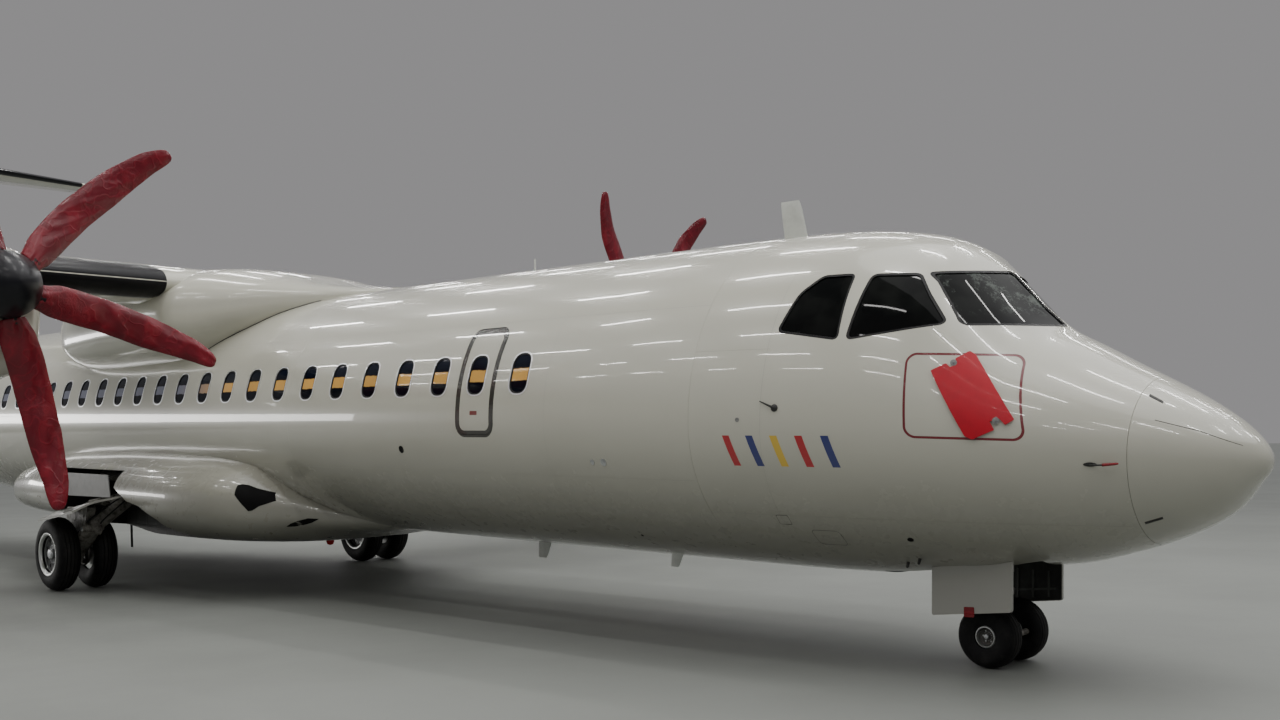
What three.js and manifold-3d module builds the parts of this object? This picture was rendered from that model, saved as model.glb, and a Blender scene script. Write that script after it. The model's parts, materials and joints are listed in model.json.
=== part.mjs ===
// A twin turboprop airliner with a high wing and a T-tail, parked on its wheels, in millimetres.
// Frame: +X forward, +Y to port, +Z up, with the origin on the ground under the middle of its length.
// The airframe is laid out on its own datum. Stations run aft from the nose tip, so x = -station,
// and heights run up from the level of the main wheels' tread. The airframe then leans a little
// nose-down, until the nose wheels stand on the same ground as the main wheels.

import * as THREE from 'three';
import { mergeVertices } from 'three/addons/utils/BufferGeometryUtils.js';
import Module from 'manifold-3d';

const wasm = await Module();
wasm.setup();
const { Manifold, Mesh: SolidMesh } = wasm;

// Driving dimensions

const SEAT_GAP = 0.3;
const MOVING_GAP = 10;
const PIN_CLEARANCE = 0.4;

const FUSELAGE_SIDES = 32;
const WHEEL_SIDES = 24;
const PIN_SIDES = 8;
const NOSE_SIDES = 16;

const RADOME_END = 640;
const NOSE_END = 3520;
const FRONT_END = 8890;
const CENTRE_END = 15700;

const CABIN_SILL = 1360;
const DOOR_THICKNESS = 90;

const WING_HALF_SPAN = 13525;
const INNER_WING_END = 4600;
const WING_LEAD = 11150;
const WING_HEIGHT = 3530;
const INNER_CHORD = 2570;
const TIP_CHORD = 1590;
const TIP_LEAD = 11600;
const INCIDENCE = THREE.MathUtils.degToRad(2);
const DIHEDRAL = THREE.MathUtils.degToRad(2.5);
const INNER_THICKNESS = 0.18;
const TIP_THICKNESS = 0.13;

const PROP_STATION = 8974;
const PROP_OUT = 4050;
const PROP_HEIGHT = 3118;
const PROP_RADIUS = 1965;
const BLADE_COUNT = 6;
const PORT_BLADE_PHASE = 2.046;
const STARBOARD_BLADE_PHASE = 0.745;
const SPINNER_RADIUS = 285;

const STABILIZER_HALF_SPAN = 3655;
const STABILIZER_HEIGHT = 7265;
const ELEVATOR_STATION = 26550;
const STABILIZER_HINGE = 0.7;

const MAIN_STATION = 12540;
const NOSE_STATION = 1770;
const NOSE_TREAD_HEIGHT = 213;
const MAIN_PAIR_OUT = 2050;
const MAIN_WHEEL_OFFSET = 210;
const MAIN_TYRE_RADIUS = 432;
const MAIN_TYRE_WIDTH = 254;
const MAIN_RIM_RADIUS = 205;
const NOSE_WHEEL_OFFSET = 200;
const NOSE_TYRE_RADIUS = 225;
const NOSE_TYRE_WIDTH = 190;
const NOSE_RIM_RADIUS = 108;

// The wheels stand on a flat of their many-sided tread
const FLAT = Math.cos(Math.PI / WHEEL_SIDES);
const MAIN_AXLE_HEIGHT = MAIN_TYRE_RADIUS * FLAT;
const NOSE_AXLE_HEIGHT = NOSE_TREAD_HEIGHT + NOSE_TYRE_RADIUS * FLAT;
const WHEELBASE = MAIN_STATION - NOSE_STATION;
const AXLE_RISE = NOSE_AXLE_HEIGHT - MAIN_AXLE_HEIGHT;
const AXLE_DROP = (MAIN_TYRE_RADIUS - NOSE_TYRE_RADIUS) * FLAT;
const AXLE_DISTANCE = Math.hypot(WHEELBASE, AXLE_RISE);
const NOSE_DOWN = Math.atan2(AXLE_RISE, WHEELBASE) + Math.asin(AXLE_DROP / AXLE_DISTANCE);
const MAIN_AXLE_X = 956;

// Finishes

const WHITE_PAINT = { color: 0xe3e2d8, roughness: 0.22, metalness: 0 };
const BLACK_PAINT = { color: 0x111214, roughness: 0.35, metalness: 0 };
const GREY_METAL = { color: 0x8d9093, roughness: 0.45, metalness: 0.7 };
const DARK_METAL = { color: 0x3b3d40, roughness: 0.5, metalness: 0.6 };
const RIM_PAINT = { color: 0xa9abaa, roughness: 0.4, metalness: 0.5 };
const DARK_GLASS = { color: 0x0d1114, roughness: 0.06, metalness: 0 };
const TYRE_RUBBER = { color: 0x18181a, roughness: 0.85, metalness: 0 };
const BLADE_FINISH = { color: 0x2a2b2e, roughness: 0.5, metalness: 0 };

// Solids

function toSolid(geometry) {
  const bare = geometry.clone();
  bare.deleteAttribute('normal');
  bare.deleteAttribute('uv');
  const merged = mergeVertices(bare, 1e-3);
  return new Manifold(new SolidMesh({
    numProp: 3,
    vertProperties: Float32Array.from(merged.attributes.position.array),
    triVerts: Uint32Array.from(merged.index.array),
  }));
}

function toGeometry(solid) {
  const mesh = solid.getMesh();
  const geometry = new THREE.BufferGeometry();
  geometry.setAttribute('position', new THREE.BufferAttribute(Float32Array.from(mesh.vertProperties), 3));
  geometry.setIndex(new THREE.BufferAttribute(Uint32Array.from(mesh.triVerts), 1));
  return geometry;
}

function union(...solids) {
  return solids.reduce((whole, next) => whole.add(next));
}

function without(solid, ...cutters) {
  return cutters.reduce((left, cutter) => left.subtract(cutter), solid);
}

function mirrored(solid) {
  const geometry = toGeometry(solid);
  geometry.applyMatrix4(new THREE.Matrix4().makeScale(1, -1, 1));
  const index = geometry.index.array;
  for (let k = 0; k < index.length; k += 3) {
    [index[k], index[k + 1]] = [index[k + 1], index[k]];
  }
  return toSolid(geometry);
}

function placed(geometry, matrix) {
  return toSolid(geometry.applyMatrix4(matrix));
}

function block([x0, x1], [y0, y1], [z0, z1], matrix = new THREE.Matrix4()) {
  const geometry = new THREE.BoxGeometry(x1 - x0, y1 - y0, z1 - z0);
  geometry.translate((x0 + x1) / 2, (y0 + y1) / 2, (z0 + z1) / 2);
  return placed(geometry, matrix);
}

// A rod along the matrix's own X axis
function rod([x0, x1], radius, matrix = new THREE.Matrix4(), sides = PIN_SIDES) {
  const geometry = new THREE.CylinderGeometry(radius, radius, x1 - x0, sides);
  geometry.rotateZ(-Math.PI / 2);
  geometry.translate((x0 + x1) / 2, 0, 0);
  return placed(geometry, matrix);
}

// A round strut from one point to another, which may taper
function strut(from, to, radius, endRadius = radius, sides = PIN_SIDES) {
  const start = new THREE.Vector3(...from);
  const end = new THREE.Vector3(...to);
  const along = end.clone().sub(start);
  const geometry = new THREE.CylinderGeometry(endRadius, radius, along.length(), sides);
  const up = new THREE.Vector3(0, 1, 0);
  geometry.applyQuaternion(new THREE.Quaternion().setFromUnitVectors(up, along.clone().normalize()));
  const middle = start.add(end).multiplyScalar(0.5);
  geometry.translate(middle.x, middle.y, middle.z);
  return toSolid(geometry);
}

// A frame whose X runs along a line and whose Y points roughly as given
function frameAlong(origin, along, sideways) {
  const x = along.clone().normalize();
  const z = x.clone().cross(sideways).normalize();
  const y = z.clone().cross(x);
  return new THREE.Matrix4().makeBasis(x, y, z).setPosition(origin);
}

// The radius whose many-sided bore still clears a round pin
function boreRadius(pinRadius) {
  return (pinRadius + PIN_CLEARANCE) / Math.cos(Math.PI / PIN_SIDES);
}

// Outlines are lists of [across, up]; offsetting moves every edge outwards by one distance
function offsetOutline(points, distance) {
  const turn = Math.sign(THREE.ShapeUtils.area(points.map(([a, b]) => new THREE.Vector2(a, b))));
  const normal = ([a0, b0], [a1, b1]) => {
    const length = Math.hypot(a1 - a0, b1 - b0);
    return [turn * (b1 - b0) / length, -turn * (a1 - a0) / length];
  };
  return points.map((point, k) => {
    const before = normal(points.at(k - 1), point);
    const after = normal(point, points[(k + 1) % points.length]);
    const scale = distance / (1 + before[0] * after[0] + before[1] * after[1]);
    return [point[0] + (before[0] + after[0]) * scale, point[1] + (before[1] + after[1]) * scale];
  });
}

function ovalOutline({ half, up, down, power = 2, sides = FUSELAGE_SIDES, across = 0, middle = 0 }) {
  const bend = (value) => Math.sign(value) * Math.abs(value) ** (2 / power);
  return Array.from({ length: sides }, (_, k) => {
    const angle = (2 * Math.PI * k) / sides;
    const sine = Math.sin(angle);
    return [across + half * bend(Math.cos(angle)), middle + (sine > 0 ? up : down) * bend(sine)];
  });
}

function roundedOutline([a0, a1], [b0, b1], radius, steps = 4) {
  const [left, right] = [a0 + radius, a1 - radius];
  const [low, high] = [b0 + radius, b1 - radius];
  const corners = [[right, high], [left, high], [left, low], [right, low]];
  return corners.flatMap(([a, b], quarter) => Array.from({ length: steps + 1 }, (_, k) => {
    const angle = (Math.PI / 2) * (quarter + k / steps);
    return [a + radius * Math.cos(angle), b + radius * Math.sin(angle)];
  }));
}

// A closed skin through rings of equal length, with a fan over each end
function loft(rings) {
  const count = rings[0].length;
  const positions = rings.flat(2);
  const index = [];
  for (let ring = 0; ring < rings.length - 1; ring += 1) {
    for (let k = 0; k < count; k += 1) {
      const a = ring * count + k;
      const b = ring * count + ((k + 1) % count);
      index.push(a, b, b + count, a, b + count, a + count);
    }
  }
  [0, rings.length - 1].forEach((ring, end) => {
    const middle = [0, 1, 2].map((axis) => {
      return rings[ring].reduce((sum, point) => sum + point[axis], 0) / count;
    });
    const centre = positions.length / 3;
    positions.push(...middle);
    for (let k = 0; k < count; k += 1) {
      const a = ring * count + k;
      const b = ring * count + ((k + 1) % count);
      index.push(...(end === 0 ? [centre, b, a] : [centre, a, b]));
    }
  });
  if (enclosedVolume(positions, index) < 0) {
    index.reverse();
  }
  const geometry = new THREE.BufferGeometry();
  geometry.setAttribute('position', new THREE.Float32BufferAttribute(positions, 3));
  geometry.setIndex(index);
  return toSolid(geometry);
}

function enclosedVolume(positions, index) {
  const corner = (k) => new THREE.Vector3().fromArray(positions, 3 * index[k]);
  let total = 0;
  for (let k = 0; k < index.length; k += 3) {
    total += corner(k).dot(corner(k + 1).cross(corner(k + 2))) / 6;
  }
  return total;
}

// A straight prism of an outline: across a wing-wise axis, or along the flight line
function sidewaysPrism(outline, [y0, y1]) {
  const shape = new THREE.Shape(outline.map(([station, z]) => new THREE.Vector2(-station, z)));
  const geometry = new THREE.ExtrudeGeometry(shape, { depth: y1 - y0, bevelEnabled: false });
  const turn = new THREE.Matrix4().makeBasis(
    new THREE.Vector3(1, 0, 0), new THREE.Vector3(0, 0, 1), new THREE.Vector3(0, -1, 0),
  );
  return placed(geometry, turn.setPosition(0, y1, 0));
}

function forwardPrism(outline, [s0, s1]) {
  const shape = new THREE.Shape(outline.map(([y, z]) => new THREE.Vector2(y, z)));
  const geometry = new THREE.ExtrudeGeometry(shape, { depth: s1 - s0, bevelEnabled: false });
  const turn = new THREE.Matrix4().makeBasis(
    new THREE.Vector3(0, 1, 0), new THREE.Vector3(0, 0, 1), new THREE.Vector3(1, 0, 0),
  );
  return placed(geometry, turn.setPosition(-s1, 0, 0));
}

// Scene

const airliner = new THREE.Group();
const airframe = new THREE.Group();
airframe.rotation.y = NOSE_DOWN;
const mainAxle = new THREE.Vector3(-MAIN_STATION, 0, MAIN_AXLE_HEIGHT);
const leaned = mainAxle.clone().applyAxisAngle(new THREE.Vector3(0, 1, 0), NOSE_DOWN);
airframe.position.set(MAIN_AXLE_X, 0, MAIN_AXLE_HEIGHT).sub(leaned);
airliner.add(airframe);

function addPiece(name, solid, finish, parent = airframe) {
  const mesh = new THREE.Mesh(toGeometry(solid), new THREE.MeshStandardMaterial(finish));
  mesh.name = name;
  parent.add(mesh);
  return mesh;
}

function addPair(name, portSolid, finish) {
  addPiece(`${name}_left`, portSolid, finish);
  addPiece(`${name}_right`, mirrored(portSolid), finish);
}

// Fuselage: station, top, bottom, half width, height of the widest point

const FUSELAGE = [
  [0, 1700, 1660, 20, 1680],
  [60, 1808, 1570, 151, 1682],
  [200, 1938, 1388, 334, 1688],
  [450, 2103, 1222, 520, 1700],
  [800, 2286, 1073, 720, 1727],
  [1220, 2505, 962, 900, 1760],
  [1330, 2553, 951, 935, 1769],
  [1720, 2943, 880, 1068, 1803],
  [1950, 3166, 866, 1127, 1821],
  [2300, 3289, 820, 1209, 1850],
  [2800, 3360, 795, 1300, 1883],
  [3400, 3385, 788, 1375, 1923],
  [4500, 3390, 788, 1432.5, 1955],
  [17500, 3390, 788, 1432.5, 1955],
  [19500, 3390, 900, 1430, 1970],
  [20500, 3388, 1030, 1410, 2020],
  [22000, 3370, 1420, 1250, 2240],
  [23800, 3290, 1960, 880, 2580],
  [25300, 3160, 2400, 480, 2780],
  [26250, 3020, 2680, 180, 2850],
];

function sectionAt(station) {
  const row = Math.max(1, FUSELAGE.findIndex(([at]) => at >= station));
  const [low, high] = [FUSELAGE[row - 1], FUSELAGE[row]];
  const part = (station - low[0]) / (high[0] - low[0]);
  const [, top, bottom, half, waist] = low.map((value, k) => value + (high[k] - value) * part);
  return { top, bottom, half, waist };
}

function fuselageLoft(from, to, grow = 0) {
  const stations = [from, ...FUSELAGE.map(([at]) => at).filter((at) => at > from && at < to), to];
  return loft(stations.map((station) => {
    const { top, bottom, half, waist } = sectionAt(station);
    const outline = ovalOutline({
      half: half + grow, up: top - waist + grow, down: waist - bottom + grow, middle: waist,
    });
    return outline.map(([y, z]) => [-station, y, z]);
  }));
}

function halfWidthAt(station, height) {
  const { top, bottom, half, waist } = sectionAt(station);
  const reach = height > waist ? top - waist : waist - bottom;
  return half * Math.sqrt(1 - ((height - waist) / reach) ** 2);
}

// Cockpit glass: outlines on one side as [station or y, height]

const GLASS_DEPTH = 25;
const WINDSHIELD = [[22, 2576], [758, 2562], [650, 2920], [22, 2958]];
const SIDE_WINDOWS = {
  side_window: [[1768, 2571], [2030, 2914], [2325, 2924], [2349, 2484]],
  rear_side_window: [[2428, 2487], [2467, 2935], [2685, 2935], [2796, 2817], [2866, 2557]],
};

// A cut plate of the skin, and the pocket that it sits in
function skinPlate(from, to, depth, makeTool, outline, rim = SEAT_GAP) {
  const skin = without(fuselageLoft(from, to), fuselageLoft(from, to, -depth));
  return {
    plate: skin.intersect(makeTool(outline)),
    pocket: without(makeTool(offsetOutline(outline, rim)), fuselageLoft(from, to, -depth - SEAT_GAP)),
  };
}

const sideTool = (outline) => sidewaysPrism(outline, [300, 1700]);
const frontTool = (outline) => forwardPrism(outline, [1250, 2060]);

// Nose wheel bay, in stations, half width and height of its roof
const NOSE_BAY = { from: 1330, to: 2560, half: 310, roof: 1420 };

function buildNose() {
  addPiece('radome', fuselageLoft(0, RADOME_END - SEAT_GAP / 2), WHITE_PAINT);
  let nose = fuselageLoft(RADOME_END + SEAT_GAP / 2, NOSE_END - SEAT_GAP / 2);
  const panes = Object.entries(SIDE_WINDOWS).map(([name, outline]) => [name, sideTool, outline]);
  panes.unshift(['windshield', frontTool, WINDSHIELD]);
  for (const [name, tool, outline] of panes) {
    const { plate, pocket } = skinPlate(RADOME_END, NOSE_END, GLASS_DEPTH, tool, outline);
    addPair(name, plate, DARK_GLASS);
    nose = without(nose, pocket, mirrored(pocket));
  }
  const { from, to, half, roof } = NOSE_BAY;
  nose = without(nose, block([-to, -from], [-half, half], [400, roof]));
  addPiece('fuselage_nose', nose, WHITE_PAINT);
}

// Hinged cabin doors: a panel of the port skin with a hinge barrel along its top or bottom edge

const BARREL_RADIUS = 35;
const SLOT_REACH = 60;
const DOOR_PIN_RADIUS = 14;
const DOOR_PIN_LENGTH = 36;
const CARGO_DOOR = { from: 3700, to: 4980, low: CABIN_SILL, high: 2890, hingeAt: 'high' };
const PASSENGER_DOOR = { from: 19700, to: 20420, low: CABIN_SILL, high: 3050, hingeAt: 'low' };

function hingedDoor(door, loftFrom, loftTo) {
  const { from, to, low, high, hingeAt } = door;
  const level = hingeAt === 'low' ? low + BARREL_RADIUS : high - BARREL_RADIUS;
  const front = new THREE.Vector3(-from, halfWidthAt(from, level) - BARREL_RADIUS, level);
  const rear = new THREE.Vector3(-to, halfWidthAt(to, level) - BARREL_RADIUS, level);
  const hinge = frameAlong(rear, front.clone().sub(rear), new THREE.Vector3(0, 1, 0));
  const width = front.distanceTo(rear);
  const reach = hingeAt === 'low' ? [0, high - level] : [low - level, 0];
  const opening = [reach[0] - MOVING_GAP, reach[1] + MOVING_GAP];
  const skin = without(fuselageLoft(loftFrom, loftTo), fuselageLoft(loftFrom, loftTo, -DOOR_THICKNESS));
  const panel = union(
    skin.intersect(block([0, width], [-900, 900], reach, hinge)),
    rod([0, width], BARREL_RADIUS, hinge, NOSE_SIDES),
    rod([-DOOR_PIN_LENGTH, width + DOOR_PIN_LENGTH], DOOR_PIN_RADIUS, hinge),
  );
  const gapAlong = [-MOVING_GAP, width + MOVING_GAP];
  const boreAlong = [-DOOR_PIN_LENGTH - MOVING_GAP, width + DOOR_PIN_LENGTH + MOVING_GAP];
  const barrelRoom = BARREL_RADIUS + MOVING_GAP;
  const doorway = union(
    block(gapAlong, [-400, 900], opening, hinge),
    block(gapAlong, [-BARREL_RADIUS, 900], [-SLOT_REACH, SLOT_REACH], hinge),
    rod(gapAlong, barrelRoom, hinge, NOSE_SIDES),
    rod(boreAlong, boreRadius(DOOR_PIN_RADIUS), hinge),
  );
  return { panel, doorway };
}

// Plug doors: rounded panels set into the skin, with no hinge of one plain motion
const PLUG_DEPTH = 60;
const PLUG_RIM = 3;
const EMERGENCY_EXIT = roundedOutline([5660, 6150], [1830, 2735], 110);
const SERVICE_DOOR = roundedOutline([19760, 20400], [CABIN_SILL, 2680], 90);

// Rooms behind the hinged doors: [from, to] stations, [low, high] y, [floor, roof]
const CARGO_BAY = { x: [3720, 4960], y: [-900, 900], z: [CABIN_SILL, 2850] };
const VESTIBULE = { x: [19720, 20400], y: [-800, 950], z: [CABIN_SILL + BARREL_RADIUS, 2980] };

function room({ x, y, z }) {
  return block([-x[1], -x[0]], y, z);
}

function buildCabin() {
  const cargo = hingedDoor(CARGO_DOOR, NOSE_END, FRONT_END);
  const exit = skinPlate(NOSE_END, FRONT_END, PLUG_DEPTH, sideTool, EMERGENCY_EXIT, PLUG_RIM);
  addPiece('cargo_door', cargo.panel, WHITE_PAINT);
  addPair('emergency_exit', exit.plate, WHITE_PAINT);
  addPiece('fuselage_front', without(
    fuselageLoft(NOSE_END + SEAT_GAP / 2, FRONT_END - SEAT_GAP / 2),
    cargo.doorway, room(CARGO_BAY), exit.pocket, mirrored(exit.pocket),
  ), WHITE_PAINT);
  const centre = fuselageLoft(FRONT_END + SEAT_GAP / 2, CENTRE_END - SEAT_GAP / 2);
  addPiece('fuselage_centre', without(centre, wingCutter()), WHITE_PAINT);
  const tailEnd = FUSELAGE.at(-1)[0];
  const passenger = hingedDoor(PASSENGER_DOOR, CENTRE_END, tailEnd);
  const service = skinPlate(CENTRE_END, tailEnd, PLUG_DEPTH, sideTool, SERVICE_DOOR, PLUG_RIM);
  addPiece('passenger_door', passenger.panel, WHITE_PAINT);
  addPiece('service_door', mirrored(service.plate), WHITE_PAINT);
  addPiece('fuselage_rear', without(
    fuselageLoft(CENTRE_END + SEAT_GAP / 2, tailEnd),
    passenger.doorway, room(VESTIBULE), mirrored(service.pocket),
  ), WHITE_PAINT);
}

// Aerofoils: [part of the chord, half thickness for a unit ratio, camber]

const FOIL_STEPS = 8;
const WING_CAMBER = 0.02;

function bowAt(part, camber) {
  return 4 * camber * part * (1 - part);
}

function foilOutline(chord, thickness, camber = 0) {
  const half = (x) => 5 * thickness * (
    0.2969 * Math.sqrt(x) - 0.126 * x - 0.3516 * x ** 2 + 0.2843 * x ** 3 - 0.1015 * x ** 4
  );
  const bow = (x) => bowAt(x, camber);
  const cuts = Array.from({ length: FOIL_STEPS + 1 }, (_, k) => {
    return (1 + Math.cos((Math.PI * k) / FOIL_STEPS)) / 2;
  });
  const upper = cuts.map((x) => [chord * x, chord * (bow(x) + half(x))]);
  const lower = cuts.slice(0, -1).reverse().map((x) => [chord * x, chord * (bow(x) - half(x))]);
  return [...upper, ...lower];
}

function wingAt(y) {
  const out = Math.max(0, (y - INNER_WING_END) / (WING_HALF_SPAN - INNER_WING_END));
  return {
    lead: WING_LEAD + (TIP_LEAD - WING_LEAD) * out,
    height: WING_HEIGHT + Math.max(0, y - INNER_WING_END) * Math.tan(DIHEDRAL),
    chord: INNER_CHORD + (TIP_CHORD - INNER_CHORD) * out,
    thickness: INNER_THICKNESS + (TIP_THICKNESS - INNER_THICKNESS) * out,
  };
}

// A point of the wing's mean line at a part of the chord
function onMeanLine(y, part) {
  const { lead, height, chord } = wingAt(y);
  const rise = chord * bowAt(part, WING_CAMBER);
  return new THREE.Vector3(
    -lead - chord * part * Math.cos(INCIDENCE) - rise * Math.sin(INCIDENCE),
    y,
    height - chord * part * Math.sin(INCIDENCE) + rise * Math.cos(INCIDENCE),
  );
}

function wingRing(y, grow = 0, shrink = 1) {
  const { lead, height, chord, thickness } = wingAt(Math.abs(y));
  const outline = offsetOutline(foilOutline(chord * shrink, thickness, WING_CAMBER), grow);
  const shift = chord * (1 - shrink) * 0.5;
  return outline.map(([aft, up]) => [
    -lead - (aft + shift) * Math.cos(INCIDENCE) - up * Math.sin(INCIDENCE),
    y,
    height - (aft + shift) * Math.sin(INCIDENCE) + up * Math.cos(INCIDENCE),
  ]);
}

// A surface that turns about a line inside its parent, with a rounded nose and a pin at each end

const SURFACE_PIN_RADIUS = 12;
const SURFACE_PIN_LENGTH = 40;

function hingedSurface(parent, start, end, noseRadius) {
  const hinge = frameAlong(start, end.clone().sub(start), new THREE.Vector3(-1, 0, 0));
  const length = start.distanceTo(end);
  const cut = [MOVING_GAP, length - MOVING_GAP];
  const blade = union(
    block(cut, [0, 4000], [-700, 700], hinge), rod(cut, noseRadius, hinge, NOSE_SIDES),
  );
  const notch = union(
    block([0, length], [0, 4000], [-700, 700], hinge),
    rod([0, length], noseRadius + MOVING_GAP, hinge, NOSE_SIDES),
  );
  const pins = rod([-SURFACE_PIN_LENGTH, length + SURFACE_PIN_LENGTH], SURFACE_PIN_RADIUS, hinge);
  const reach = SURFACE_PIN_LENGTH + MOVING_GAP;
  const bores = rod([-reach, length + reach], boreRadius(SURFACE_PIN_RADIUS), hinge);
  return { surface: union(parent.intersect(blade), pins), rest: without(parent, notch, bores) };
}

// Flaps swing about a line below the wing, on arms beside the wing's own brackets

const FLAP_PART = 0.72;
const FLAP_DROP = 300;
const FLAP_ARM = 26;
const FLAP_PIN_RADIUS = 16;
const ARM_PLACES = [0.2, 0.8];

// Outlines of the plates beside each other, as [aft of the pin, above it]
const ARM_OUTLINE = [[-26, -26], [26, -26], [420, 262], [60, 285], [-26, 26]];
const BRACKET_OUTLINE = [[-520, 250], [-420, 120], [-34, -34], [34, -34], [34, 30], [-30, 240]];

function sweptFlap(parent, y0, y1) {
  const start = onMeanLine(y0, FLAP_PART);
  const end = onMeanLine(y1, FLAP_PART);
  const along = end.clone().sub(start);
  const length = along.length();
  const front = frameAlong(start, along, new THREE.Vector3(-1, 0, 0));
  const axis = front.clone().multiply(new THREE.Matrix4().makeTranslation(0, 0, -FLAP_DROP));
  const cut = [MOVING_GAP, length - MOVING_GAP];
  let flap = parent.intersect(block(cut, [0, 2000], [-700, 700], front));
  let rest = without(parent, block([0, length], [-MOVING_GAP, 2000], [-700, 700], front));
  for (const place of ARM_PLACES) {
    const at = length * place;
    const arm = profilePlate(ARM_OUTLINE, [at, at + FLAP_ARM], axis);
    const pin = rod([at - FLAP_ARM - MOVING_GAP, at + 4], FLAP_PIN_RADIUS, axis);
    const bracket = profilePlate(BRACKET_OUTLINE, [at - FLAP_ARM - MOVING_GAP, at - MOVING_GAP], axis);
    const bore = rod([at - FLAP_ARM - 2 * MOVING_GAP, at], boreRadius(FLAP_PIN_RADIUS), axis);
    flap = union(flap, arm, pin);
    rest = without(union(rest, bracket), bore);
  }
  return { flap, rest };
}

// A plate across the matrix's X axis, with its outline as [aft, up]
function profilePlate(outline, [x0, x1], matrix) {
  const shape = new THREE.Shape(outline.map(([a, b]) => new THREE.Vector2(a, b)));
  const geometry = new THREE.ExtrudeGeometry(shape, { depth: x1 - x0, bevelEnabled: false });
  const turn = new THREE.Matrix4().makeBasis(
    new THREE.Vector3(0, 1, 0), new THREE.Vector3(0, 0, 1), new THREE.Vector3(1, 0, 0),
  ).setPosition(x0, 0, 0);
  return placed(geometry.applyMatrix4(turn), matrix);
}

const INNER_FLAP = [1680, 3480];
const OUTER_FLAP = [4680, 9330];
const AILERON = [9420, 13060];
const AILERON_PART = 0.74;
const AILERON_NOSE = 95;

function buildWing() {
  let centre = loft([-INNER_WING_END, INNER_WING_END].map((y) => wingRing(y)));
  const left = sweptFlap(centre, ...INNER_FLAP);
  addPair('inner_flap', left.flap, WHITE_PAINT);
  centre = mirrored(sweptFlap(mirrored(left.rest), ...INNER_FLAP).rest);
  addPiece('wing_centre', centre, WHITE_PAINT);
  const panel = loft([
    wingRing(INNER_WING_END + SEAT_GAP), wingRing(WING_HALF_SPAN - 300), wingRing(WING_HALF_SPAN, 0, 0.72),
  ]);
  const flapped = sweptFlap(panel, ...OUTER_FLAP);
  addPair('outer_flap', flapped.flap, WHITE_PAINT);
  const aileroned = hingedSurface(
    flapped.rest, onMeanLine(AILERON[0], AILERON_PART), onMeanLine(AILERON[1], AILERON_PART), AILERON_NOSE,
  );
  addPair('aileron', aileroned.surface, WHITE_PAINT);
  addPair('outer_wing', aileroned.rest, WHITE_PAINT);
}

// The wing as a cutter, a seat gap larger all round and open where the flaps are
function wingCutter() {
  const ring = wingRing(INNER_WING_END, SEAT_GAP);
  return loft([-1, 1].map((side) => ring.map(([x, y, z]) => [x, side * (y + MOVING_GAP), z])));
}

// Fairings: station, half width, height of the middle, up, down

const WING_FAIRING = [
  [8900, 200, 3330, 80, 200],
  [9500, 420, 3330, 130, 200],
  [10100, 800, 3300, 250, 230],
  [10400, 1080, 3260, 360, 330],
  [10800, 1330, 3210, 500, 450],
  [11250, 1640, 3150, 630, 550],
  [11900, 1660, 3100, 730, 560],
  [12800, 1660, 3080, 770, 560],
  [13900, 1600, 3060, 690, 550],
  [14800, 1300, 3100, 500, 430],
  [15600, 620, 3220, 220, 260],
];
const BELLY_FAIRING = [
  [8500, 520, 915, 60, 118],
  [8800, 760, 940, 110, 170],
  [9150, 1120, 995, 225, 262],
  [9480, 1520, 1040, 410, 385],
  [9800, 1790, 1070, 520, 455],
  [10800, 1930, 1080, 590, 515],
  [12540, 1970, 1080, 610, 540],
  [13300, 1955, 1080, 605, 470],
  [14000, 1930, 1080, 590, 430],
  [15400, 1700, 1050, 480, 390],
  [16700, 1200, 980, 280, 270],
  [17600, 660, 900, 90, 110],
];
const FAIRING_POWER = 2.7;

function fairingLoft(table) {
  return loft(table.map(([station, half, middle, up, down]) => {
    const outline = ovalOutline({ half, up, down, middle, power: FAIRING_POWER });
    return outline.map(([y, z]) => [-station, y, z]);
  }));
}

// Main wheel bay in each half of the belly fairing, with a front edge that slants forward and down
const MAIN_BAY = {
  from: 11750, to: 13450, inner: 1060, roof: 1400,
  slant: [[11750, 1210], [11610, 1150], [11430, 1070], [11130, 1020], [10830, 885], [10700, 640]],
};

function mainBay() {
  const { from, to, inner, roof, slant } = MAIN_BAY;
  const foot = [slant[slant.length - 1][0], 200];
  return sidewaysPrism([[from, roof], ...slant, foot, [to, 200], [to, roof]], [inner, 2600]);
}

function buildFairings() {
  const cabin = fuselageLoft(NOSE_END, 19000, SEAT_GAP);
  const upper = without(fairingLoft(WING_FAIRING), cabin, wingCutter(), flapRooms());
  addPiece('wing_fairing', upper, WHITE_PAINT);
  const belly = without(fairingLoft(BELLY_FAIRING), cabin);
  const portHalf = belly.intersect(block([-19000, -6000], [SEAT_GAP / 2, 2500], [0, 2500]));
  addPair('belly_fairing', without(portHalf, mainBay()), WHITE_PAINT);
}

// Room for the inner flaps to swing beside the fairing
function flapRooms() {
  const inner = INNER_FLAP[0] - MOVING_GAP;
  const port = block([-14400, -12900], [inner, 2400], [2200, 3900]);
  return union(port, mirrored(port));
}

// Nacelles: station, half width, height of the middle, up, down

const NACELLE = [
  [9150, 330, 3100, 330, 580],
  [9420, 465, 3080, 430, 710],
  [9900, 520, 3060, 470, 760],
  [10900, 545, 3050, 500, 770],
  [12000, 530, 3040, 470, 730],
  [13100, 400, 3060, 330, 540],
  [13900, 190, 3110, 180, 270],
];
const ENGINE = { from: 9480, length: 2134, width: 679, height: 838, middle: 2900 };
const EXHAUST_RADIUS = 130;
const SHAFT_RADIUS = 60;
const SHAFT_LENGTH = 160;
const PROP_BACK = 9120;

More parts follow.
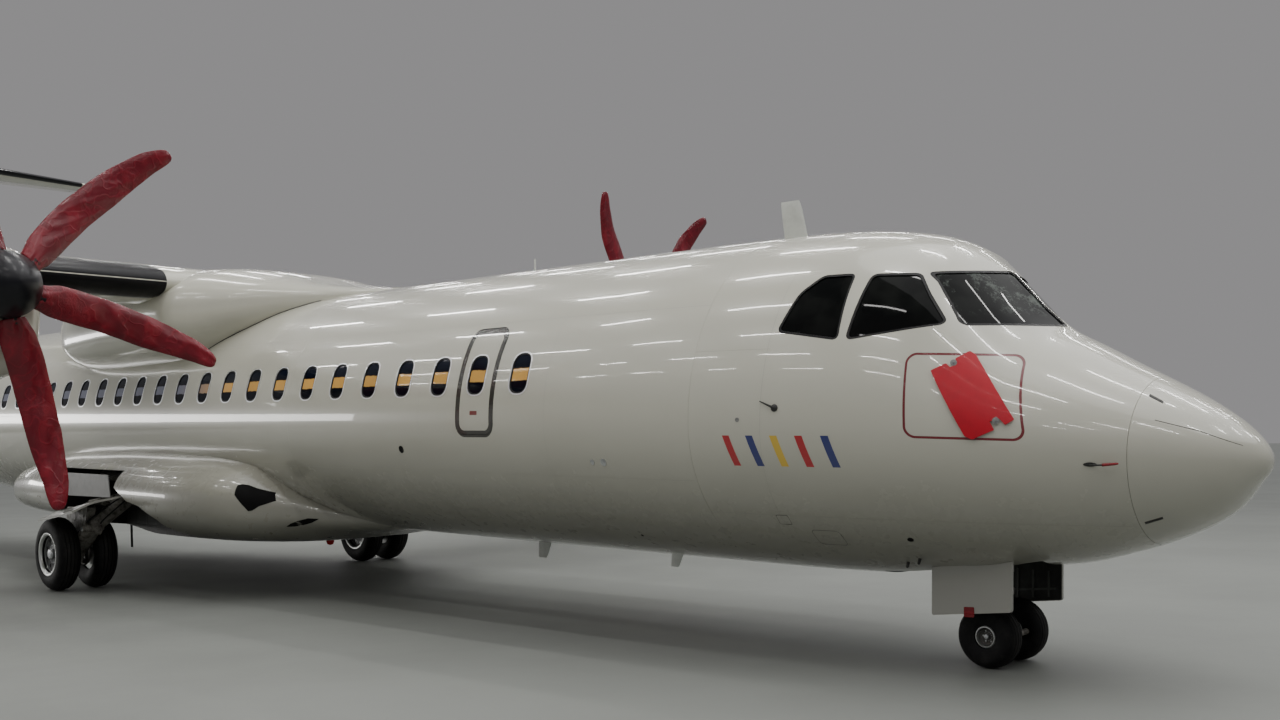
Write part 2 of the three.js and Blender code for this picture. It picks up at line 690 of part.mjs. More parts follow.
function buildNacelle() {
  const shell = loft(NACELLE.map(([station, half, middle, up, down]) => {
    const outline = ovalOutline({ half, up, down, middle, power: 3, across: PROP_OUT, sides: 24 });
    return outline.map(([y, z]) => [-station, y, z]);
  }));
  const { from, length, width, height, middle } = ENGINE;
  const span = (centre, size, grow) => [centre - size / 2 - grow, centre + size / 2 + grow];
  const engine = (grow) => block(
    [-from - length - grow, -from + grow], span(PROP_OUT, width, grow), span(middle, height, grow),
  );
  addPair('engine_block', engine(0), DARK_METAL);
  const tail = [-from - length - 500, PROP_OUT + 900, middle - 150];
  const exhaust = strut([-from - length + 200, PROP_OUT + 150, middle], tail, EXHAUST_RADIUS);
  const intake = loft([9100, 9460].map((station) => ovalOutline({
    half: 210, up: 70, down: 80, middle: PROP_HEIGHT - 440, across: PROP_OUT, sides: 16,
  }).map(([y, z]) => [-station, y, z])));
  const shaft = new THREE.Matrix4().makeTranslation(-PROP_BACK, PROP_OUT, PROP_HEIGHT);
  const shaftBore = rod([-SHAFT_LENGTH - MOVING_GAP, 100], boreRadius(SHAFT_RADIUS), shaft);
  const flapRoom = block([-14400, -12960], [PROP_OUT + 560, 4700], [2200, 3900]);
  const cutters = [engine(SEAT_GAP), exhaust, intake, shaftBore, wingCutter(), flapRoom];
  addPair('nacelle', without(shell, ...cutters), WHITE_PAINT);
}

// Propellers: each blade's radius, chord, thickness, turn from the disc's plane in degrees, and how far
// its middle is swept towards the leading edge and lies behind the hub's

const BLADE = [
  [240, 130, 110, 45, 0, 0],
  [480, 220, 62, 36, 30, 40],
  [1000, 270, 36, 20, 70, 110],
  [1400, 260, 26, 14, 65, 110],
  [1750, 190, 16, 10, 45, 50],
  [PROP_RADIUS, 100, 8, 8, 0, 0],
];
const HUB_BACK = 110;
const HUB_FRONT = 110;
const SPINNER_LENGTH = 300;
const HUB_SIDES = 24;

function bladeSolid() {
  return loft(BLADE.map(([radius, chord, thickness, turn, sweep, aft]) => {
    const angle = THREE.MathUtils.degToRad(turn);
    const outline = ovalOutline({ half: chord / 2, up: thickness / 2, down: thickness / 2, sides: 8 });
    return outline.map(([along, thick]) => [
      along * Math.sin(angle) + thick * Math.cos(angle) - aft,
      radius,
      along * Math.cos(angle) - thick * Math.sin(angle) + sweep,
    ]);
  }));
}

function propellerSolid(phase) {
  const blade = toGeometry(bladeSolid());
  const turned = (angle) => toSolid(blade.clone().rotateX(angle));
  const blades = Array.from({ length: BLADE_COUNT }, (_, k) => {
    return turned(phase + (2 * Math.PI * k) / BLADE_COUNT);
  });
  const hub = rod([-HUB_BACK, HUB_FRONT], SPINNER_RADIUS, undefined, HUB_SIDES);
  const shaft = rod([PROP_STATION - PROP_BACK - SHAFT_LENGTH, 0], SHAFT_RADIUS);
  return union(hub, shaft, ...blades);
}

function spinnerGeometry() {
  const steps = 5;
  const profile = Array.from({ length: steps + 1 }, (_, k) => {
    const part = k / steps;
    const radius = SPINNER_RADIUS * Math.sqrt(1 - part) * (1 + 0.12 * part);
    return new THREE.Vector2(radius, SPINNER_LENGTH * part);
  });
  profile.unshift(new THREE.Vector2(0, 0));
  return new THREE.LatheGeometry(profile, HUB_SIDES).rotateZ(-Math.PI / 2);
}

function buildPropellers() {
  const sides = [['left', PROP_OUT, PORT_BLADE_PHASE], ['right', -PROP_OUT, STARBOARD_BLADE_PHASE]];
  for (const [side, out, phase] of sides) {
    const propeller = addPiece(`propeller_${side}`, propellerSolid(phase), BLADE_FINISH);
    propeller.position.set(-PROP_STATION, out, PROP_HEIGHT);
    const spinner = addPiece(`spinner_${side}`, toSolid(spinnerGeometry()), BLACK_PAINT);
    spinner.position.set(-PROP_STATION + HUB_FRONT + SEAT_GAP, out, PROP_HEIGHT);
  }
}

// Tail: fin sections as height, leading station, chord and thickness ratio

const FIN = [
  [3000, 21150, 4900, 0.1],
  [7190, 24480, 2400, 0.11],
];
const DORSAL = [
  [3100, 18400, 5600, 0.035],
  [4450, 22200, 1900, 0.09],
];
const RUDDER_HINGE = [[24560, 3830], [25700, 6990]];
const RUDDER_NOSE = 175;
const ELEVATOR = [150, 3480];
const ELEVATOR_NOSE = 70;

function uprightRing([height, lead, chord, thickness], grow = 0) {
  return offsetOutline(foilOutline(chord, thickness), grow).map(([aft, out]) => [-lead - aft, out, height]);
}

function stabilizerRing(y, grow = 0, shrink = 1) {
  const chord = (2050 - 900 * (Math.abs(y) / STABILIZER_HALF_SPAN)) * shrink;
  const outline = offsetOutline(foilOutline(chord, 0.11), grow);
  const lead = ELEVATOR_STATION - STABILIZER_HINGE * chord;
  return outline.map(([aft, up]) => [-lead - aft, y, STABILIZER_HEIGHT + up]);
}

function stabilizerLoft(grow = 0) {
  const end = STABILIZER_HALF_SPAN;
  return loft([
    stabilizerRing(-end, grow, 0.75), stabilizerRing(150 - end, grow), stabilizerRing(0, grow),
    stabilizerRing(end - 150, grow), stabilizerRing(end, grow, 0.75),
  ]);
}

function buildTail() {
  const cone = fuselageLoft(17600, FUSELAGE.at(-1)[0], SEAT_GAP);
  const [tall, long] = [FIN, DORSAL].map((table) => loft(table.map((row) => uprightRing(row))));
  const fin = without(union(tall, long), cone);
  const [low, high] = RUDDER_HINGE.map(([station, z]) => new THREE.Vector3(-station, 0, z));
  const rudder = hingedSurface(fin, low, high, RUDDER_NOSE);
  addPiece('fin', without(rudder.rest, stabilizerLoft(SEAT_GAP)), WHITE_PAINT);
  addPiece('rudder', rudder.surface, WHITE_PAINT);
  const point = (y) => new THREE.Vector3(-ELEVATOR_STATION, y, STABILIZER_HEIGHT);
  const left = hingedSurface(stabilizerLoft(), point(ELEVATOR[0]), point(ELEVATOR[1]), ELEVATOR_NOSE);
  const both = hingedSurface(mirrored(left.rest), point(ELEVATOR[0]), point(ELEVATOR[1]), ELEVATOR_NOSE);
  addPair('elevator', left.surface, WHITE_PAINT);
  addPiece('stabilizer', both.rest, WHITE_PAINT);
}

// Wheels: a tyre ring on a rim, and the two rims of a pair on one axle

function tyreGeometry(radius, width, rim) {
  const half = width / 2;
  const wall = radius - rim;
  const side = [[radius, 0.55], [radius - 0.16 * wall, 0.88], [rim + 0.5 * wall, 1], [rim, 0.65]];
  const port = side.map(([r, part]) => [r, part * half]);
  const starboard = port.map(([r, out]) => [r, -out]).reverse();
  return wheelGeometry([...starboard, ...port, starboard[0]]);
}

// Turned about Y, with a flat of its many sides at the bottom
function wheelGeometry(profile) {
  const points = profile.map(([radius, out]) => new THREE.Vector2(radius, out));
  return new THREE.LatheGeometry(points, WHEEL_SIDES).rotateY(Math.PI / WHEEL_SIDES);
}

function rimPairGeometry({ rim, width, offset, axle }) {
  const seat = rim - SEAT_GAP / FLAT;
  const half = 0.56 * width * 0.5;
  const [face, dish] = [offset + half, offset + 0.4 * half];
  const port = [
    [axle, offset - half], [seat, offset - half], [seat, face], [0.82 * seat, face],
    [0.78 * seat, dish], [0.4 * seat, dish], [0.36 * seat, face], [0, face],
  ];
  const starboard = port.map(([radius, out]) => [radius, -out]).reverse();
  return wheelGeometry([...starboard, ...port]);
}

const MAIN_WHEEL = { rim: MAIN_RIM_RADIUS, width: MAIN_TYRE_WIDTH, offset: MAIN_WHEEL_OFFSET, axle: 45 };
const NOSE_WHEEL = { rim: NOSE_RIM_RADIUS, width: NOSE_TYRE_WIDTH, offset: NOSE_WHEEL_OFFSET, axle: 30 };

// The wheels stay level with the ground while the airframe leans
function addWheelPair(name, wheel, radius, centre) {
  const pair = new THREE.Group();
  pair.position.copy(centre);
  pair.rotation.y = -NOSE_DOWN;
  airframe.add(pair);
  addPiece(`${name}_wheel_rims`, toSolid(rimPairGeometry(wheel)), RIM_PAINT, pair);
  const solid = toSolid(tyreGeometry(radius, wheel.width, wheel.rim));
  for (const [side, out] of [['port', wheel.offset], ['starboard', -wheel.offset]]) {
    const tyre = addPiece(`${name}_tyre_${side}`, solid, TYRE_RUBBER, pair);
    tyre.position.y = out;
  }
}

// A frame at an axle's middle, with its X along the axle
function axleFrame([x, y, z]) {
  return frameAlong(new THREE.Vector3(x, y, z), new THREE.Vector3(0, 1, 0), new THREE.Vector3(1, 0, 0));
}

// A round bore about an axle, many-sided as the axle is
function wheelBore(hub, axle) {
  return rod([-150, 150], (axle + PIN_CLEARANCE) / FLAT, axleFrame(hub), WHEEL_SIDES);
}

// The pad under the main axle for a wheel-change jack
function jackPad([x, y, z]) {
  return block([x - 50, x + 50], [y - 50, y + 50], [z - 120, z - 60]);
}

// Main legs, on the port side: a trunnion in the bay, a raked leg and a trailing arm to the axle

function buildMainGear() {
  const x = -MAIN_STATION;
  const hub = [x, MAIN_PAIR_OUT, MAIN_AXLE_HEIGHT];
  const trunnion = new THREE.Matrix4().makeTranslation(0, 1330, 1290);
  const knee = [x + 430, MAIN_PAIR_OUT, 730];
  const shockTop = [x + 250, 1990, 1010];
  const leg = without(
    union(
      rod([-MAIN_BAY.to + SEAT_GAP, -MAIN_BAY.from - SEAT_GAP], 65, trunnion),
      strut([x + 330, 1330, 1290], knee, 85, 66),
      strut([x + 700, 1330, 1290], [x + 360, 1600, 1085], 42),
      strut(knee, hub, 62, 55),
      strut([x + 340, 1600, 1085], shockTop, 46, 40),
      strut(shockTop, [x + 140, MAIN_PAIR_OUT, 545], 46),
      ...[60, 430].map((ahead) => strut([x + 380, 1700, 980], [x + ahead, 1925, 1018], 24)),
      rod([-58, 58], 88, axleFrame(hub), 12),
      jackPad(hub),
    ),
    wheelBore(hub, MAIN_WHEEL.axle),
    legDoor(SEAT_GAP),
  );
  addPair('main_leg', leg, GREY_METAL);
  addPair('main_gear_door', legDoor(0), WHITE_PAINT);
  for (const [side, out] of [['left', MAIN_PAIR_OUT], ['right', -MAIN_PAIR_OUT]]) {
    addWheelPair(`${side}_main`, MAIN_WHEEL, MAIN_TYRE_RADIUS, new THREE.Vector3(x, out, MAIN_AXLE_HEIGHT));
  }
}

// Gear doors: a bent plate carried by each main leg, and a plate beside each side of the nose wheel bay
const DOOR_PLATE = 24;
const LEG_DOOR = { from: 11560, to: 12700, top: [[1880, 1060], [2250, 1000], [2470, 905]] };

function legDoor(grow) {
  const { from, to, top } = LEG_DOOR;
  const under = top.map(([y, z]) => [y, z - DOOR_PLATE]).reverse();
  return forwardPrism(offsetOutline([...top, ...under], grow), [from - grow, to + grow]);
}

const NOSE_DOOR = { inner: 372, outline: [[1510, 645], [2115, 568], [2115, 1100], [1510, 1100]] };

function buildNoseGear() {
  const x = -NOSE_STATION;
  const up = (z) => [x, 0, z];
  const hub = up(NOSE_AXLE_HEIGHT);
  const shaftRadius = 34;
  const shaftTop = 900;
  const braceTop = [-NOSE_BAY.from - 200, 0, NOSE_BAY.roof - 60];
  const crossBar = ([along, , height], radius) => {
    const half = NOSE_BAY.half - SEAT_GAP;
    return strut([along, -half, height], [along, half, height], radius);
  };
  const leg = without(
    union(
      strut(up(660), up(NOSE_BAY.roof - SEAT_GAP), 62),
      crossBar(up(1290), 42),
      strut([x, 0, 860], braceTop, 34),
      crossBar(braceTop, 34),
    ),
    strut(up(600), up(shaftTop + MOVING_GAP), boreRadius(shaftRadius)),
  );
  addPiece('nose_leg', leg, GREY_METAL);
  const tow = [x + 130, 0, NOSE_AXLE_HEIGHT + 10];
  const fork = without(
    union(
      strut(up(NOSE_AXLE_HEIGHT), up(shaftTop), shaftRadius),
      strut(up(NOSE_AXLE_HEIGHT), up(652), 56),
      rod([-60, 60], 56, axleFrame(hub), 12),
      strut(hub, tow, 30),
      rod([-85, 85], 22, axleFrame(tow)),
    ),
    wheelBore(hub, NOSE_WHEEL.axle),
  );
  addPiece('nose_fork', fork, GREY_METAL);
  addWheelPair('nose', NOSE_WHEEL, NOSE_TYRE_RADIUS, new THREE.Vector3(...hub));
  const { inner, outline } = NOSE_DOOR;
  const plate = sidewaysPrism(outline, [inner, inner + DOOR_PLATE]);
  addPair('nose_gear_door', without(plate, fuselageLoft(RADOME_END, NOSE_END, SEAT_GAP)), WHITE_PAINT);
}

buildNose();
buildCabin();
buildWing();
buildFairings();
buildNacelle();
buildPropellers();
buildTail();
buildMainGear();
buildNoseGear();

export default airliner;
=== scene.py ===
"""Looks of a high-wing turboprop airliner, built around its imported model.

Lengths are in metres. The airframe is drawn in its own axes: x runs forward from the nose tip, so a station
s aft of it is x = -s, y runs to port, and z runs up from the level of the main wheels' tread. The datum then
leans those axes nose-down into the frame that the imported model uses.
"""

from __future__ import annotations

import json
import logging
import math
import sys
from collections.abc import Callable, Iterable, Sequence
from dataclasses import dataclass, field
from enum import Enum

import bpy
import numpy as np
from mathutils import Matrix, Vector, noise
from mathutils.bvhtree import BVHTree


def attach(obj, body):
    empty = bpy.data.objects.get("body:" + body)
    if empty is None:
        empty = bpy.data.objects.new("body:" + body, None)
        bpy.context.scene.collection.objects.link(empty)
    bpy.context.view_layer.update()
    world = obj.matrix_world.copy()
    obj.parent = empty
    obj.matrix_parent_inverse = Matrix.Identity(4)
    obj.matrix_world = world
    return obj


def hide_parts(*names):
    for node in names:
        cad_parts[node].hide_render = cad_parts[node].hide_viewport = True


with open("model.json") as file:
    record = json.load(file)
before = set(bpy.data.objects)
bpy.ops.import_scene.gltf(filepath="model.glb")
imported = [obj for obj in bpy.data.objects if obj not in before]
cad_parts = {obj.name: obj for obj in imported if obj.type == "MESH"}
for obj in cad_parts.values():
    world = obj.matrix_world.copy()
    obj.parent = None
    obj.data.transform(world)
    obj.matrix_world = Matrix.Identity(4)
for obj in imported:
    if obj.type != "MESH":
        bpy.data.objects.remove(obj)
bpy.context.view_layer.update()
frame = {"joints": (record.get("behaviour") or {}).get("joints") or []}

log = logging.getLogger("airliner")

Point = tuple[float, float, float]
Flat = tuple[float, float]
Ring = list[Point]
Face = tuple[int, ...]
Finishes = "Finish | dict[str, Finish]"

PORT = 1
STARBOARD = -1
SIDES = ((PORT, "left"), (STARBOARD, "right"))

MAIN_STATION = 12.540
MAIN_OUT = 2.050
MAIN_X = -MAIN_STATION
NOSE_STATION = 1.770
NOSE_X = -NOSE_STATION
RADOME_END = 0.640
NOSE_END = 3.520
FRONT_END = 8.890
CENTRE_END = 15.700
TAIL_END = 26.250
CABIN_SILL = 1.360
SEAT_GAP = 0.0003
MOVING_GAP = 0.010
SMOOTH_EDGE = 32
NOSE_SIDE: Flat = (0.3, 1.7)
WINDOW_SIDE: Flat = (0.9, 1.7)
PANEL_SIDE: Flat = (0.7, 1.8)
PAST_SIDE: Flat = (0.8, 1.8)
PIN_GAP = 0.0004
AHEAD = Vector((1, 0, 0))
ABEAM = Vector((0, 1, 0))


class Body(str, Enum):
    """The rigid bodies that pieces ride on."""

    AIRFRAME = "airframe"
    FREIGHT_DOOR = "freight_door"
    ENTRY_DOOR = "entry_door"
    RUDDER = "rudder"
    STEERING = "nose_steering"
    NOSE_WHEELS = "nose_wheels"


class Slot(str, Enum):
    """The record's material slots."""

    PAINT = "white_paint"
    BLACK = "black_paint"
    GLASS = "cockpit_glass"
    GEAR = "gear_metal"
    RIM = "rim_paint"
    TYRE = "tyre_rubber"
    BLADE = "blade_composite"
    COVER = "cover_fabric"
    BOOT = "boot_rubber"
    ENGINE = "engine_metal"


def joint_named(name: str) -> dict:
    """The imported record's joint of that name."""
    return next(joint for joint in frame["joints"] if joint["name"] == name)


@dataclass(frozen=True)
class Datum:
    """The airframe's own axes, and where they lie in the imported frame."""

    turn: Matrix
    matrix: Matrix
    axle_height: float

    @classmethod
    def from_joints(cls) -> "Datum":
        """Work the datum out from the propeller shaft's lean and the port main axle.

        Returns:
            The datum.
        """
        axis = Vector(joint_named("left_propeller_shaft")["axis"])
        axle = Vector(joint_named("left_main_axle")["pos_m"])
        turn = Matrix.Rotation(math.atan2(-axis.z, axis.x), 4, "Y")
        hub = Vector((-MAIN_STATION, 0, axle.z))
        offset = Vector((axle.x, 0, axle.z)) - turn @ hub
        return cls(turn, Matrix.Translation(offset) @ turn, axle.z)


DATUM = Datum.from_joints()


class Profile:
    """Sections along a line: smooth values between the rows of a short table, without overshoot."""

    def __init__(self, rows: Sequence[Sequence[float]], rounded_start: bool = False) -> None:
        """Prepare the slopes.

        Args:
            rows: each row is a place and the values there, in rising order of place.
            rounded_start: whether the shape begins in a blunt tip at place 0.
        """
        self.rounded = rounded_start
        self.places = [self._warp(row[0]) for row in rows]
        self.values = np.array([row[1:] for row in rows], float)
        steps = np.diff(self.places)
        rises = np.diff(self.values, axis=0) / steps[:, None]
        slopes = np.zeros_like(self.values)
        slopes[0], slopes[-1] = rises[0], rises[-1]
        for k in range(1, len(rows) - 1):
            before, after = rises[k - 1], rises[k]
            agree = before * after > 0
            total = before + after
            slopes[k][agree] = (2 * before * after)[agree] / total[agree]
        self.slopes = slopes

    def _warp(self, place: float) -> float:
        """The place on a scale that makes a blunt tip round."""
        return math.sqrt(max(place, 0.0)) if self.rounded else place

    def __call__(self, place: float) -> np.ndarray:
        """The values at a place.

        Args:
            place: the place.

        Returns:
            The values there.
        """
        at = min(max(self._warp(place), self.places[0]), self.places[-1])
        k = min(int(np.searchsorted(self.places, at, "right")) - 1, len(self.places) - 2)
        width = self.places[k + 1] - self.places[k]
        t = (at - self.places[k]) / width
        low, high = self.values[k], self.values[k + 1]
        rise = high - low
        start, end = self.slopes[k] * width, self.slopes[k + 1] * width
        return low + t * start + t * t * (3 * rise - 2 * start - end) + t**3 * (start + end - 2 * rise)


def spread(start: float, end: float, count: int) -> list[float]:
    """Evenly spaced values, both ends among them."""
    return [start + (end - start) * k / (count - 1) for k in range(count)]


def oval(half: float, up: float, down: float, sides: int = 72, power: float = 2, middle: Flat = (0, 0)) -> list[Flat]:
    """A closed outline of two half ovals.

    Args:
        half: half of its width.
        up: its height above the middle.
        down: its depth below the middle.
        sides: the number of its points.
        power: 2 for an ellipse, more for a squarer one.
        middle: where its widest line is centred.

    Returns:
        The outline's points, as across and up.
    """
    points = []
    for k in range(sides):
        angle = 2 * math.pi * k / sides
        cosine, sine = math.cos(angle), math.sin(angle)
        across = math.copysign(abs(cosine) ** (2 / power), cosine)
        rise = math.copysign(abs(sine) ** (2 / power), sine)
        points.append((middle[0] + half * across, middle[1] + (up if sine > 0 else down) * rise))
    return points


def rounded(corners: Sequence[Flat], radius: float, steps: int = 5) -> list[Flat]:
    """An outline with its corners rounded by arcs.

    Args:
        corners: the sharp corners in order.
        radius: how far from each corner its curve begins.
        steps: the number of stretches in each curve.

    Returns:
        The rounded outline.
    """
    points = []
    for k, corner in enumerate(corners):
        middle = Vector(corner)
        before = (Vector(corners[k - 1]) - middle).normalized() * radius + middle
        after = (Vector(corners[(k + 1) % len(corners)]) - middle).normalized() * radius + middle
        for step in range(steps + 1):
            t = step / steps
            point = before * (1 - t) ** 2 + middle * 2 * t * (1 - t) + after * t * t
            points.append((point.x, point.y))
    return points


def window_outline(across: Flat, up: Flat, radius: float, steps: int = 6) -> list[Flat]:
    """A rectangle from one span to another with round corners."""
    corners = [(across[0], up[0]), (across[1], up[0]), (across[1], up[1]), (across[0], up[1])]
    return rounded(corners, radius, steps)


def grown(outline: Sequence[Flat], distance: float) -> list[Flat]:
    """An outline with every edge moved outwards by one distance.

    Args:
        outline: the outline.
        distance: how far its edges move.

    Returns:
        The moved outline.
    """
    count = len(outline)
    area = sum(outline[k - 1][0] * outline[k][1] - outline[k][0] * outline[k - 1][1] for k in range(count))
    turn = math.copysign(1, area)

    def normal(a: Flat, b: Flat) -> Flat:
        """The outward normal of an edge."""
        length = math.hypot(b[0] - a[0], b[1] - a[1])
        return turn * (b[1] - a[1]) / length, -turn * (b[0] - a[0]) / length

    moved = []
    for k in range(count):
        before = normal(outline[k - 1], outline[k])
        after = normal(outline[k], outline[(k + 1) % count])
        scale = distance / max(0.2, 1 + before[0] * after[0] + before[1] * after[1])
        moved.append((outline[k][0] + (before[0] + after[0]) * scale, outline[k][1] + (before[1] + after[1]) * scale))
    return moved


@dataclass(eq=False)
class Source:
    """A smooth surface that a shape was made from, with its shading normals and its tag."""

    tag: str
    points: list[Vector]
    triangles: list[Face]
    normals: list[tuple[Vector, ...]]

    def __post_init__(self) -> None:
        """Prepare the search for the nearest point."""
        self.tree = BVHTree.FromPolygons(self.points, self.triangles)

    @classmethod
    def of_mesh(cls, mesh: bpy.types.Mesh, tag: str, sharp: float) -> "Source":
        """Keep a mesh's triangles and their shading normals.

        Args:
            mesh: the mesh.
            tag: the surface's tag.
            sharp: the angle in degrees above which an edge stays sharp.

        Returns:
            The surface.
        """
        work = mesh.copy()
        work.polygons.foreach_set("use_smooth", [True] * len(work.polygons))
        work.set_sharp_from_angle(angle=math.radians(sharp))
        work.calc_loop_triangles()
        corners = [Vector(normal.vector) for normal in work.corner_normals]
        source = cls(
            tag,
            [vertex.co.copy() for vertex in work.vertices],
            [tuple(t.vertices) for t in work.loop_triangles],
            [tuple(corners[loop] for loop in t.loops) for t in work.loop_triangles],
        )
        bpy.data.meshes.remove(work)
        return source

    def mirrored(self) -> "Source":
        """The same surface on the other side of the centre line.

        Returns:
            The mirrored surface.
        """
        flip = Matrix.Scale(-1, 3, ABEAM)
        return Source(
            self.tag,
            [flip @ p for p in self.points],
            [(a, c, b) for a, b, c in self.triangles],
            [(flip @ x, flip @ z, flip @ y) for x, y, z in self.normals],
        )

    def near(self, point: Vector, normal: Vector) -> float | None:
        """How far a face is from this surface, or None where it doesn't lie along it.

        Args:
            point: the face's centre.
            normal: the face's normal.

        Returns:
            The distance, or None.
        """
        place, facing, _, distance = self.tree.find_nearest(point)
        if place is None or distance > 0.004 or abs(facing.dot(normal)) < 0.9:
            return None
        return distance

    def shading(self, point: Vector, facing: Vector) -> Vector:
        """The smooth normal at a point, on the side that a face looks to.

        Args:
            point: the point.
            facing: the face's own normal.

        Returns:
            The normal.
        """
        place, _, index, _ = self.tree.find_nearest(point)
        a, b, c = (self.points[k] for k in self.triangles[index])
        weights = barycentric(place, a, b, c)
        normal = sum((n * w for n, w in zip(self.normals[index], weights)), Vector((0, 0, 0)))
        if normal.length < 1e-6:
            return facing
        normal.normalize()
        return normal if normal.dot(facing) > 0 else -normal


def barycentric(point: Vector, a: Vector, b: Vector, c: Vector) -> Point:
    """The weights of a triangle's corners at a point on it.

    Args:
        point: the point.
        a: the first corner.
        b: the second corner.
        c: the third corner.

    Returns:
        The three weights.
    """
    u, v, w = b - a, c - a, point - a
    uu, uv, vv, wu, wv = u.dot(u), u.dot(v), v.dot(v), w.dot(u), w.dot(v)
    below = uu * vv - uv * uv
    if abs(below) < 1e-20:
        return 1.0, 0.0, 0.0
    second = (vv * wu - uv * wv) / below
    third = (uu * wv - uv * wu) / below
    return 1 - second - third, second, third


@dataclass
class Shape:
    """A closed mesh in the airframe's axes that can be joined and cut, and still shades smoothly.

    Sharp is the angle in degrees above which an edge stays sharp, and whole says that nothing was cut or joined.
    """

    mesh: bpy.types.Mesh
    sources: list[Source]
    sharp: float = SMOOTH_EDGE
    whole: bool = True

    def _combine(self, other: "Shape", operation: str) -> "Shape":
        """Join with, cut by or keep what is shared with another shape.

        Args:
            other: the other shape.
            operation: the modifier's name for it.

        Returns:
            The new shape.
        """
        holders = [bpy.data.objects.new("work", m) for m in (self.mesh, other.mesh)]
        for holder in holders:
            bpy.context.scene.collection.objects.link(holder)
        modifier = holders[0].modifiers.new("combine", "BOOLEAN")
        modifier.operation = operation
        modifier.solver = "MANIFOLD"
        modifier.object = holders[1]
        evaluated = holders[0].evaluated_get(bpy.context.evaluated_depsgraph_get())
        result = bpy.data.meshes.new_from_object(evaluated)
        for holder in holders:
            bpy.data.objects.remove(holder)
        sources = [*self.sources, *(s for s in other.sources if s not in self.sources)]
        return Shape(result, sources, self.sharp, False)

    def __add__(self, other: "Shape") -> "Shape":
        """This shape joined with another."""
        return self._combine(other, "UNION")

    def __sub__(self, other: "Shape") -> "Shape":
        """This shape with another cut out of it."""
        return self._combine(other, "DIFFERENCE")

    def __and__(self, other: "Shape") -> "Shape":
        """What this shape and another share."""
        return self._combine(other, "INTERSECT")

    def mirrored(self) -> "Shape":
        """The same shape on the other side of the centre line.

        Returns:
            The twin.
        """
        mesh = self.mesh.copy()
        mesh.transform(Matrix.Scale(-1, 4, (0, 1, 0)))
        mesh.flip_normals()
        return Shape(mesh, [source.mirrored() for source in self.sources], self.sharp, self.whole)

    def place(
        self, name: str, finishes: Finishes, slot: Slot, nodes: Iterable[str] = (), body: str = Body.AIRFRAME
    ) -> bpy.types.Object:
        """Shade the shape, dress it and hand it to the frame.

        Args:
            name: the piece's name.
            finishes: one finish, or one for each tag, of which the first also serves tags that aren't listed.
            slot: the record's slot of its main finish.
            nodes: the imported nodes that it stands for.
            body: the rigid body that it rides on.

        Returns:
            The piece's object.
        """
        by_tag = finishes if isinstance(finishes, dict) else {"skin": finishes}
        mesh = self.mesh.copy()
        mesh.name = name
        mesh.materials.clear()
        for finish in by_tag.values():
            mesh.materials.append(finish.material())
        mesh.polygons.foreach_set("use_smooth", [True] * len(mesh.polygons))
        if self.whole and len(by_tag) == 1:
            mesh.set_sharp_from_angle(angle=math.radians(self.sharp))
        else:
            self._shade(mesh, list(by_tag))
        mesh.transform(DATUM.matrix)
        piece = bpy.data.objects.new(name, mesh)
        bpy.context.scene.collection.objects.link(piece)
        return settle(piece, body, slot, nodes)

    def place_both(
        self, name: str, finishes: Finishes, slot: Slot, node: str = "", body: str = Body.AIRFRAME
    ) -> None:
        """Place the shape to port and its twin to starboard, with * for the side's word in each name.

        Args:
            name: the pieces' name.
            finishes: their finish or finishes.
            slot: the record's slot of their main finish.
            node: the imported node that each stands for, if any.
            body: the rigid body that each rides on.
        """
        for side, word in SIDES:
            here = self if side == PORT else self.mirrored()
            nodes = [node.replace("*", word)] if node else []
            here.place(name.replace("*", word), finishes, slot, nodes, body.replace("*", word))

    def _shade(self, mesh: bpy.types.Mesh, tags: Sequence[str]) -> None:
        """Give each face the finish and the smooth normals of the surface that it came from.

        Args:
            mesh: the piece's mesh.
            tags: the tags of its materials in order.
        """
        normals: list[Vector] = [Vector((0, 0, 1))] * len(mesh.loops)
        for face in mesh.polygons:
            centre, facing = face.center.copy(), face.normal.copy()
            best, nearest = None, math.inf
            for source in self.sources:
                distance = source.near(centre, facing)
                if distance is not None and distance < nearest:
                    best, nearest = source, distance
            if best is not None and best.tag in tags:
                face.material_index = tags.index(best.tag)
            for loop in face.loop_indices:
                point = mesh.vertices[mesh.loops[loop].vertex_index].co
                normal = facing
                if best is not None:
                    smooth = best.shading(point.lerp(centre, 0.03), facing)
                    normal = smooth if smooth.dot(facing) > 0.75 else facing
                normals[loop] = normal
        mesh.normals_split_custom_set([tuple(n) for n in normals])


def enclosed(mesh: bpy.types.Mesh) -> float:
    """The volume inside a closed mesh, below 0 where its faces look in.

    Args:
        mesh: the mesh.

    Returns:
        The volume.
    """
    mesh.calc_loop_triangles()
    total = 0.0
    for triangle in mesh.loop_triangles:
        a, b, c = (mesh.vertices[k].co for k in triangle.vertices)
        total += a.dot(b.cross(c)) / 6
    return total


def settle(piece: bpy.types.Object, body: str, slot: Slot, nodes: Iterable[str] = ()) -> bpy.types.Object:
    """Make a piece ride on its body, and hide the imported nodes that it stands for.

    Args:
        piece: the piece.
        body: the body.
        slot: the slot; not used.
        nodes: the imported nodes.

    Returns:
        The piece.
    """
    name = str(getattr(body, "value", body))
    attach(piece, name)
    nodes = tuple(nodes)
    if nodes:
        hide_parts(*nodes)
    log.info("%s rides on %s with %d faces", piece.name, name, len(piece.data.polygons))
    return piece


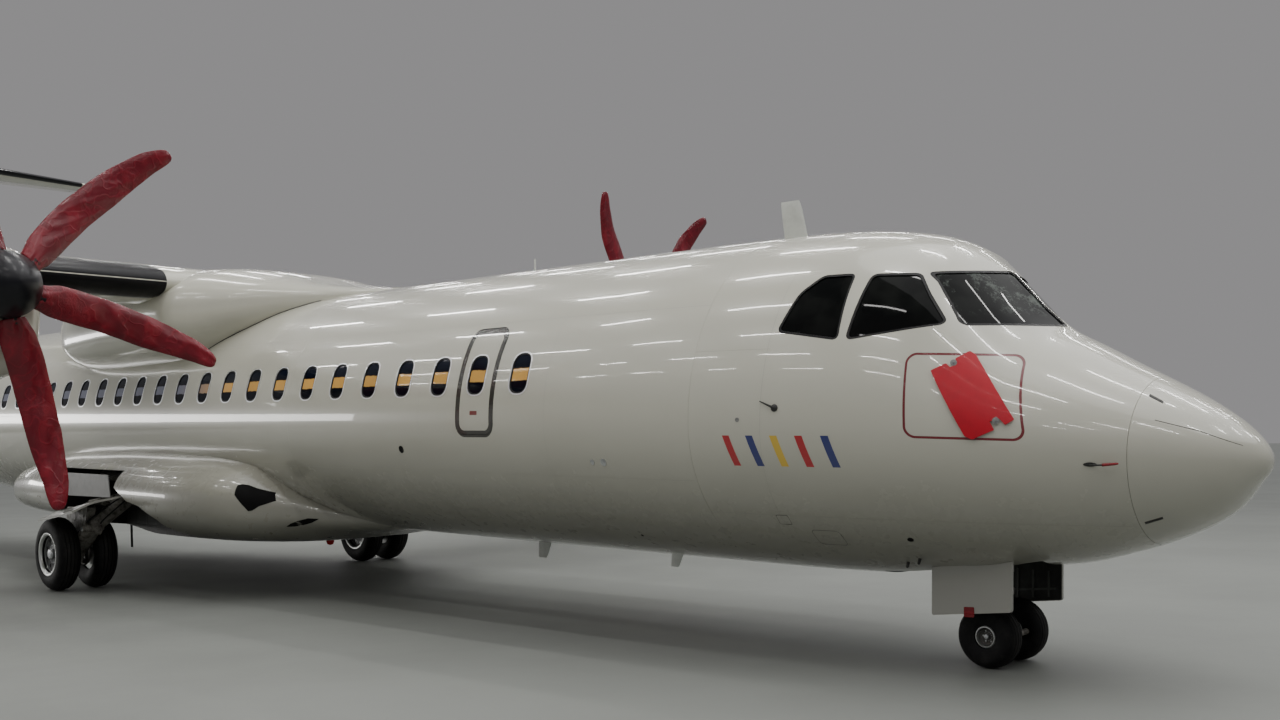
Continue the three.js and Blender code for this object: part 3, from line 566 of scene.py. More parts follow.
def solid(
    points: Sequence[Sequence[float]], faces: Sequence[Face], tag: str = "skin", sharp: float = SMOOTH_EDGE
) -> Shape:
    """A closed mesh with its faces looking out.

    Args:
        points: its points.
        faces: its faces as indices of the points.
        tag: the tag of its faces.
        sharp: the angle in degrees above which an edge stays sharp.

    Returns:
        The shape.
    """
    mesh = bpy.data.meshes.new("shape")
    mesh.from_pydata([tuple(p) for p in points], [], [tuple(f) for f in faces])
    if enclosed(mesh) < 0:
        mesh.flip_normals()
    return Shape(mesh, [Source.of_mesh(mesh, tag, sharp)], sharp)


def ring_faces(rows: int, count: int, closed: bool = False) -> list[Face]:
    """The faces between rows of points that each run round in a ring.

    Args:
        rows: the number of rows.
        count: the number of points in each.
        closed: whether the last row meets the first.

    Returns:
        The faces as indices.
    """
    faces = []
    for row in range(rows if closed else rows - 1):
        after = (row + 1) % rows
        for k in range(count):
            other = (k + 1) % count
            faces.append((row * count + k, row * count + other, after * count + other, after * count + k))
    return faces


def loft(rings: Sequence[Sequence[Sequence[float]]], tag: str = "skin", sharp: float = SMOOTH_EDGE) -> Shape:
    """A closed skin through rings of equal length, with a fan over each end.

    Args:
        rings: the rings in order.
        tag: the tag of its faces.
        sharp: the angle in degrees above which an edge stays sharp.

    Returns:
        The shape.
    """
    count = len(rings[0])
    points = [tuple(p) for ring in rings for p in ring]
    faces = ring_faces(len(rings), count)
    for row in (0, len(rings) - 1):
        centre = len(points)
        points.append(tuple(np.mean(np.array(rings[row], float), axis=0)))
        for k in range(count):
            a, b = row * count + k, row * count + (k + 1) % count
            faces.append((centre, b, a) if row == 0 else (centre, a, b))
    return solid(points, faces, tag, sharp)


def joined(shapes: Sequence[Shape]) -> Shape:
    """Shapes that don't touch, as one.

    Args:
        shapes: the shapes.

    Returns:
        The one shape.
    """
    points: list[Point] = []
    faces: list[Face] = []
    for shape in shapes:
        start = len(points)
        points += [tuple(v.co) for v in shape.mesh.vertices]
        faces += [tuple(start + k for k in face.vertices) for face in shape.mesh.polygons]
    mesh = bpy.data.meshes.new("shape")
    mesh.from_pydata(points, [], faces)
    sources = [source for shape in shapes for source in shape.sources]
    return Shape(mesh, sources, shapes[0].sharp, all(shape.whole for shape in shapes))


def prisms(
    outlines: Sequence[Sequence[Flat]], depth: Flat, spot: Callable[[float, float, float], Point], tag: str
) -> Shape:
    """Straight prisms of several flat outlines that don't touch, as one shape.

    Args:
        outlines: the outlines.
        depth: where the prisms begin and end.
        spot: turns the outline's two values and a depth into a point.
        tag: the tag of their faces.

    Returns:
        The prisms.
    """
    points: list[Point] = []
    faces: list[Face] = []
    for outline in outlines:
        start, count = len(points), len(outline)
        for at in depth:
            points += [spot(a, b, at) for a, b in outline]
        faces += [tuple(start + k for k in face) for face in ring_faces(2, count)]
        faces.append(tuple(start + k for k in reversed(range(count))))
        faces.append(tuple(start + count + k for k in range(count)))
    return solid(points, faces, tag)


def sideways(outlines: Sequence[Sequence[Flat]], depth: Flat, tag: str = "wall") -> Shape:
    """Prisms across the centre line, from outlines of station and height."""
    return prisms(outlines, depth, lambda s, z, y: (-s, y, z), tag)


def lengthways(outlines: Sequence[Sequence[Flat]], stations: Flat, tag: str = "wall") -> Shape:
    """Prisms along the flight line, from outlines of side distance and height."""
    return prisms(outlines, stations, lambda y, z, s: (-s, y, z), tag)


def axes(x: Vector, y: Vector, z: Vector, origin: Vector) -> Matrix:
    """A frame from its three axes and its origin.

    Args:
        x: the first axis.
        y: the second axis.
        z: the third axis.
        origin: the origin.

    Returns:
        The frame.
    """
    matrix = Matrix((x, y, z)).transposed().to_4x4()
    matrix.translation = origin
    return matrix


def frame_along(origin: Vector, along: Vector, sideway: Vector) -> Matrix:
    """A frame whose X runs along a line and whose Y points roughly as given.

    Args:
        origin: its origin.
        along: the line's direction.
        sideway: roughly where Y points.

    Returns:
        The frame.
    """
    x = along.normalized()
    z = x.cross(sideway).normalized()
    return axes(x, z.cross(x), z, origin)


def abeam(origin: Vector) -> Matrix:
    """A frame whose X runs to port and whose Y points forward, as an axle's."""
    return frame_along(origin, ABEAM, AHEAD)


def block(x: Flat, y: Flat, z: Flat, matrix: Matrix | None = None, tag: str = "wall") -> Shape:
    """A box between three spans of a frame's own axes.

    Args:
        x: the span along X.
        y: the span along Y.
        z: the span along Z.
        matrix: the frame, or None for the airframe's own.
        tag: the tag of its faces.

    Returns:
        The shape.
    """
    matrix = matrix or Matrix.Identity(4)
    points = [matrix @ Vector((a, b, c)) for a in x for b in y for c in z]
    faces = [(0, 1, 3, 2), (4, 6, 7, 5), (0, 4, 5, 1), (2, 3, 7, 6), (0, 2, 6, 4), (1, 5, 7, 3)]
    return solid(points, faces, tag)


def turned(
    profile: Sequence[Flat], matrix: Matrix, sides: int = 32, tag: str = "skin", closed: bool = False,
    sharp: float = SMOOTH_EDGE,
) -> Shape:
    """A solid turned about a frame's X axis.

    Args:
        profile: points as place along the axis and radius, from one end to the other.
        matrix: the frame.
        sides: the number of sides.
        tag: the tag of its faces.
        closed: whether the profile is a ring's own closed section.
        sharp: the angle in degrees above which an edge stays sharp.

    Returns:
        The solid.
    """
    points: list[Vector] = []
    for along, radius in profile:
        for k in range(sides):
            angle = 2 * math.pi * k / sides
            points.append(matrix @ Vector((along, radius * math.cos(angle), radius * math.sin(angle))))
    rows = len(profile)
    faces = ring_faces(rows, sides, closed)
    if not closed:
        faces.append(tuple(reversed(range(sides))))
        faces.append(tuple(range((rows - 1) * sides, rows * sides)))
    return solid(points, faces, tag, sharp)


def rod(span: Flat, radius: float, matrix: Matrix, sides: int = 20, tag: str = "wall") -> Shape:
    """A round rod along a frame's X axis, with its end edges eased.

    Args:
        span: where it begins and ends.
        radius: its radius.
        matrix: the frame.
        sides: its number of sides.
        tag: the tag of its faces.

    Returns:
        The shape.
    """
    start, end = span
    ease = min(radius * 0.15, 0.004, (end - start) * 0.2)
    profile = [(start, radius - ease), (start + ease, radius), (end - ease, radius), (end, radius - ease)]
    return turned(profile, matrix, sides, tag)


def strut(
    start: Sequence[float], end: Sequence[float], radius: float, end_radius: float | None = None, sides: int = 24,
    tag: str = "skin",
) -> Shape:
    """A round strut from one point to another, which may taper.

    Args:
        start: its first point.
        end: its last point.
        radius: its radius.
        end_radius: its last radius, if another.
        sides: its number of sides.
        tag: the tag of its faces.

    Returns:
        The shape.
    """
    a, b = Vector(start), Vector(end)
    sideway = ABEAM if abs((b - a).normalized().y) < 0.9 else AHEAD
    length = (b - a).length
    last = radius if end_radius is None else end_radius
    ease = min(radius, last) * 0.12
    profile = [(0, radius - ease), (ease, radius), (length - ease, last), (length, last - ease)]
    return turned(profile, frame_along(a, b - a, sideway), sides, tag)


def smooth_path(points: Sequence[Sequence[float]], steps: int = 8) -> list[Vector]:
    """A smooth curve through a few points.

    Args:
        points: the points.
        steps: the number of stretches between two points.

    Returns:
        The curve's points.
    """
    line = [Vector(p) for p in points]
    ends = [line[0] * 2 - line[1], *line, line[-1] * 2 - line[-2]]
    out = []
    for k in range(1, len(ends) - 2):
        a, b, c, d = ends[k - 1 : k + 3]
        for step in range(steps):
            t = step / steps
            out.append(
                0.5 * (2 * b + (c - a) * t + (2 * a - 5 * b + 4 * c - d) * t * t + (3 * b - a - 3 * c + d) * t**3)
            )
    out.append(line[-1])
    return out


def pipe(points: Sequence[Sequence[float]], radius: float, sides: int = 12, steps: int = 8, tag: str = "skin") -> Shape:
    """A round pipe along a smooth curve through a few points.

    Args:
        points: the points.
        radius: its radius.
        sides: its number of sides.
        steps: the number of stretches between two points.
        tag: the tag of its faces.

    Returns:
        The shape.
    """
    path = smooth_path(points, steps)
    rings = []
    side = ABEAM
    for k, point in enumerate(path):
        ahead = (path[min(k + 1, len(path) - 1)] - path[max(k - 1, 0)]).normalized()
        up = ahead.cross(side)
        if up.length < 1e-3:
            up = ahead.cross(AHEAD)
        up.normalize()
        side = up.cross(ahead).normalized()
        rings.append([
            point + radius * (math.cos(a) * side + math.sin(a) * up)
            for a in (2 * math.pi * j / sides for j in range(sides))
        ])
    return loft(rings, tag)


Number = "float | Value"


def operator(operation: str, reflected: bool = False) -> Callable[["Value", Number], "Value"]:
    """An operator that adds one Math node, with its parts turned round in the reflected form.

    Args:
        operation: the node's operation.
        reflected: whether it is the reflected form.

    Returns:
        The operator's method.
    """

    def work(value: "Value", other: Number) -> "Value":
        """The result as a value."""
        return value.math(operation, *((other, value) if reflected else (value, other)))

    return work


class Value:
    """A shader socket that takes part in sums, each of which adds its own node."""

    __add__, __radd__ = operator("ADD"), operator("ADD", True)
    __sub__, __rsub__ = operator("SUBTRACT"), operator("SUBTRACT", True)
    __mul__, __rmul__ = operator("MULTIPLY"), operator("MULTIPLY", True)
    __truediv__, __pow__ = operator("DIVIDE"), operator("POWER")
    least, most = operator("MINIMUM"), operator("MAXIMUM")

    def __init__(self, shader: "Shader", socket: bpy.types.NodeSocket) -> None:
        """Wrap a socket of a shader."""
        self.shader = shader
        self.socket = socket

    def math(self, operation: str, *parts: Number) -> "Value":
        """A Math node with these parts."""
        return self.shader.node("ShaderNodeMath", {"operation": operation}, dict(enumerate(parts)))[0]

    def __neg__(self) -> "Value":
        """The value turned about."""
        return self * -1.0

    def __abs__(self) -> "Value":
        """The value without its sign."""
        return self.math("ABSOLUTE", self)

    def saw(self, period: float) -> "Value":
        """The distance from the nearest of a row of places one period apart."""
        return abs(self.math("FRACT", self / period) - 0.5) * period

    def fade(self, start: float, end: float) -> "Value":
        """A smooth rise from 0 at one value to 1 at another, which may be the lower one.

        Args:
            start: where it is 0.
            end: where it is 1.

        Returns:
            The rise.
        """
        if start > end:
            return 1 - self.fade(end, start)
        values = {"Value": self, "From Min": start, "From Max": end}
        return self.shader.node("ShaderNodeMapRange", {"interpolation_type": "SMOOTHSTEP"}, values)[0]

    def within(self, low: float, high: float, soft: float = 0.002) -> "Value":
        """1 between two values and 0 beyond them."""
        return self.fade(low - soft, low) * self.fade(high + soft, high)

    def line(self, place: float, width: float, soft: float = 0.0015) -> "Value":
        """1 along a line at a value, and 0 beside it."""
        return abs(self - place).fade(width / 2 + soft, width / 2)


class Shader:
    """A material under construction, with the airframe's own axes at hand."""

    def __init__(self, name: str) -> None:
        """Start an empty material.

        Args:
            name: the material's name.
        """
        self.material = bpy.data.materials.new(name)
        self.material.use_nodes = True
        self.tree = self.material.node_tree
        self.tree.nodes.clear()
        self.output = self.tree.nodes.new("ShaderNodeOutputMaterial")
        self.place = self.node("ShaderNodeTexCoord")["Object"]
        self._axes: dict[str, Value] = {}

    def node(self, kind: str, settings: dict | None = None, values: dict | None = None) -> "Outputs":
        """Add a node.

        Args:
            kind: the node's type.
            settings: its settings, which are set first.
            values: numbers, colours or links for its inputs, by name or place.

        Returns:
            The node's outputs.
        """
        node = self.tree.nodes.new(kind)
        for key, value in (settings or {}).items():
            if key == "stops":
                self._set_stops(node.color_ramp, value)
            else:
                setattr(node, key, value)
        for key, value in (values or {}).items():
            socket = node.inputs[key]
            if isinstance(value, Value):
                self.tree.links.new(value.socket, socket)
            elif isinstance(value, tuple) and len(value) == 3 and socket.type == "RGBA":
                socket.default_value = (*value, 1)
            else:
                socket.default_value = value
        return Outputs(self, node)

    @staticmethod
    def _set_stops(ramp: bpy.types.ColorRamp, stops: Sequence[tuple[float, Point]]) -> None:
        """Set a colour ramp's stops.

        Args:
            ramp: the ramp.
            stops: each stop's place and colour.
        """
        while len(ramp.elements) < len(stops):
            ramp.elements.new(0.5)
        for element, (at, colour) in zip(ramp.elements, stops):
            element.position = at
            element.color = (*colour, 1)

    def axis(self, direction: Point, offset: float) -> Value:
        """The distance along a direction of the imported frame."""
        product = self.node("ShaderNodeVectorMath", {"operation": "DOT_PRODUCT"}, {0: self.place, 1: direction})
        return product["Value"] + offset

    @property
    def station(self) -> Value:
        """How far aft of the nose tip a point is."""
        return self._air("station", 0, -1)

    @property
    def side(self) -> Value:
        """How far to port a point is."""
        return self._air("side", 1, 1)

    @property
    def height(self) -> Value:
        """How far above the wheels' tread a point is."""
        return self._air("height", 2, 1)

    def _air(self, name: str, index: int, sign: float) -> Value:
        """One of the airframe's own coordinates.

        Args:
            name: its name.
            index: its axis.
            sign: the axis's direction.

        Returns:
            The coordinate.
        """
        if name not in self._axes:
            column = DATUM.matrix.col[index].to_3d() * sign
            self._axes[name] = self.axis(tuple(column), -column.dot(DATUM.matrix.translation))
        return self._axes[name]

    def stretched(self, scale: Point) -> Value:
        """The place with each axis scaled, for streaky noise."""
        return self.node("ShaderNodeVectorMath", {"operation": "MULTIPLY"}, {0: self.place, 1: scale})[0]

    def noise(self, scale: float, detail: float = 2, rough: float = 0.5, place: Value | None = None) -> Value:
        """Cloudy noise about 0.5."""
        values = {"Vector": place or self.place, "Scale": scale, "Detail": detail, "Roughness": rough}
        return self.node("ShaderNodeTexNoise", {}, values)[0]

    def mix(self, factor: Number, a: Value | Point, b: Value | Point) -> Value:
        """A colour between two colours."""
        return self.node("ShaderNodeMix", {"data_type": "RGBA"}, {0: factor, 6: a, 7: b})[2]

    def shade(self, colour: Value | Point, factor: Value) -> Value:
        """A colour made darker or lighter by a factor.

        Args:
            colour: the colour.
            factor: the factor.

        Returns:
            The changed colour.
        """
        settings = {"data_type": "RGBA", "blend_type": "MULTIPLY"}
        grey = self.node("ShaderNodeCombineColor", {}, {0: factor, 1: factor, 2: factor})[0]
        return self.node("ShaderNodeMix", settings, {0: 1.0, 6: colour, 7: grey})[2]

    def bump(self, height: Value, depth: float, strength: float = 1.0, over: Value | None = None) -> Value:
        """Normals that follow a height in parts of a depth in metres.

        Args:
            height: the height.
            depth: the depth.
            strength: the strength.
            over: the normals below it, if any.

        Returns:
            The normals.
        """
        values = {"Height": height, "Distance": depth, "Strength": strength}
        if over is not None:
            values["Normal"] = over
        return self.node("ShaderNodeBump", {}, values)[0]

    def surface(self, **values: Number | Point) -> None:
        """Finish the material with a Principled shader, whose inputs are named with underscores for spaces.

        Args:
            values: the inputs' values or links.
        """
        inputs = {key.replace("_", " "): value for key, value in values.items()}
        shader = self.node("ShaderNodeBsdfPrincipled", {}, inputs)
        self.tree.links.new(shader[0].socket, self.output.inputs["Surface"])


class Outputs:
    """The outputs of one node, by name or place."""

    def __init__(self, shader: Shader, node: bpy.types.Node) -> None:
        """Keep the node."""
        self.shader = shader
        self.node = node

    def __getitem__(self, key: int | str) -> Value:
        """One output as a value."""
        return Value(self.shader, self.node.outputs[key])


def combined(masks: Iterable[Value]) -> Value | None:
    """The largest of several masks, or None where there are none.

    Args:
        masks: the masks.

    Returns:
        The mask, or None.
    """
    total = None
    for mask in masks:
        total = mask if total is None else total.most(mask)
    return total


@dataclass(frozen=True)
class Finish:
    """A finish, whose material is made once."""

    name: str

    def material(self) -> bpy.types.Material:
        """The finish's material.

        Returns:
            The material.
        """
        known = bpy.data.materials.get(self.name)
        if known is not None:
            return known
        shader = Shader(self.name)
        self.dress(shader)
        return shader.material

    def dress(self, shader: Shader) -> None:
        """Add the finish's own nodes."""
        raise NotImplementedError


@dataclass(frozen=True)
class Seam:
    """A straight joint between skin panels.

    Across is the coordinate that stays the same along it: station, side or height. The joint runs between the
    start and end of the other coordinate.
    """

    across: str
    at: float
    along: str
    start: float
    end: float
    width: float = 0.0018


@dataclass(frozen=True)
class Outline:
    """A rounded rectangular line on the skin, about a middle, in station and height."""

    station: Flat
    height: Flat
    radius: float
    width: float
    side: int
    colour: Point
    filled: bool = False
    tilt: float = 0.0
    lean: float = 0.0
    taper: float = 0.0


@dataclass(frozen=True)
class AirframePaint(Finish):
    """Glossy off-white paint over riveted panels, with grime and painted shade low down."""

    seams: tuple[Seam, ...] = ()
    outlines: tuple[Outline, ...] = ()
    stripes: bool = False
    colour: Point = (0.60, 0.592, 0.505)
    roughness: float = 0.2
    grime: float = 1.0
    # how far the painted shade darkens the paint low down
    shade: float = 0.5
    rivet_pitch: float = 0.028
    rivet_reach: float = 0.016

    def dress(self, shader: Shader) -> None:
        """Panels, rivets, marks and grime, and painted shade that darkens the paint low down.

        Args:
            shader: the material under construction.
        """
        coordinates = {"station": shader.station, "side": shader.side, "height": shader.height}
        joints, rivets = [], []
        for seam in self.seams:
            across = coordinates[seam.across]
            along = coordinates[seam.along]
            reach = along.within(seam.start, seam.end)
            joints.append(across.line(seam.at, seam.width) * reach)
            row = abs(abs(across - seam.at) - self.rivet_reach)
            distance = (row * row + along.saw(self.rivet_pitch) ** 2) ** 0.5
            rivets.append(distance.fade(0.0032, 0.0022) * reach)
        joint = combined(joints)
        rivet = combined(rivets)
        mottle = shader.noise(1.3, 4, 0.6)
        streaks = shader.noise(1.4, 4, 0.55, shader.stretched((0.4, 1.0, 1.0)))
        # rises towards the belly: it adds grime and roughness there, and sets the painted shade
        low = shader.height.fade(2.3, 0.8)
        dirt = (low * 0.16 + 0.03) * streaks.fade(0.25, 0.8) * self.grime
        colour: Value | Point = shader.mix(mottle.fade(0.35, 0.7) * 0.2, self.colour, shade_of(self.colour, 0.94))
        colour = shader.mix(dirt, colour, (0.20, 0.19, 0.14))
        # painted shade: the paint darkens towards the belly, where it lies in shade above the floor
        colour = shader.shade(colour, 1 - low * self.shade)
        for outline in self.outlines:
            colour = self._draw(shader, colour, outline)
        if self.stripes:
            colour = self._slim_stripes(shader, colour)
        height = mottle * 0.12
        rough: Value = shader.noise(9, 3) * 0.07 + (self.roughness + low * 0.05)
        if joint is not None:
            colour = shader.mix(joint * 0.34, colour, (0.09, 0.09, 0.08))
            height = height - joint * 0.4
            rough = rough + joint * 0.2
        if rivet is not None:
            colour = shader.mix(rivet * 0.09, colour, (0.16, 0.155, 0.13))
            height = height + rivet * 0.2
        orange_peel = shader.noise(260, 1) * 0.012
        bump = shader.bump(height + orange_peel, 0.0018, 0.8)
        shader.surface(
            Base_Color=colour, Roughness=rough, Normal=bump, Coat_Weight=0.75, Coat_Roughness=0.02, Metallic=0.0
        )

    def _draw(self, shader: Shader, colour: Value | Point, outline: Outline) -> Value:
        """Draw one rounded outline or patch.

        Args:
            shader: the material under construction.
            colour: the colour before it.
            outline: the outline.

        Returns:
            The colour with it.
        """
        middle = (sum(outline.station) / 2, sum(outline.height) / 2)
        half = (abs(outline.station[1] - outline.station[0]) / 2, abs(outline.height[1] - outline.height[0]) / 2)
        right, up = shader.station - middle[0], shader.height - middle[1]
        if outline.lean or outline.taper:
            right = (right - up * outline.lean) / (1 - up * outline.taper)
        if outline.tilt:
            up = up - right * outline.tilt
        past = (abs(right) - (half[0] - outline.radius), abs(up) - (half[1] - outline.radius))
        beyond = (past[0].most(0.0), past[1].most(0.0))
        inner = past[0].most(past[1]).least(0.0)
        distance = (beyond[0] * beyond[0] + beyond[1] * beyond[1]) ** 0.5 + inner - outline.radius
        edge = outline.width / 2
        mask = distance.fade(0.0015, 0.0) if outline.filled else abs(distance + edge).fade(edge + 0.0015, edge)
        if outline.side:
            mask = mask * (shader.side * outline.side).fade(0.1, 0.2)
        return shader.mix(mask, colour, outline.colour)

    def _slim_stripes(self, shader: Shader, colour: Value | Point) -> Value:
        """Slanted generic stripes below the flight deck windows.

        Args:
            shader: the material under construction.
            colour: the colour before it.

        Returns:
            The colour with them.
        """
        reach = shader.height.within(1.62, 1.83) * (-shader.side).fade(0.3, 0.4)
        slanted = shader.station - shader.height * 0.35
        red, blue, amber = (0.42, 0.012, 0.02), (0.02, 0.03, 0.16), (0.62, 0.42, 0.05)
        for tint, at in ((red, 2.56), (blue, 2.37), (amber, 2.18), (red, 1.99), (blue, 1.80)):
            colour = shader.mix(slanted.line(at, 0.055) * reach, colour, tint)
        return colour


def shade_of(colour: Point, factor: float) -> Point:
    """A colour times a factor."""
    return colour[0] * factor, colour[1] * factor, colour[2] * factor


@dataclass(frozen=True)
class MouldedRubber(Finish):
    """Black rubber with a fine grain, as on seals, hoses and de-icing boots."""

    colour: Point = (0.012, 0.012, 0.013)
    roughness: float = 0.55
    dust: float = 0.25
    ribs: float = 0.0
    gloss: float = 0.0

    def dress(self, shader: Shader) -> None:
        """Grain, dust and the boot's inflating ribs.

        Args:
            shader: the material under construction.
        """
        dust = shader.noise(7, 5, 0.65).fade(0.45, 0.8) * self.dust
        fine = shader.noise(240, 2)
        colour = shader.mix(dust, self.colour, (0.13, 0.12, 0.105))
        height = fine * 0.3
        if self.ribs:
            height = height + shader.side.saw(self.ribs).fade(0.0, self.ribs / 2) * 0.8
        rough = shader.noise(20, 3) * 0.15 + (self.roughness - 0.05)
        bump = shader.bump(height, 0.0012, 0.6)
        shader.surface(
            Base_Color=colour, Roughness=rough, Normal=bump, Coat_Weight=self.gloss, Coat_Roughness=0.1,
            Specular_IOR_Level=0.25,
        )


@dataclass(frozen=True)
class TyreRubber(Finish):
    """Tyre rubber whose worn tread is greyer than its sides."""

    hub: Point
    radius: float

    def dress(self, shader: Shader) -> None:
        """Wear by the distance from the axle, moulded rings on the sides, and dust.

        Args:
            shader: the material under construction.
        """
        right = shader.axis((1, 0, 0), -self.hub[0])
        up = shader.axis((0, 0, 1), -self.hub[2])
        radius = (right * right + up * up) ** 0.5
        worn = radius.fade(self.radius * 0.93, self.radius * 0.985)
        rings = radius.saw(self.radius * 0.045).fade(0.0, 0.004)
        dust = shader.noise(11, 5, 0.7).fade(0.42, 0.8)
        colour = shader.mix(dust * 0.22 + worn * 0.16, (0.004, 0.004, 0.0045), (0.06, 0.057, 0.052))
        scuffs = shader.noise(40, 4, 0.7, shader.stretched((1, 6, 1)))
        height = rings * (1 - worn) * 0.5 + scuffs * worn * 0.4 + shader.noise(320, 1) * 0.2
        rough = shader.noise(18, 3) * 0.2 + 0.52
        shader.surface(
            Base_Color=colour, Roughness=rough, Normal=shader.bump(height, 0.002, 0.7), Specular_IOR_Level=0.22
        )


@dataclass(frozen=True)
class CastMetal(Finish):
    """Painted or bare castings, rims, struts and brackets, with oil and wear."""

    colour: Point = (0.42, 0.42, 0.4)
    soil: Point = (0.06, 0.05, 0.04)
    metallic: float = 0.0
    roughness: float = 0.42
    soiling: float = 0.5
    grain: float = 130

    def dress(self, shader: Shader) -> None:
        """Cast grain, soil in patches and worn bright spots.

        Args:
            shader: the material under construction.
        """
        soil = shader.noise(14, 6, 0.68).fade(0.42, 0.68) * self.soiling
        drops = shader.noise(60, 4, 0.7).fade(0.6, 0.72) * self.soiling * 0.6
        chips = shader.noise(85, 3, 0.6).fade(0.7, 0.76) * 0.5
        colour = shader.mix(soil.most(drops), self.colour, self.soil)
        colour = shader.mix(chips, colour, (0.55, 0.54, 0.52))
        rough = shader.noise(25, 4) * 0.25 + (self.roughness - 0.12) + soil * 0.15
        height = shader.noise(self.grain, 3) * 0.5 + shader.noise(22, 3) * 0.5
        shader.surface(
            Base_Color=colour, Roughness=rough, Metallic=self.metallic, Normal=shader.bump(height, 0.0008, 0.5)
        )


@dataclass(frozen=True)
class BrightMetal(Finish):
    """Polished or brushed metal."""

    colour: Point = (0.68, 0.68, 0.68)
    roughness: float = 0.18
    brushed: float = 0.3

    def dress(self, shader: Shader) -> None:
        """Fine brushed lines and smears.

        Args:
            shader: the material under construction.
        """
        smears = shader.noise(18, 4, 0.6)
        lines = shader.noise(120, 2, 0.5, shader.stretched((1, 14, 1)))
        colour = shader.mix(smears.fade(0.45, 0.8) * 0.35, self.colour, shade_of(self.colour, 0.6))
        rough = smears * 0.2 + lines * self.brushed * 0.2 + (self.roughness - 0.08)
        shader.surface(
            Base_Color=colour, Roughness=rough, Metallic=1.0, Normal=shader.bump(lines, 0.0003, self.brushed)
        )


@dataclass(frozen=True)
class CabinGlass(Finish):
    """A cabin window: dark panes, with the lit cabin painted as a soft orange band across the middle, which glows."""

    middle: float = 2.333

    def dress(self, shader: Shader) -> None:
        """The band fades towards the tail, and each pane differs a little.

        Args:
            shader: the material under construction.
        """
        panes = shader.noise(1.7, 1, 0.5, shader.stretched((1, 0, 0)))
        rise = shader.height - self.middle
        wobble = (shader.noise(14, 2) - 0.5) * 0.02
        band = (rise + wobble).within(-0.056, 0.034, 0.010)
        near = shader.station.fade(11.4, 9.9)
        light = shader.mix(near, (0.13, 0.135, 0.17), (0.50, 0.28, 0.075))
        above = rise.fade(0.03, 0.12)
        dark = shader.mix(above, (0.004, 0.005, 0.010), (0.008, 0.011, 0.022))
        strength = band * (panes * 0.6 + 0.55)
        colour = shader.mix(strength.least(1.0), dark, light)
        # painted light: the band glows by emission, standing in for light from the cabin
        glow = shader.mix(strength.least(1.0), (0.0, 0.0, 0.0), light)
        rough = shader.noise(30, 2) * 0.04 + 0.04
        shader.surface(
            Base_Color=colour, Roughness=rough, Emission_Color=glow, Emission_Strength=0.45,
            Specular_IOR_Level=0.12,
        )


@dataclass(frozen=True)
class FlightDeckGlass(Finish):
    """Windscreen glass in front of a dark flight deck."""

    # whether the glass carries a painted glare of reflected light
    bright: bool = False

    def dress(self, shader: Shader) -> None:
        """Dim shapes of the flight deck behind the glass, with a painted glare of reflected light high up.

        Args:
            shader: the material under construction.
        """
        shapes = shader.noise(2.6, 3, 0.55).fade(0.42, 0.66)
        low = shader.height.fade(2.72, 2.55)
        deck = shader.mix(shapes, (0.002, 0.0025, 0.0025), (0.010, 0.011, 0.010))
        if self.bright:
            # painted reflection: pale sheets of glare high up on the glass
            painted_glare = shader.noise(4, 6, 0.85).fade(0.50, 0.62) * shader.height.fade(2.61, 2.69)
            deck = shader.mix(painted_glare * 0.7, deck, (0.12, 0.14, 0.125))
        colour = shader.mix(low * 0.5, deck, (0.004, 0.004, 0.004))
        rough = shader.noise(14, 2) * 0.03 + 0.02
        shader.surface(Base_Color=colour, Roughness=rough, Specular_IOR_Level=0.1)


@dataclass(frozen=True)
class CoverCloth(Finish):
    """Coated crimson cloth with a fine weave, with painted highlights on its folds and painted shade in broad patches.
    """

    colour: Point = (0.135, 0.0035, 0.012)
    # a lit copy of the cloth's colour, for its painted highlights
    light: Point = (0.235, 0.008, 0.020)

    def dress(self, shader: Shader) -> None:
        """Weave, broad folds and tight creases here and there, with painted highlights on the folds and creases and
        painted shade in broad patches.

        Args:
            shader: the material under construction.
        """
        shade_patches = shader.noise(2.0, 1, 0.5)
        folds = shader.noise(4.5, 1, 0.5, shader.stretched((1.0, 1.6, 0.9)))
        ridge = 1 - abs(shader.noise(7, 1, 0.5) - 0.5).fade(0.0, 0.05)
        crumpled = shader.noise(2.6, 1).fade(0.55, 0.68)
        crinkle = (1 - abs(shader.noise(24, 3, 0.6) - 0.5).fade(0.0, 0.09)) * crumpled
        # painted highlight: the cloth is lighter on its raised folds
        colour = shader.mix(folds.fade(0.42, 0.70) * 0.6, self.colour, self.light)
        # painted shade: broad patches darken towards a shaded copy of the colour
        colour = shader.mix(shade_patches.fade(0.5, 0.75) * 0.45, colour, shade_of(self.colour, 0.5))
        # painted highlight: ridges and crinkles lighter still
        colour = shader.mix(ridge * 0.22 + crinkle * 0.2, colour, shade_of(self.light, 1.4))
        height = folds * 0.9 + ridge * 0.14 + crinkle * 0.09 + shader.noise(600, 1) * 0.012
        rough = crumpled * 0.12 + 0.25
        shader.surface(
            Base_Color=colour, Roughness=rough, Normal=shader.bump(height, 0.020, 0.6), Sheen_Weight=0.0,
            Specular_IOR_Level=0.40, Coat_Weight=0.10, Coat_Roughness=0.16,
        )


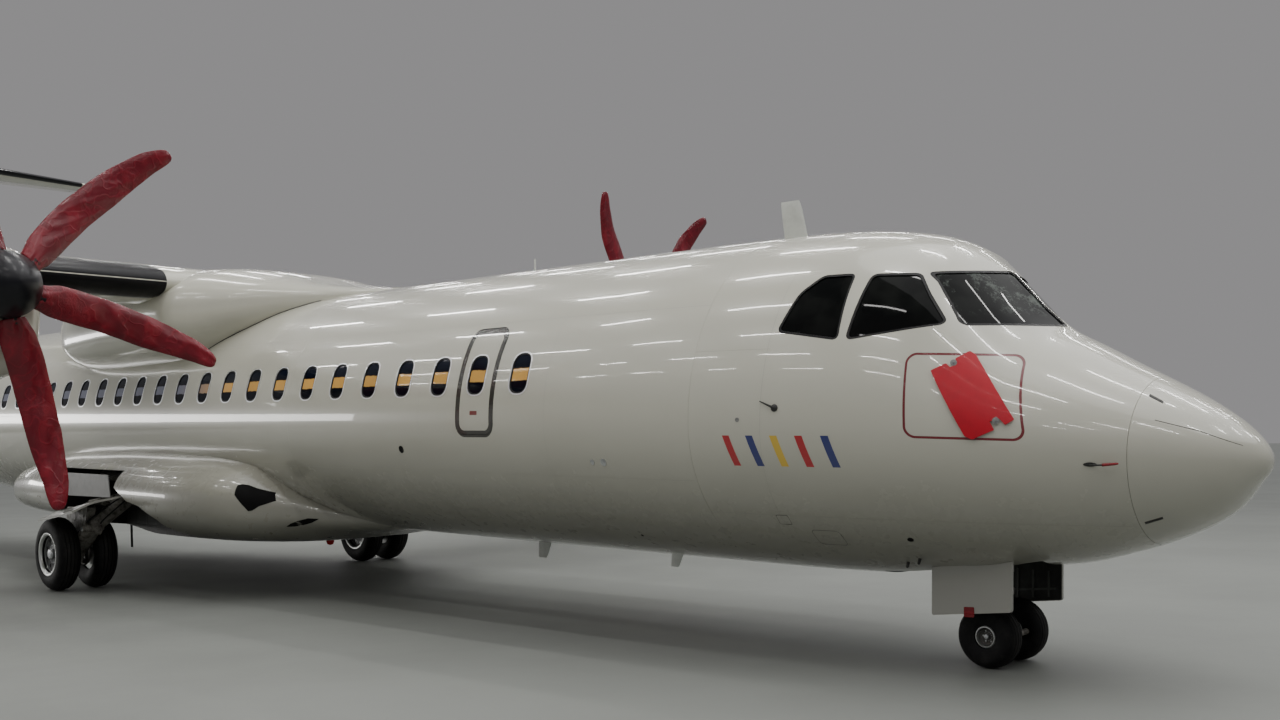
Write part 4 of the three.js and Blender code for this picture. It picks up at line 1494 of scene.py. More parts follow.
@dataclass(frozen=True)
class SmoothPlastic(Finish):
    """Plain painted or moulded plastic in one colour, with faint mottling and scuffs."""

    colour: Point = (0.5, 0.5, 0.5)
    roughness: float = 0.35
    glow: float = 0.0
    gloss: float = 0.2
    specular: float = 0.5

    def dress(self, shader: Shader) -> None:
        """Mottling, scuffs and a fine grain.

        Args:
            shader: the material under construction.
        """
        mottle = shader.noise(12, 4, 0.6)
        scuffs = shader.noise(70, 3, 0.7, shader.stretched((1, 1, 5))).fade(0.6, 0.75)
        colour = shader.mix(mottle.fade(0.4, 0.75) * 0.4, self.colour, shade_of(self.colour, 0.72))
        rough = mottle * 0.15 + scuffs * 0.15 + (self.roughness - 0.06)
        bump = shader.bump(shader.noise(180, 2), 0.0006, 0.4)
        shader.surface(
            Base_Color=colour, Roughness=rough, Normal=bump, Coat_Weight=self.gloss, Coat_Roughness=0.08,
            Emission_Color=self.colour, Emission_Strength=self.glow, Specular_IOR_Level=self.specular,
        )


@dataclass(frozen=True)
class RibbedPrimer(Finish):
    """Primed structure inside the bays, with frames and stringers, near black as painted shade for the bays' insides.
    """

    # near black: painted shade for the inside of the bays
    colour: Point = (0.016, 0.0155, 0.0135)
    pitch: float = 0.26

    def dress(self, shader: Shader) -> None:
        """Ribs as raised bands lit by a painted highlight, with soil beside them.

        Args:
            shader: the material under construction.
        """
        frames = shader.station.saw(self.pitch).fade(0.014, 0.008)
        shelves = shader.height.saw(0.19).fade(0.012, 0.007) * 0.7
        ribs = frames.most(shelves)
        soil = shader.noise(10, 5, 0.65).fade(0.4, 0.75)
        colour = shader.mix(soil * 0.6, self.colour, (0.009, 0.008, 0.006))
        # painted highlight: the ribs lighter than the primer between them
        colour = shader.mix(ribs * 0.5, colour, shade_of(self.colour, 1.7))
        rough = shader.noise(30, 3) * 0.2 + 0.45
        shader.surface(Base_Color=colour, Roughness=rough, Normal=shader.bump(ribs, 0.012, 0.8))


@dataclass(frozen=True)
class StudioFloor(Finish):
    """A plain pale floor with a slight sheen."""

    colour: Point = (0.25, 0.262, 0.245)

    def dress(self, shader: Shader) -> None:
        """Faint cloudiness.

        Args:
            shader: the material under construction.
        """
        cloud = shader.noise(0.35, 5, 0.6)
        colour = shader.mix(cloud.fade(0.35, 0.7), self.colour, shade_of(self.colour, 0.9))
        rough = shader.noise(0.8, 4, 0.6) * 0.2 + 0.42
        shader.surface(Base_Color=colour, Roughness=rough, Specular_IOR_Level=0.3)


RED_MARK = (0.16, 0.010, 0.016)
DARK_BAND = (0.036, 0.035, 0.028)

# the bays' primer, near black as painted shade
SHADED_BAY_PRIMER = RibbedPrimer("shaded_bay_primer")
HOLD_LINING = SmoothPlastic("hold_lining", (0.42, 0.42, 0.40), roughness=0.5)
CABIN_TRIM = SmoothPlastic("cabin_trim", (0.55, 0.54, 0.50), roughness=0.4)
JOINT_SEALANT = SmoothPlastic("joint_sealant", (0.05, 0.05, 0.048), roughness=0.5)
WINDOW_SEAL = MouldedRubber("window_seal", (0.010, 0.010, 0.011), roughness=0.42)
WINDOW_RIM = BrightMetal("window_rim", (0.86, 0.87, 0.88), roughness=0.32)
CABIN_GLASS = CabinGlass("cabin_glass")
DECK_GLASS = FlightDeckGlass("flight_deck_glass")
WINDSCREEN_GLASS = FlightDeckGlass("windscreen_glass", bright=True)
BOOT_RUBBER = MouldedRubber("boot_rubber", (0.003, 0.003, 0.005), roughness=0.30, dust=0.02, ribs=0.12)
GLOSS_BLACK = SmoothPlastic("gloss_black", (0.004, 0.004, 0.007), roughness=0.30, gloss=0.08, specular=0.3)
SOOTED_METAL = CastMetal(
    "sooted_metal", (0.20, 0.18, 0.16), soil=(0.03, 0.025, 0.02), metallic=0.85, roughness=0.4, soiling=0.6
)
BARE_ALUMINIUM = BrightMetal("bare_aluminium", (0.55, 0.56, 0.57), roughness=0.28, brushed=0.6)

FUSELAGE_SECTIONS = (
    (0, 1.700, 1.658, 0.021, 1.679), (0.012, 1.740, 1.612, 0.078, 1.679), (0.060, 1.812, 1.548, 0.168, 1.682),
    (0.200, 1.940, 1.367, 0.350, 1.688), (0.450, 2.103, 1.210, 0.527, 1.700), (0.800, 2.286, 1.073, 0.720, 1.727),
    (1.220, 2.505, 0.962, 0.900, 1.760),
    (1.330, 2.553, 0.951, 0.935, 1.769), (1.720, 2.943, 0.880, 1.068, 1.803), (1.950, 3.166, 0.866, 1.127, 1.821),
    (2.300, 3.289, 0.820, 1.209, 1.850), (2.800, 3.360, 0.795, 1.300, 1.883), (3.400, 3.385, 0.788, 1.375, 1.923),
    (4.500, 3.390, 0.788, 1.4325, 1.955), (17.500, 3.390, 0.788, 1.4325, 1.955), (19.500, 3.390, 0.900, 1.430, 1.970),
    (20.500, 3.388, 1.030, 1.410, 2.020), (22.000, 3.370, 1.420, 1.250, 2.240), (23.800, 3.290, 1.960, 0.880, 2.580),
    (25.300, 3.160, 2.400, 0.480, 2.780), (26.250, 3.020, 2.680, 0.180, 2.850),
)


@dataclass
class Cabin:
    """The pressure cabin's outer surface, from the nose tip to the tail cone."""

    sides: int = 112
    sections: Profile = field(default_factory=lambda: Profile(FUSELAGE_SECTIONS, True))

    def ring(self, station: float, grow: float = 0.0) -> Ring:
        """The section at a station, moved outwards by a distance.

        Args:
            station: how far aft of the nose tip.
            grow: how far it is moved outwards.

        Returns:
            The section's points.
        """
        top, bottom, half, waist = self.sections(station)
        outline = oval(half + grow, top - waist + grow, waist - bottom + grow, self.sides, 2, (0, waist))
        return [(-station, y, z + (self._crest(station, y) if z > waist else 0.0)) for y, z in outline]

    @staticmethod
    def _crest(station: float, side: float) -> float:
        """How far the post between the two windscreens stands above the smooth section."""
        share = float(np.interp(station, (1.22, 1.36, 1.66, 1.86), (0, 1, 1, 0)))
        return 0.052 * share * max(0.0, 1 - abs(side) / 0.30) ** 2

    def skin(self, start: float, end: float, grow: float = 0.0, tag: str = "skin") -> Shape:
        """The closed body between two stations."""
        marks = [s for s in self._stations() if start + 0.004 < s < end - 0.004]
        return loft([self.ring(s, grow) for s in (start, *marks, end)], tag)

    def shell(self, start: float, end: float, outer: float, inner: float, tag: str = "skin") -> Shape:
        """The skin between two depths, which are below 0 inside the surface."""
        return self.skin(start, end, outer, tag) - self.skin(start - 0.01, end + 0.01, inner, "inner")

    @staticmethod
    def _stations() -> list[float]:
        """Where the rings stand, closest together at the nose.

        Returns:
            The stations.
        """
        nose = [3.6 * (k / 44) ** 2 for k in range(1, 45)]
        middle = [3.7, 3.9, 4.1, 4.3, 4.5, *spread(5, 17.5, 18)]
        return [*nose, *middle, *spread(17.9, TAIL_END, 32)[:-1]]

    @staticmethod
    def half_width(station: float, height: float) -> float:
        """Half of the width at a height, between the table's rows on straight lines as the hinges lie.

        Args:
            station: how far aft of the nose tip.
            height: how far above the wheels' tread.

        Returns:
            The half width.
        """
        places = [row[0] for row in FUSELAGE_SECTIONS]
        top, bottom, half, waist = (
            float(np.interp(station, places, [row[k] for row in FUSELAGE_SECTIONS])) for k in range(1, 5)
        )
        reach = top - waist if height > waist else waist - bottom
        return half * math.sqrt(max(0.0, 1 - ((height - waist) / reach) ** 2))

    def on_skin(self, station: float, height: float, side: int, lift: float = 0.0) -> Matrix:
        """A frame on the side of the cabin, with X looking out of the skin, Y forward and Z up along it.

        Args:
            station: how far aft of the nose tip.
            height: how far above the wheels' tread.
            side: PORT or STARBOARD.
            lift: how far it stands off the skin.

        Returns:
            The frame.
        """
        y, across, upward = self._slope(station, height)
        step = 0.02
        forward = Vector((step, (self._slope(station - step, height)[0] - y) * side, 0)).normalized()
        around = Vector((0, -side * across, upward)).normalized()
        out = forward.cross(around) * -side
        if out.y * side < 0:
            out = -out
        place = Vector((-station, y * side, height)) + out * lift
        return axes(out, forward, out.cross(forward).normalized(), place)

    def _slope(self, station: float, height: float) -> Point:
        """The section's half width at a height, and which way its skin runs there, as across and up.

        Args:
            station: how far aft of the nose tip.
            height: how far above the wheels' tread.

        Returns:
            The half width, and the two parts of the direction.
        """
        top, bottom, half, waist = self.sections(station)
        reach = top - waist if height > waist else waist - bottom
        share = max(-1.0, min(1.0, (height - waist) / reach))
        level = math.sqrt(max(0.0, 1 - share * share))
        return half * level, half * share, reach * level

    def below(self, station: float, side: float, lift: float = 0.0) -> Matrix:
        """A frame on the belly, with X looking down out of the skin and Y forward.

        Args:
            station: how far aft of the nose tip.
            side: how far to port.
            lift: how far it stands off the skin.

        Returns:
            The frame.
        """
        _, bottom, half, waist = self.sections(station)
        depth = waist - bottom
        z = waist - depth * math.sqrt(max(0.0, 1 - (side / half) ** 2))
        out = Vector((0, side / half**2, (z - waist) / depth**2)).normalized()
        return axes(out, AHEAD, out.cross(AHEAD), Vector((-station, side, z)) + out * lift)


CABIN = Cabin()

WINDSCREEN = ((0.022, 2.576), (0.758, 2.562), (0.650, 2.920), (0.022, 2.958))
SIDE_WINDOW = ((1.768, 2.571), (2.030, 2.914), (2.325, 2.924), (2.349, 2.484))
REAR_WINDOW = ((2.428, 2.487), (2.467, 2.935), (2.685, 2.935), (2.796, 2.817), (2.866, 2.557))


@dataclass
class FlightDeckWindows:
    """Six panes of the flight deck in black seals, and the pockets that they sit in."""

    seal: float = 0.015
    seat: float = 0.030
    pane_top: float = -0.010
    pane_bottom: float = -0.024

    def pockets(self) -> Shape:
        """What the nose loses to the windows on both sides.

        Returns:
            The pockets.
        """
        deep = CABIN.skin(RADOME_END, NOSE_END, -self.seat, "pocket")
        tools = None
        for _, outline, is_front in self._panes():
            tool = self._tool(grown(outline, self.seal), is_front, "pocket") - deep
            tools = tool if tools is None else tools + tool
        return tools + tools.mirrored()

    def build(self) -> None:
        """Build each pane with its seal."""
        seal_shell = CABIN.shell(RADOME_END, NOSE_END, -0.0015, -self.seat + 0.002)
        glass_shell = CABIN.shell(RADOME_END, NOSE_END, self.pane_top, self.pane_bottom)
        for name, outline, is_front in self._panes():
            finish = WINDSCREEN_GLASS if is_front else DECK_GLASS
            rim = self._tool(grown(outline, self.seal - 0.0015), is_front) - self._tool(outline, is_front)
            seal = seal_shell & rim
            pane = glass_shell & self._tool(grown(outline, -0.0005), is_front)
            seal.place_both(f"{name}_seal_*", WINDOW_SEAL, Slot.BLACK)
            pane.place_both(f"{name}_pane_*", finish, Slot.GLASS, f"{name}_*")

    @staticmethod
    def _panes() -> list[tuple[str, list[Flat], bool]]:
        """Each pane's name, its outline with eased corners, and whether it faces forward.

        Returns:
            A row for each pane.
        """
        return [
            ("windshield", rounded(WINDSCREEN, 0.024), True),
            ("side_window", rounded(SIDE_WINDOW, 0.034), False),
            ("rear_side_window", rounded(REAR_WINDOW, 0.032), False),
        ]

    @staticmethod
    def _tool(outline: Sequence[Flat], is_front: bool, tag: str = "wall") -> Shape:
        """A prism through the port half of the nose."""
        return lengthways([outline], (1.25, 2.06), tag) if is_front else sideways([outline], NOSE_SIDE, tag)


@dataclass
class Nose:
    """The radome and the flight deck's skin, with the bay of the nose wheels."""

    bay: tuple[float, float, float, float] = (1.330, 2.560, 0.310, 1.420)
    joint: float = 0.0025

    def build(self) -> None:
        """Build the radome, the nose and the windows."""
        radome = CABIN.skin(0, RADOME_END - self.joint / 2)
        paint = AirframePaint("radome_paint", (), grime=0.6, roughness=0.18)
        radome.place("radome_shell", paint, Slot.PAINT, ["radome"])
        windows = FlightDeckWindows()
        nose = CABIN.skin(RADOME_END + self.joint / 2, NOSE_END - 0.0008)
        nose = nose - windows.pockets()
        start, end, half, roof = self.bay
        nose = nose - block((-end, -start), (-half, half), (0.4, roof), tag="bay")
        nose.place("nose_shell", self._finishes(), Slot.PAINT, ["fuselage_nose"])
        windows.build()

    def _finishes(self) -> Finishes:
        """The nose's paint with its red outline and stripes, its window seats and its bay.

        Returns:
            The finishes by tag.
        """
        seams = (
            Seam("station", 2.92, "height", 0.5, 3.3), Seam("height", 1.27, "station", 0.66, 3.52),
            Seam("station", 1.30, "height", 0.4, 1.27), Seam("height", 2.43, "station", 2.9, 3.52),
        )
        outlines = (
            Outline(
                (1.2335, 1.9195), (1.808, 2.362), 0.075, 0.0145, STARBOARD, RED_MARK, tilt=0.03, lean=0.142, taper=0.239
            ),
            Outline((2.86, 2.96), (1.20, 1.27), 0.012, 0.003, STARBOARD, DARK_BAND),
            Outline((2.52, 2.74), (1.06, 1.17), 0.03, 0.003, STARBOARD, DARK_BAND),
        )
        paint = AirframePaint("nose_paint", seams, outlines, stripes=True)
        return {
            "skin": paint, "pocket": WINDOW_SEAL, "bay": SHADED_BAY_PRIMER,
            "wall": JOINT_SEALANT,
        }


@dataclass
class CabinWindows:
    """The row of cabin windows in their bright rims."""

    width: float = 0.222
    tall: float = 0.334
    middle: float = 2.333
    corner: float = 0.100
    rim: float = 0.013
    gasket: float = 0.013
    seat: float = 0.020
    first: float = 6.424
    pitch: float = 0.537
    count: int = 24

    def stations(self) -> list[float]:
        """Where the windows stand, apart from the one in each exit."""
        return [5.360, *(self.first + self.pitch * k for k in range(self.count))]

    def outline(self, station: float, grow: float = 0.0) -> list[Flat]:
        """One window's outline.

        Args:
            station: how far aft of the nose tip.
            grow: how far it is moved outwards.

        Returns:
            The outline.
        """
        half, tall = self.width / 2 + grow, self.tall / 2 + grow
        return window_outline(
            (station - half, station + half), (self.middle - tall, self.middle + tall), self.corner + grow
        )

    def pockets(self, start: float, end: float, stations: Sequence[float]) -> Shape:
        """What the skin loses to windows on both sides.

        Args:
            start: where it begins.
            end: where it ends.
            stations: where the windows stand.

        Returns:
            The pockets.
        """
        tool = sideways([self.outline(s, self.rim) for s in stations], WINDOW_SIDE, "pocket")
        tool = tool - CABIN.skin(start, end, -self.seat, "pocket")
        return tool + tool.mirrored()

    def build(self, name: str, start: float, end: float, stations: Sequence[float]) -> None:
        """Build the panes and rims of one stretch of the cabin on both sides.

        Args:
            name: the stretch's name.
            start: where it begins.
            end: where it ends.
            stations: where the windows stand.
        """

        def tool(grow: float, reach: Flat = WINDOW_SIDE) -> Shape:
            """Prisms through the port windows, grown by a distance."""
            return sideways([self.outline(s, grow) for s in stations], reach)

        panes = CABIN.shell(start, end, -0.009, -self.seat + 0.001) & tool(0.0002)
        rims = (CABIN.shell(start, end, 0.0012, -self.seat + 0.001) & tool(self.rim - 0.0003)) - tool(0, PAST_SIDE)
        gaskets = (CABIN.shell(start, end, -0.0035, -0.0105) & tool(0.0001)) - tool(-self.gasket, PAST_SIDE)
        panes.place_both(f"{name}_panes_*", CABIN_GLASS, Slot.GLASS)
        rims.place_both(f"{name}_rims_*", WINDOW_RIM, Slot.GEAR)
        gaskets.place_both(f"{name}_gaskets_*", WINDOW_SEAL, Slot.BLACK)


CABIN_WINDOWS = CabinWindows()


@dataclass
class PlugPanel:
    """A plug door on one or both sides, flush with the skin, with a dark band painted round it."""

    name: str
    station: Flat
    height: Flat
    corner: float
    sides: tuple[tuple[int, str], ...] = SIDES
    depth: float = 0.060
    joint: float = 0.0035
    window: float | None = None

    def outline(self, grow: float = 0.0) -> list[Flat]:
        """The panel's outline.

        Args:
            grow: how far it is moved outwards.

        Returns:
            The outline.
        """
        low, high = self.height
        return window_outline(
            (self.station[0] - grow, self.station[1] + grow), (low - grow, high + grow), self.corner + grow
        )

    def pockets(self) -> Shape:
        """What the skin loses to the panels.

        Returns:
            The pockets.
        """
        tool = sideways([self.outline(self.joint)], PANEL_SIDE, "pocket")
        tool = tool - CABIN.skin(self.station[0] - 0.3, self.station[1] + 0.3, -self.depth, "pocket")
        if len(self.sides) == 1:
            return tool if self.sides[0][0] == PORT else tool.mirrored()
        return tool + tool.mirrored()

    def build(self, finishes: Finishes) -> None:
        """Build the panels, with a window where there is one.

        Args:
            finishes: its finishes by tag.
        """
        start, end = self.station[0] - 0.3, self.station[1] + 0.3
        panel = CABIN.shell(start, end, 0, -self.depth + 0.001) & sideways([self.outline()], PANEL_SIDE)
        if self.window is not None:
            tool = sideways([CABIN_WINDOWS.outline(self.window, CABIN_WINDOWS.rim)], PANEL_SIDE, "pocket")
            panel = panel - (tool - CABIN.skin(start, end, -CABIN_WINDOWS.seat, "pocket"))
            CABIN_WINDOWS.build(f"{self.name}_window", start, end, [self.window])
        for side, word in self.sides:
            here = panel if side == PORT else panel.mirrored()
            node = self.name if len(self.sides) == 1 else f"{self.name}_{word}"
            here.place(f"{node}_panel", finishes, Slot.PAINT, [node])


@dataclass
class HingedDoor:
    """A door in the port skin that swings about a barrel along its top or bottom edge."""

    name: str
    body: Body
    station: Flat
    height: Flat
    hinge_low: bool
    thickness: float = 0.090
    barrel: float = 0.035
    slot: float = 0.070
    pin: float = 0.014
    pin_length: float = 0.036

    def __post_init__(self) -> None:
        """Lay the hinge's frame from the rear end to the front one."""
        low, high = self.height
        level = low + self.barrel if self.hinge_low else high - self.barrel
        front, rear = (
            Vector((-s, CABIN.half_width(s, level) - self.barrel, level)) for s in self.station
        )
        self.level = level
        self.width = (front - rear).length
        self.hinge = frame_along(rear, front - rear, ABEAM)
        self.reach = (0.0, high - level) if self.hinge_low else (low - level, 0.0)

    def doorway(self) -> Shape:
        """What the cabin loses to the door, its barrel and its pins.

        Returns:
            The doorway.
        """
        along = (-MOVING_GAP, self.width + MOVING_GAP)
        opening = (self.reach[0] - MOVING_GAP, self.reach[1] + MOVING_GAP)
        room = self.barrel + MOVING_GAP
        ends = self.pin_length + MOVING_GAP
        return (
            block(along, (-0.4, 0.9), opening, self.hinge, "frame")
            + block(along, (-self.barrel, 0.9), (-self.slot, self.slot), self.hinge, "frame")
            + rod(along, room, self.hinge, 28, "frame")
            + rod((-ends, self.width + ends), self.pin + PIN_GAP, self.hinge, 20, "frame")
        )

    def build(self, finishes: Finishes) -> None:
        """Build the door with its barrel and pins, and the ribs inside it.

        Args:
            finishes: its finishes by tag.
        """
        start, end = self.station[0] - 0.15, self.station[1] + 0.15
        room = block((0, self.width), (-0.9, 0.9), self.reach, self.hinge, "edge")
        panel = CABIN.shell(start, end, 0, -self.thickness) & room
        panel = panel + rod((0, self.width), self.barrel, self.hinge, 28, "edge")
        panel = panel + rod((-self.pin_length, self.width + self.pin_length), self.pin, self.hinge, 20, "edge")
        panel.place(f"{self.name}_shell", finishes, Slot.PAINT, [self.name], self.body)
        self._trim(start, end)

    def _trim(self, start: float, end: float) -> None:
        """Ribs along the door's inner face.

        Args:
            start: where it begins.
            end: where it ends.
        """
        low, high = self.reach
        tall = high - low
        ribs = []
        for share in (0.22, 0.5, 0.78):
            z = low + tall * share
            ribs.append(block((0.06, self.width - 0.06), (-0.9, 0.9), (z - 0.022, z + 0.022), self.hinge, "rib"))
        tool = joined(ribs)
        layer = CABIN.shell(start, end, -self.thickness + 0.004, -self.thickness - 0.03)
        (layer & tool).place(f"{self.name}_ribs", CABIN_TRIM, Slot.PAINT, body=self.body)


EMERGENCY_EXIT = PlugPanel("emergency_exit", station=(5.660, 6.150), height=(1.830, 2.735), corner=0.110, window=5.910)
SERVICE_DOOR = PlugPanel(
    "service_door", station=(19.760, 20.400), height=(CABIN_SILL, 2.680), corner=0.090, sides=(SIDES[1],)
)
FREIGHT_DOOR = HingedDoor(
    "cargo_door", Body.FREIGHT_DOOR, station=(3.700, 4.980), height=(CABIN_SILL, 2.890), hinge_low=False
)
ENTRY_DOOR = HingedDoor(
    "passenger_door", Body.ENTRY_DOOR, station=(19.700, 20.420), height=(CABIN_SILL, 3.050), hinge_low=True
)


@dataclass
class Fuselage:
    """The cabin from behind the flight deck to the tail cone."""

    hold: tuple[Flat, Flat, Flat] = ((3.720, 4.960), (-0.900, 0.900), (CABIN_SILL, 2.850))
    vestibule: tuple[Flat, Flat, Flat] = ((19.720, 20.400), (-0.800, 0.950), (1.395, 2.980))
    joint: float = 0.0016
    clear: float = 0.2
    windows_end: float = 19.3

    def build(self) -> None:
        """Build the three lengths with their doors and windows."""
        self._front()
        self._centre()
        self._rear()

    @staticmethod
    def _room(room: tuple[Flat, Flat, Flat]) -> Shape:
        """A room's block, from its spans of station, side and height."""
        (start, end), width, tall = room
        return block((-end, -start), width, tall, tag="bay")

    def _length(
        self, name: str, start: float, end: float, cuts: Sequence[Shape], seams: Sequence[Seam],
        outlines: Sequence[Outline] = (),
    ) -> Finishes:
        """Build one length of the skin with its row of windows.

        Args:
            name: its name.
            start: where it begins.
            end: where it ends.
            cuts: the rooms and doors that it loses, in order.
            seams: its seams.
            outlines: its painted outlines.

        Returns:
            Its finishes by tag, for the doors in it.
        """
        last = end == TAIL_END
        windows_end = self.windows_end if last else end
        stations = [s for s in CABIN_WINDOWS.stations() if start + self.clear < s < windows_end - self.clear]
        skin = CABIN.skin(start + self.joint / 2, end if last else end - self.joint / 2)
        for cut in (*cuts, CABIN_WINDOWS.pockets(start, windows_end, stations)):
            skin = skin - cut
        paint = AirframePaint(f"{name}_paint", tuple(seams), tuple(outlines))
        dark = dict.fromkeys(("pocket", "wall", "edge"), JOINT_SEALANT)
        finishes = {"skin": paint, "bay": HOLD_LINING, "frame": CABIN_TRIM, "inner": CABIN_TRIM, **dark}
        skin.place(f"{name}_shell", finishes, Slot.PAINT, [f"fuselage_{name}"])
        CABIN_WINDOWS.build(name, start, windows_end, stations)
        return finishes

    def _front(self) -> None:
        """The length with the freight hold and the emergency exits."""
        cuts = [self._room(self.hold), FREIGHT_DOOR.doorway(), EMERGENCY_EXIT.pockets()]
        seams = [
            *(Seam("station", s, "height", 0.6, 3.25) for s in (5.02, 6.69)),
            *(Seam("height", z, "station", 3.52, 8.89) for z in (2.78, 1.50)),
        ]
        outlines = [
            Outline((5.648, 6.152), (1.806, 2.741), 0.118, 0.056, 0, DARK_BAND),
            Outline((5.861, 5.956), (1.994, 2.028), 0.006, 0.002, 0, (0.20, 0.03, 0.025), filled=True),
        ]
        finishes = self._length("front", NOSE_END, FRONT_END, cuts, seams, outlines)
        EMERGENCY_EXIT.build(finishes)
        FREIGHT_DOOR.build(finishes)

    def _centre(self) -> None:
        """The length below the wing."""
        seams = [
            *(Seam("station", s, "height", 0.6, 3.25, 0.0025) for s in (9.79, 11.54, 13.3, 15.0)),
            *(Seam("height", z, "station", 8.8, 15.8) for z in (2.78, 1.50)),
        ]
        self._length("centre", FRONT_END, CENTRE_END, [], seams)

    def _rear(self) -> None:
        """The length with the passenger and service doors and the tail cone."""
        cuts = [self._room(self.vestibule), ENTRY_DOOR.doorway(), SERVICE_DOOR.pockets()]
        seams = [
            *(Seam("station", s, "height", 0.6, 3.3, 0.0025) for s in (17.3, 19.3, 20.9, 22.4, 24.0)),
            Seam("height", 2.72, "station", 15.7, 22.4, 0.0025), Seam("height", 2.05, "station", 15.7, 22.4, 0.0022),
        ]
        door = Outline((19.735, 20.425), (1.335, 2.705), 0.11, 0.024, STARBOARD, DARK_BAND)
        finishes = self._length("rear", CENTRE_END, TAIL_END, cuts, seams, [door])
        SERVICE_DOOR.build(finishes)
        ENTRY_DOOR.build(finishes)


def foil(chord: float, thickness: float, camber: float = 0.0, count: int = 26, grow: float = 0.0) -> list[Flat]:
    """An aerofoil's outline as aft and up, from the trailing edge over the top and back below.

    Args:
        chord: its chord.
        thickness: its thickness as a share of the chord.
        camber: its rise in the middle.
        count: its number of points on each face.
        grow: how far it is moved outwards.

    Returns:
        The outline.
    """
    points = []
    for k in range(-count, count + 1):
        x = (1 - math.cos(math.pi * abs(k) / count)) / 2 if k else 0.0
        half = 5 * thickness * (0.2969 * math.sqrt(x) - 0.126 * x - 0.3516 * x * x + 0.2843 * x**3 - 0.1015 * x**4)
        points.append((x * chord, (4 * camber * x * (1 - x) + math.copysign(half, -k)) * chord))
    points = points[:-1] if abs(points[0][1] - points[-1][1]) < 1e-6 else points
    return grown(points, grow) if grow else points


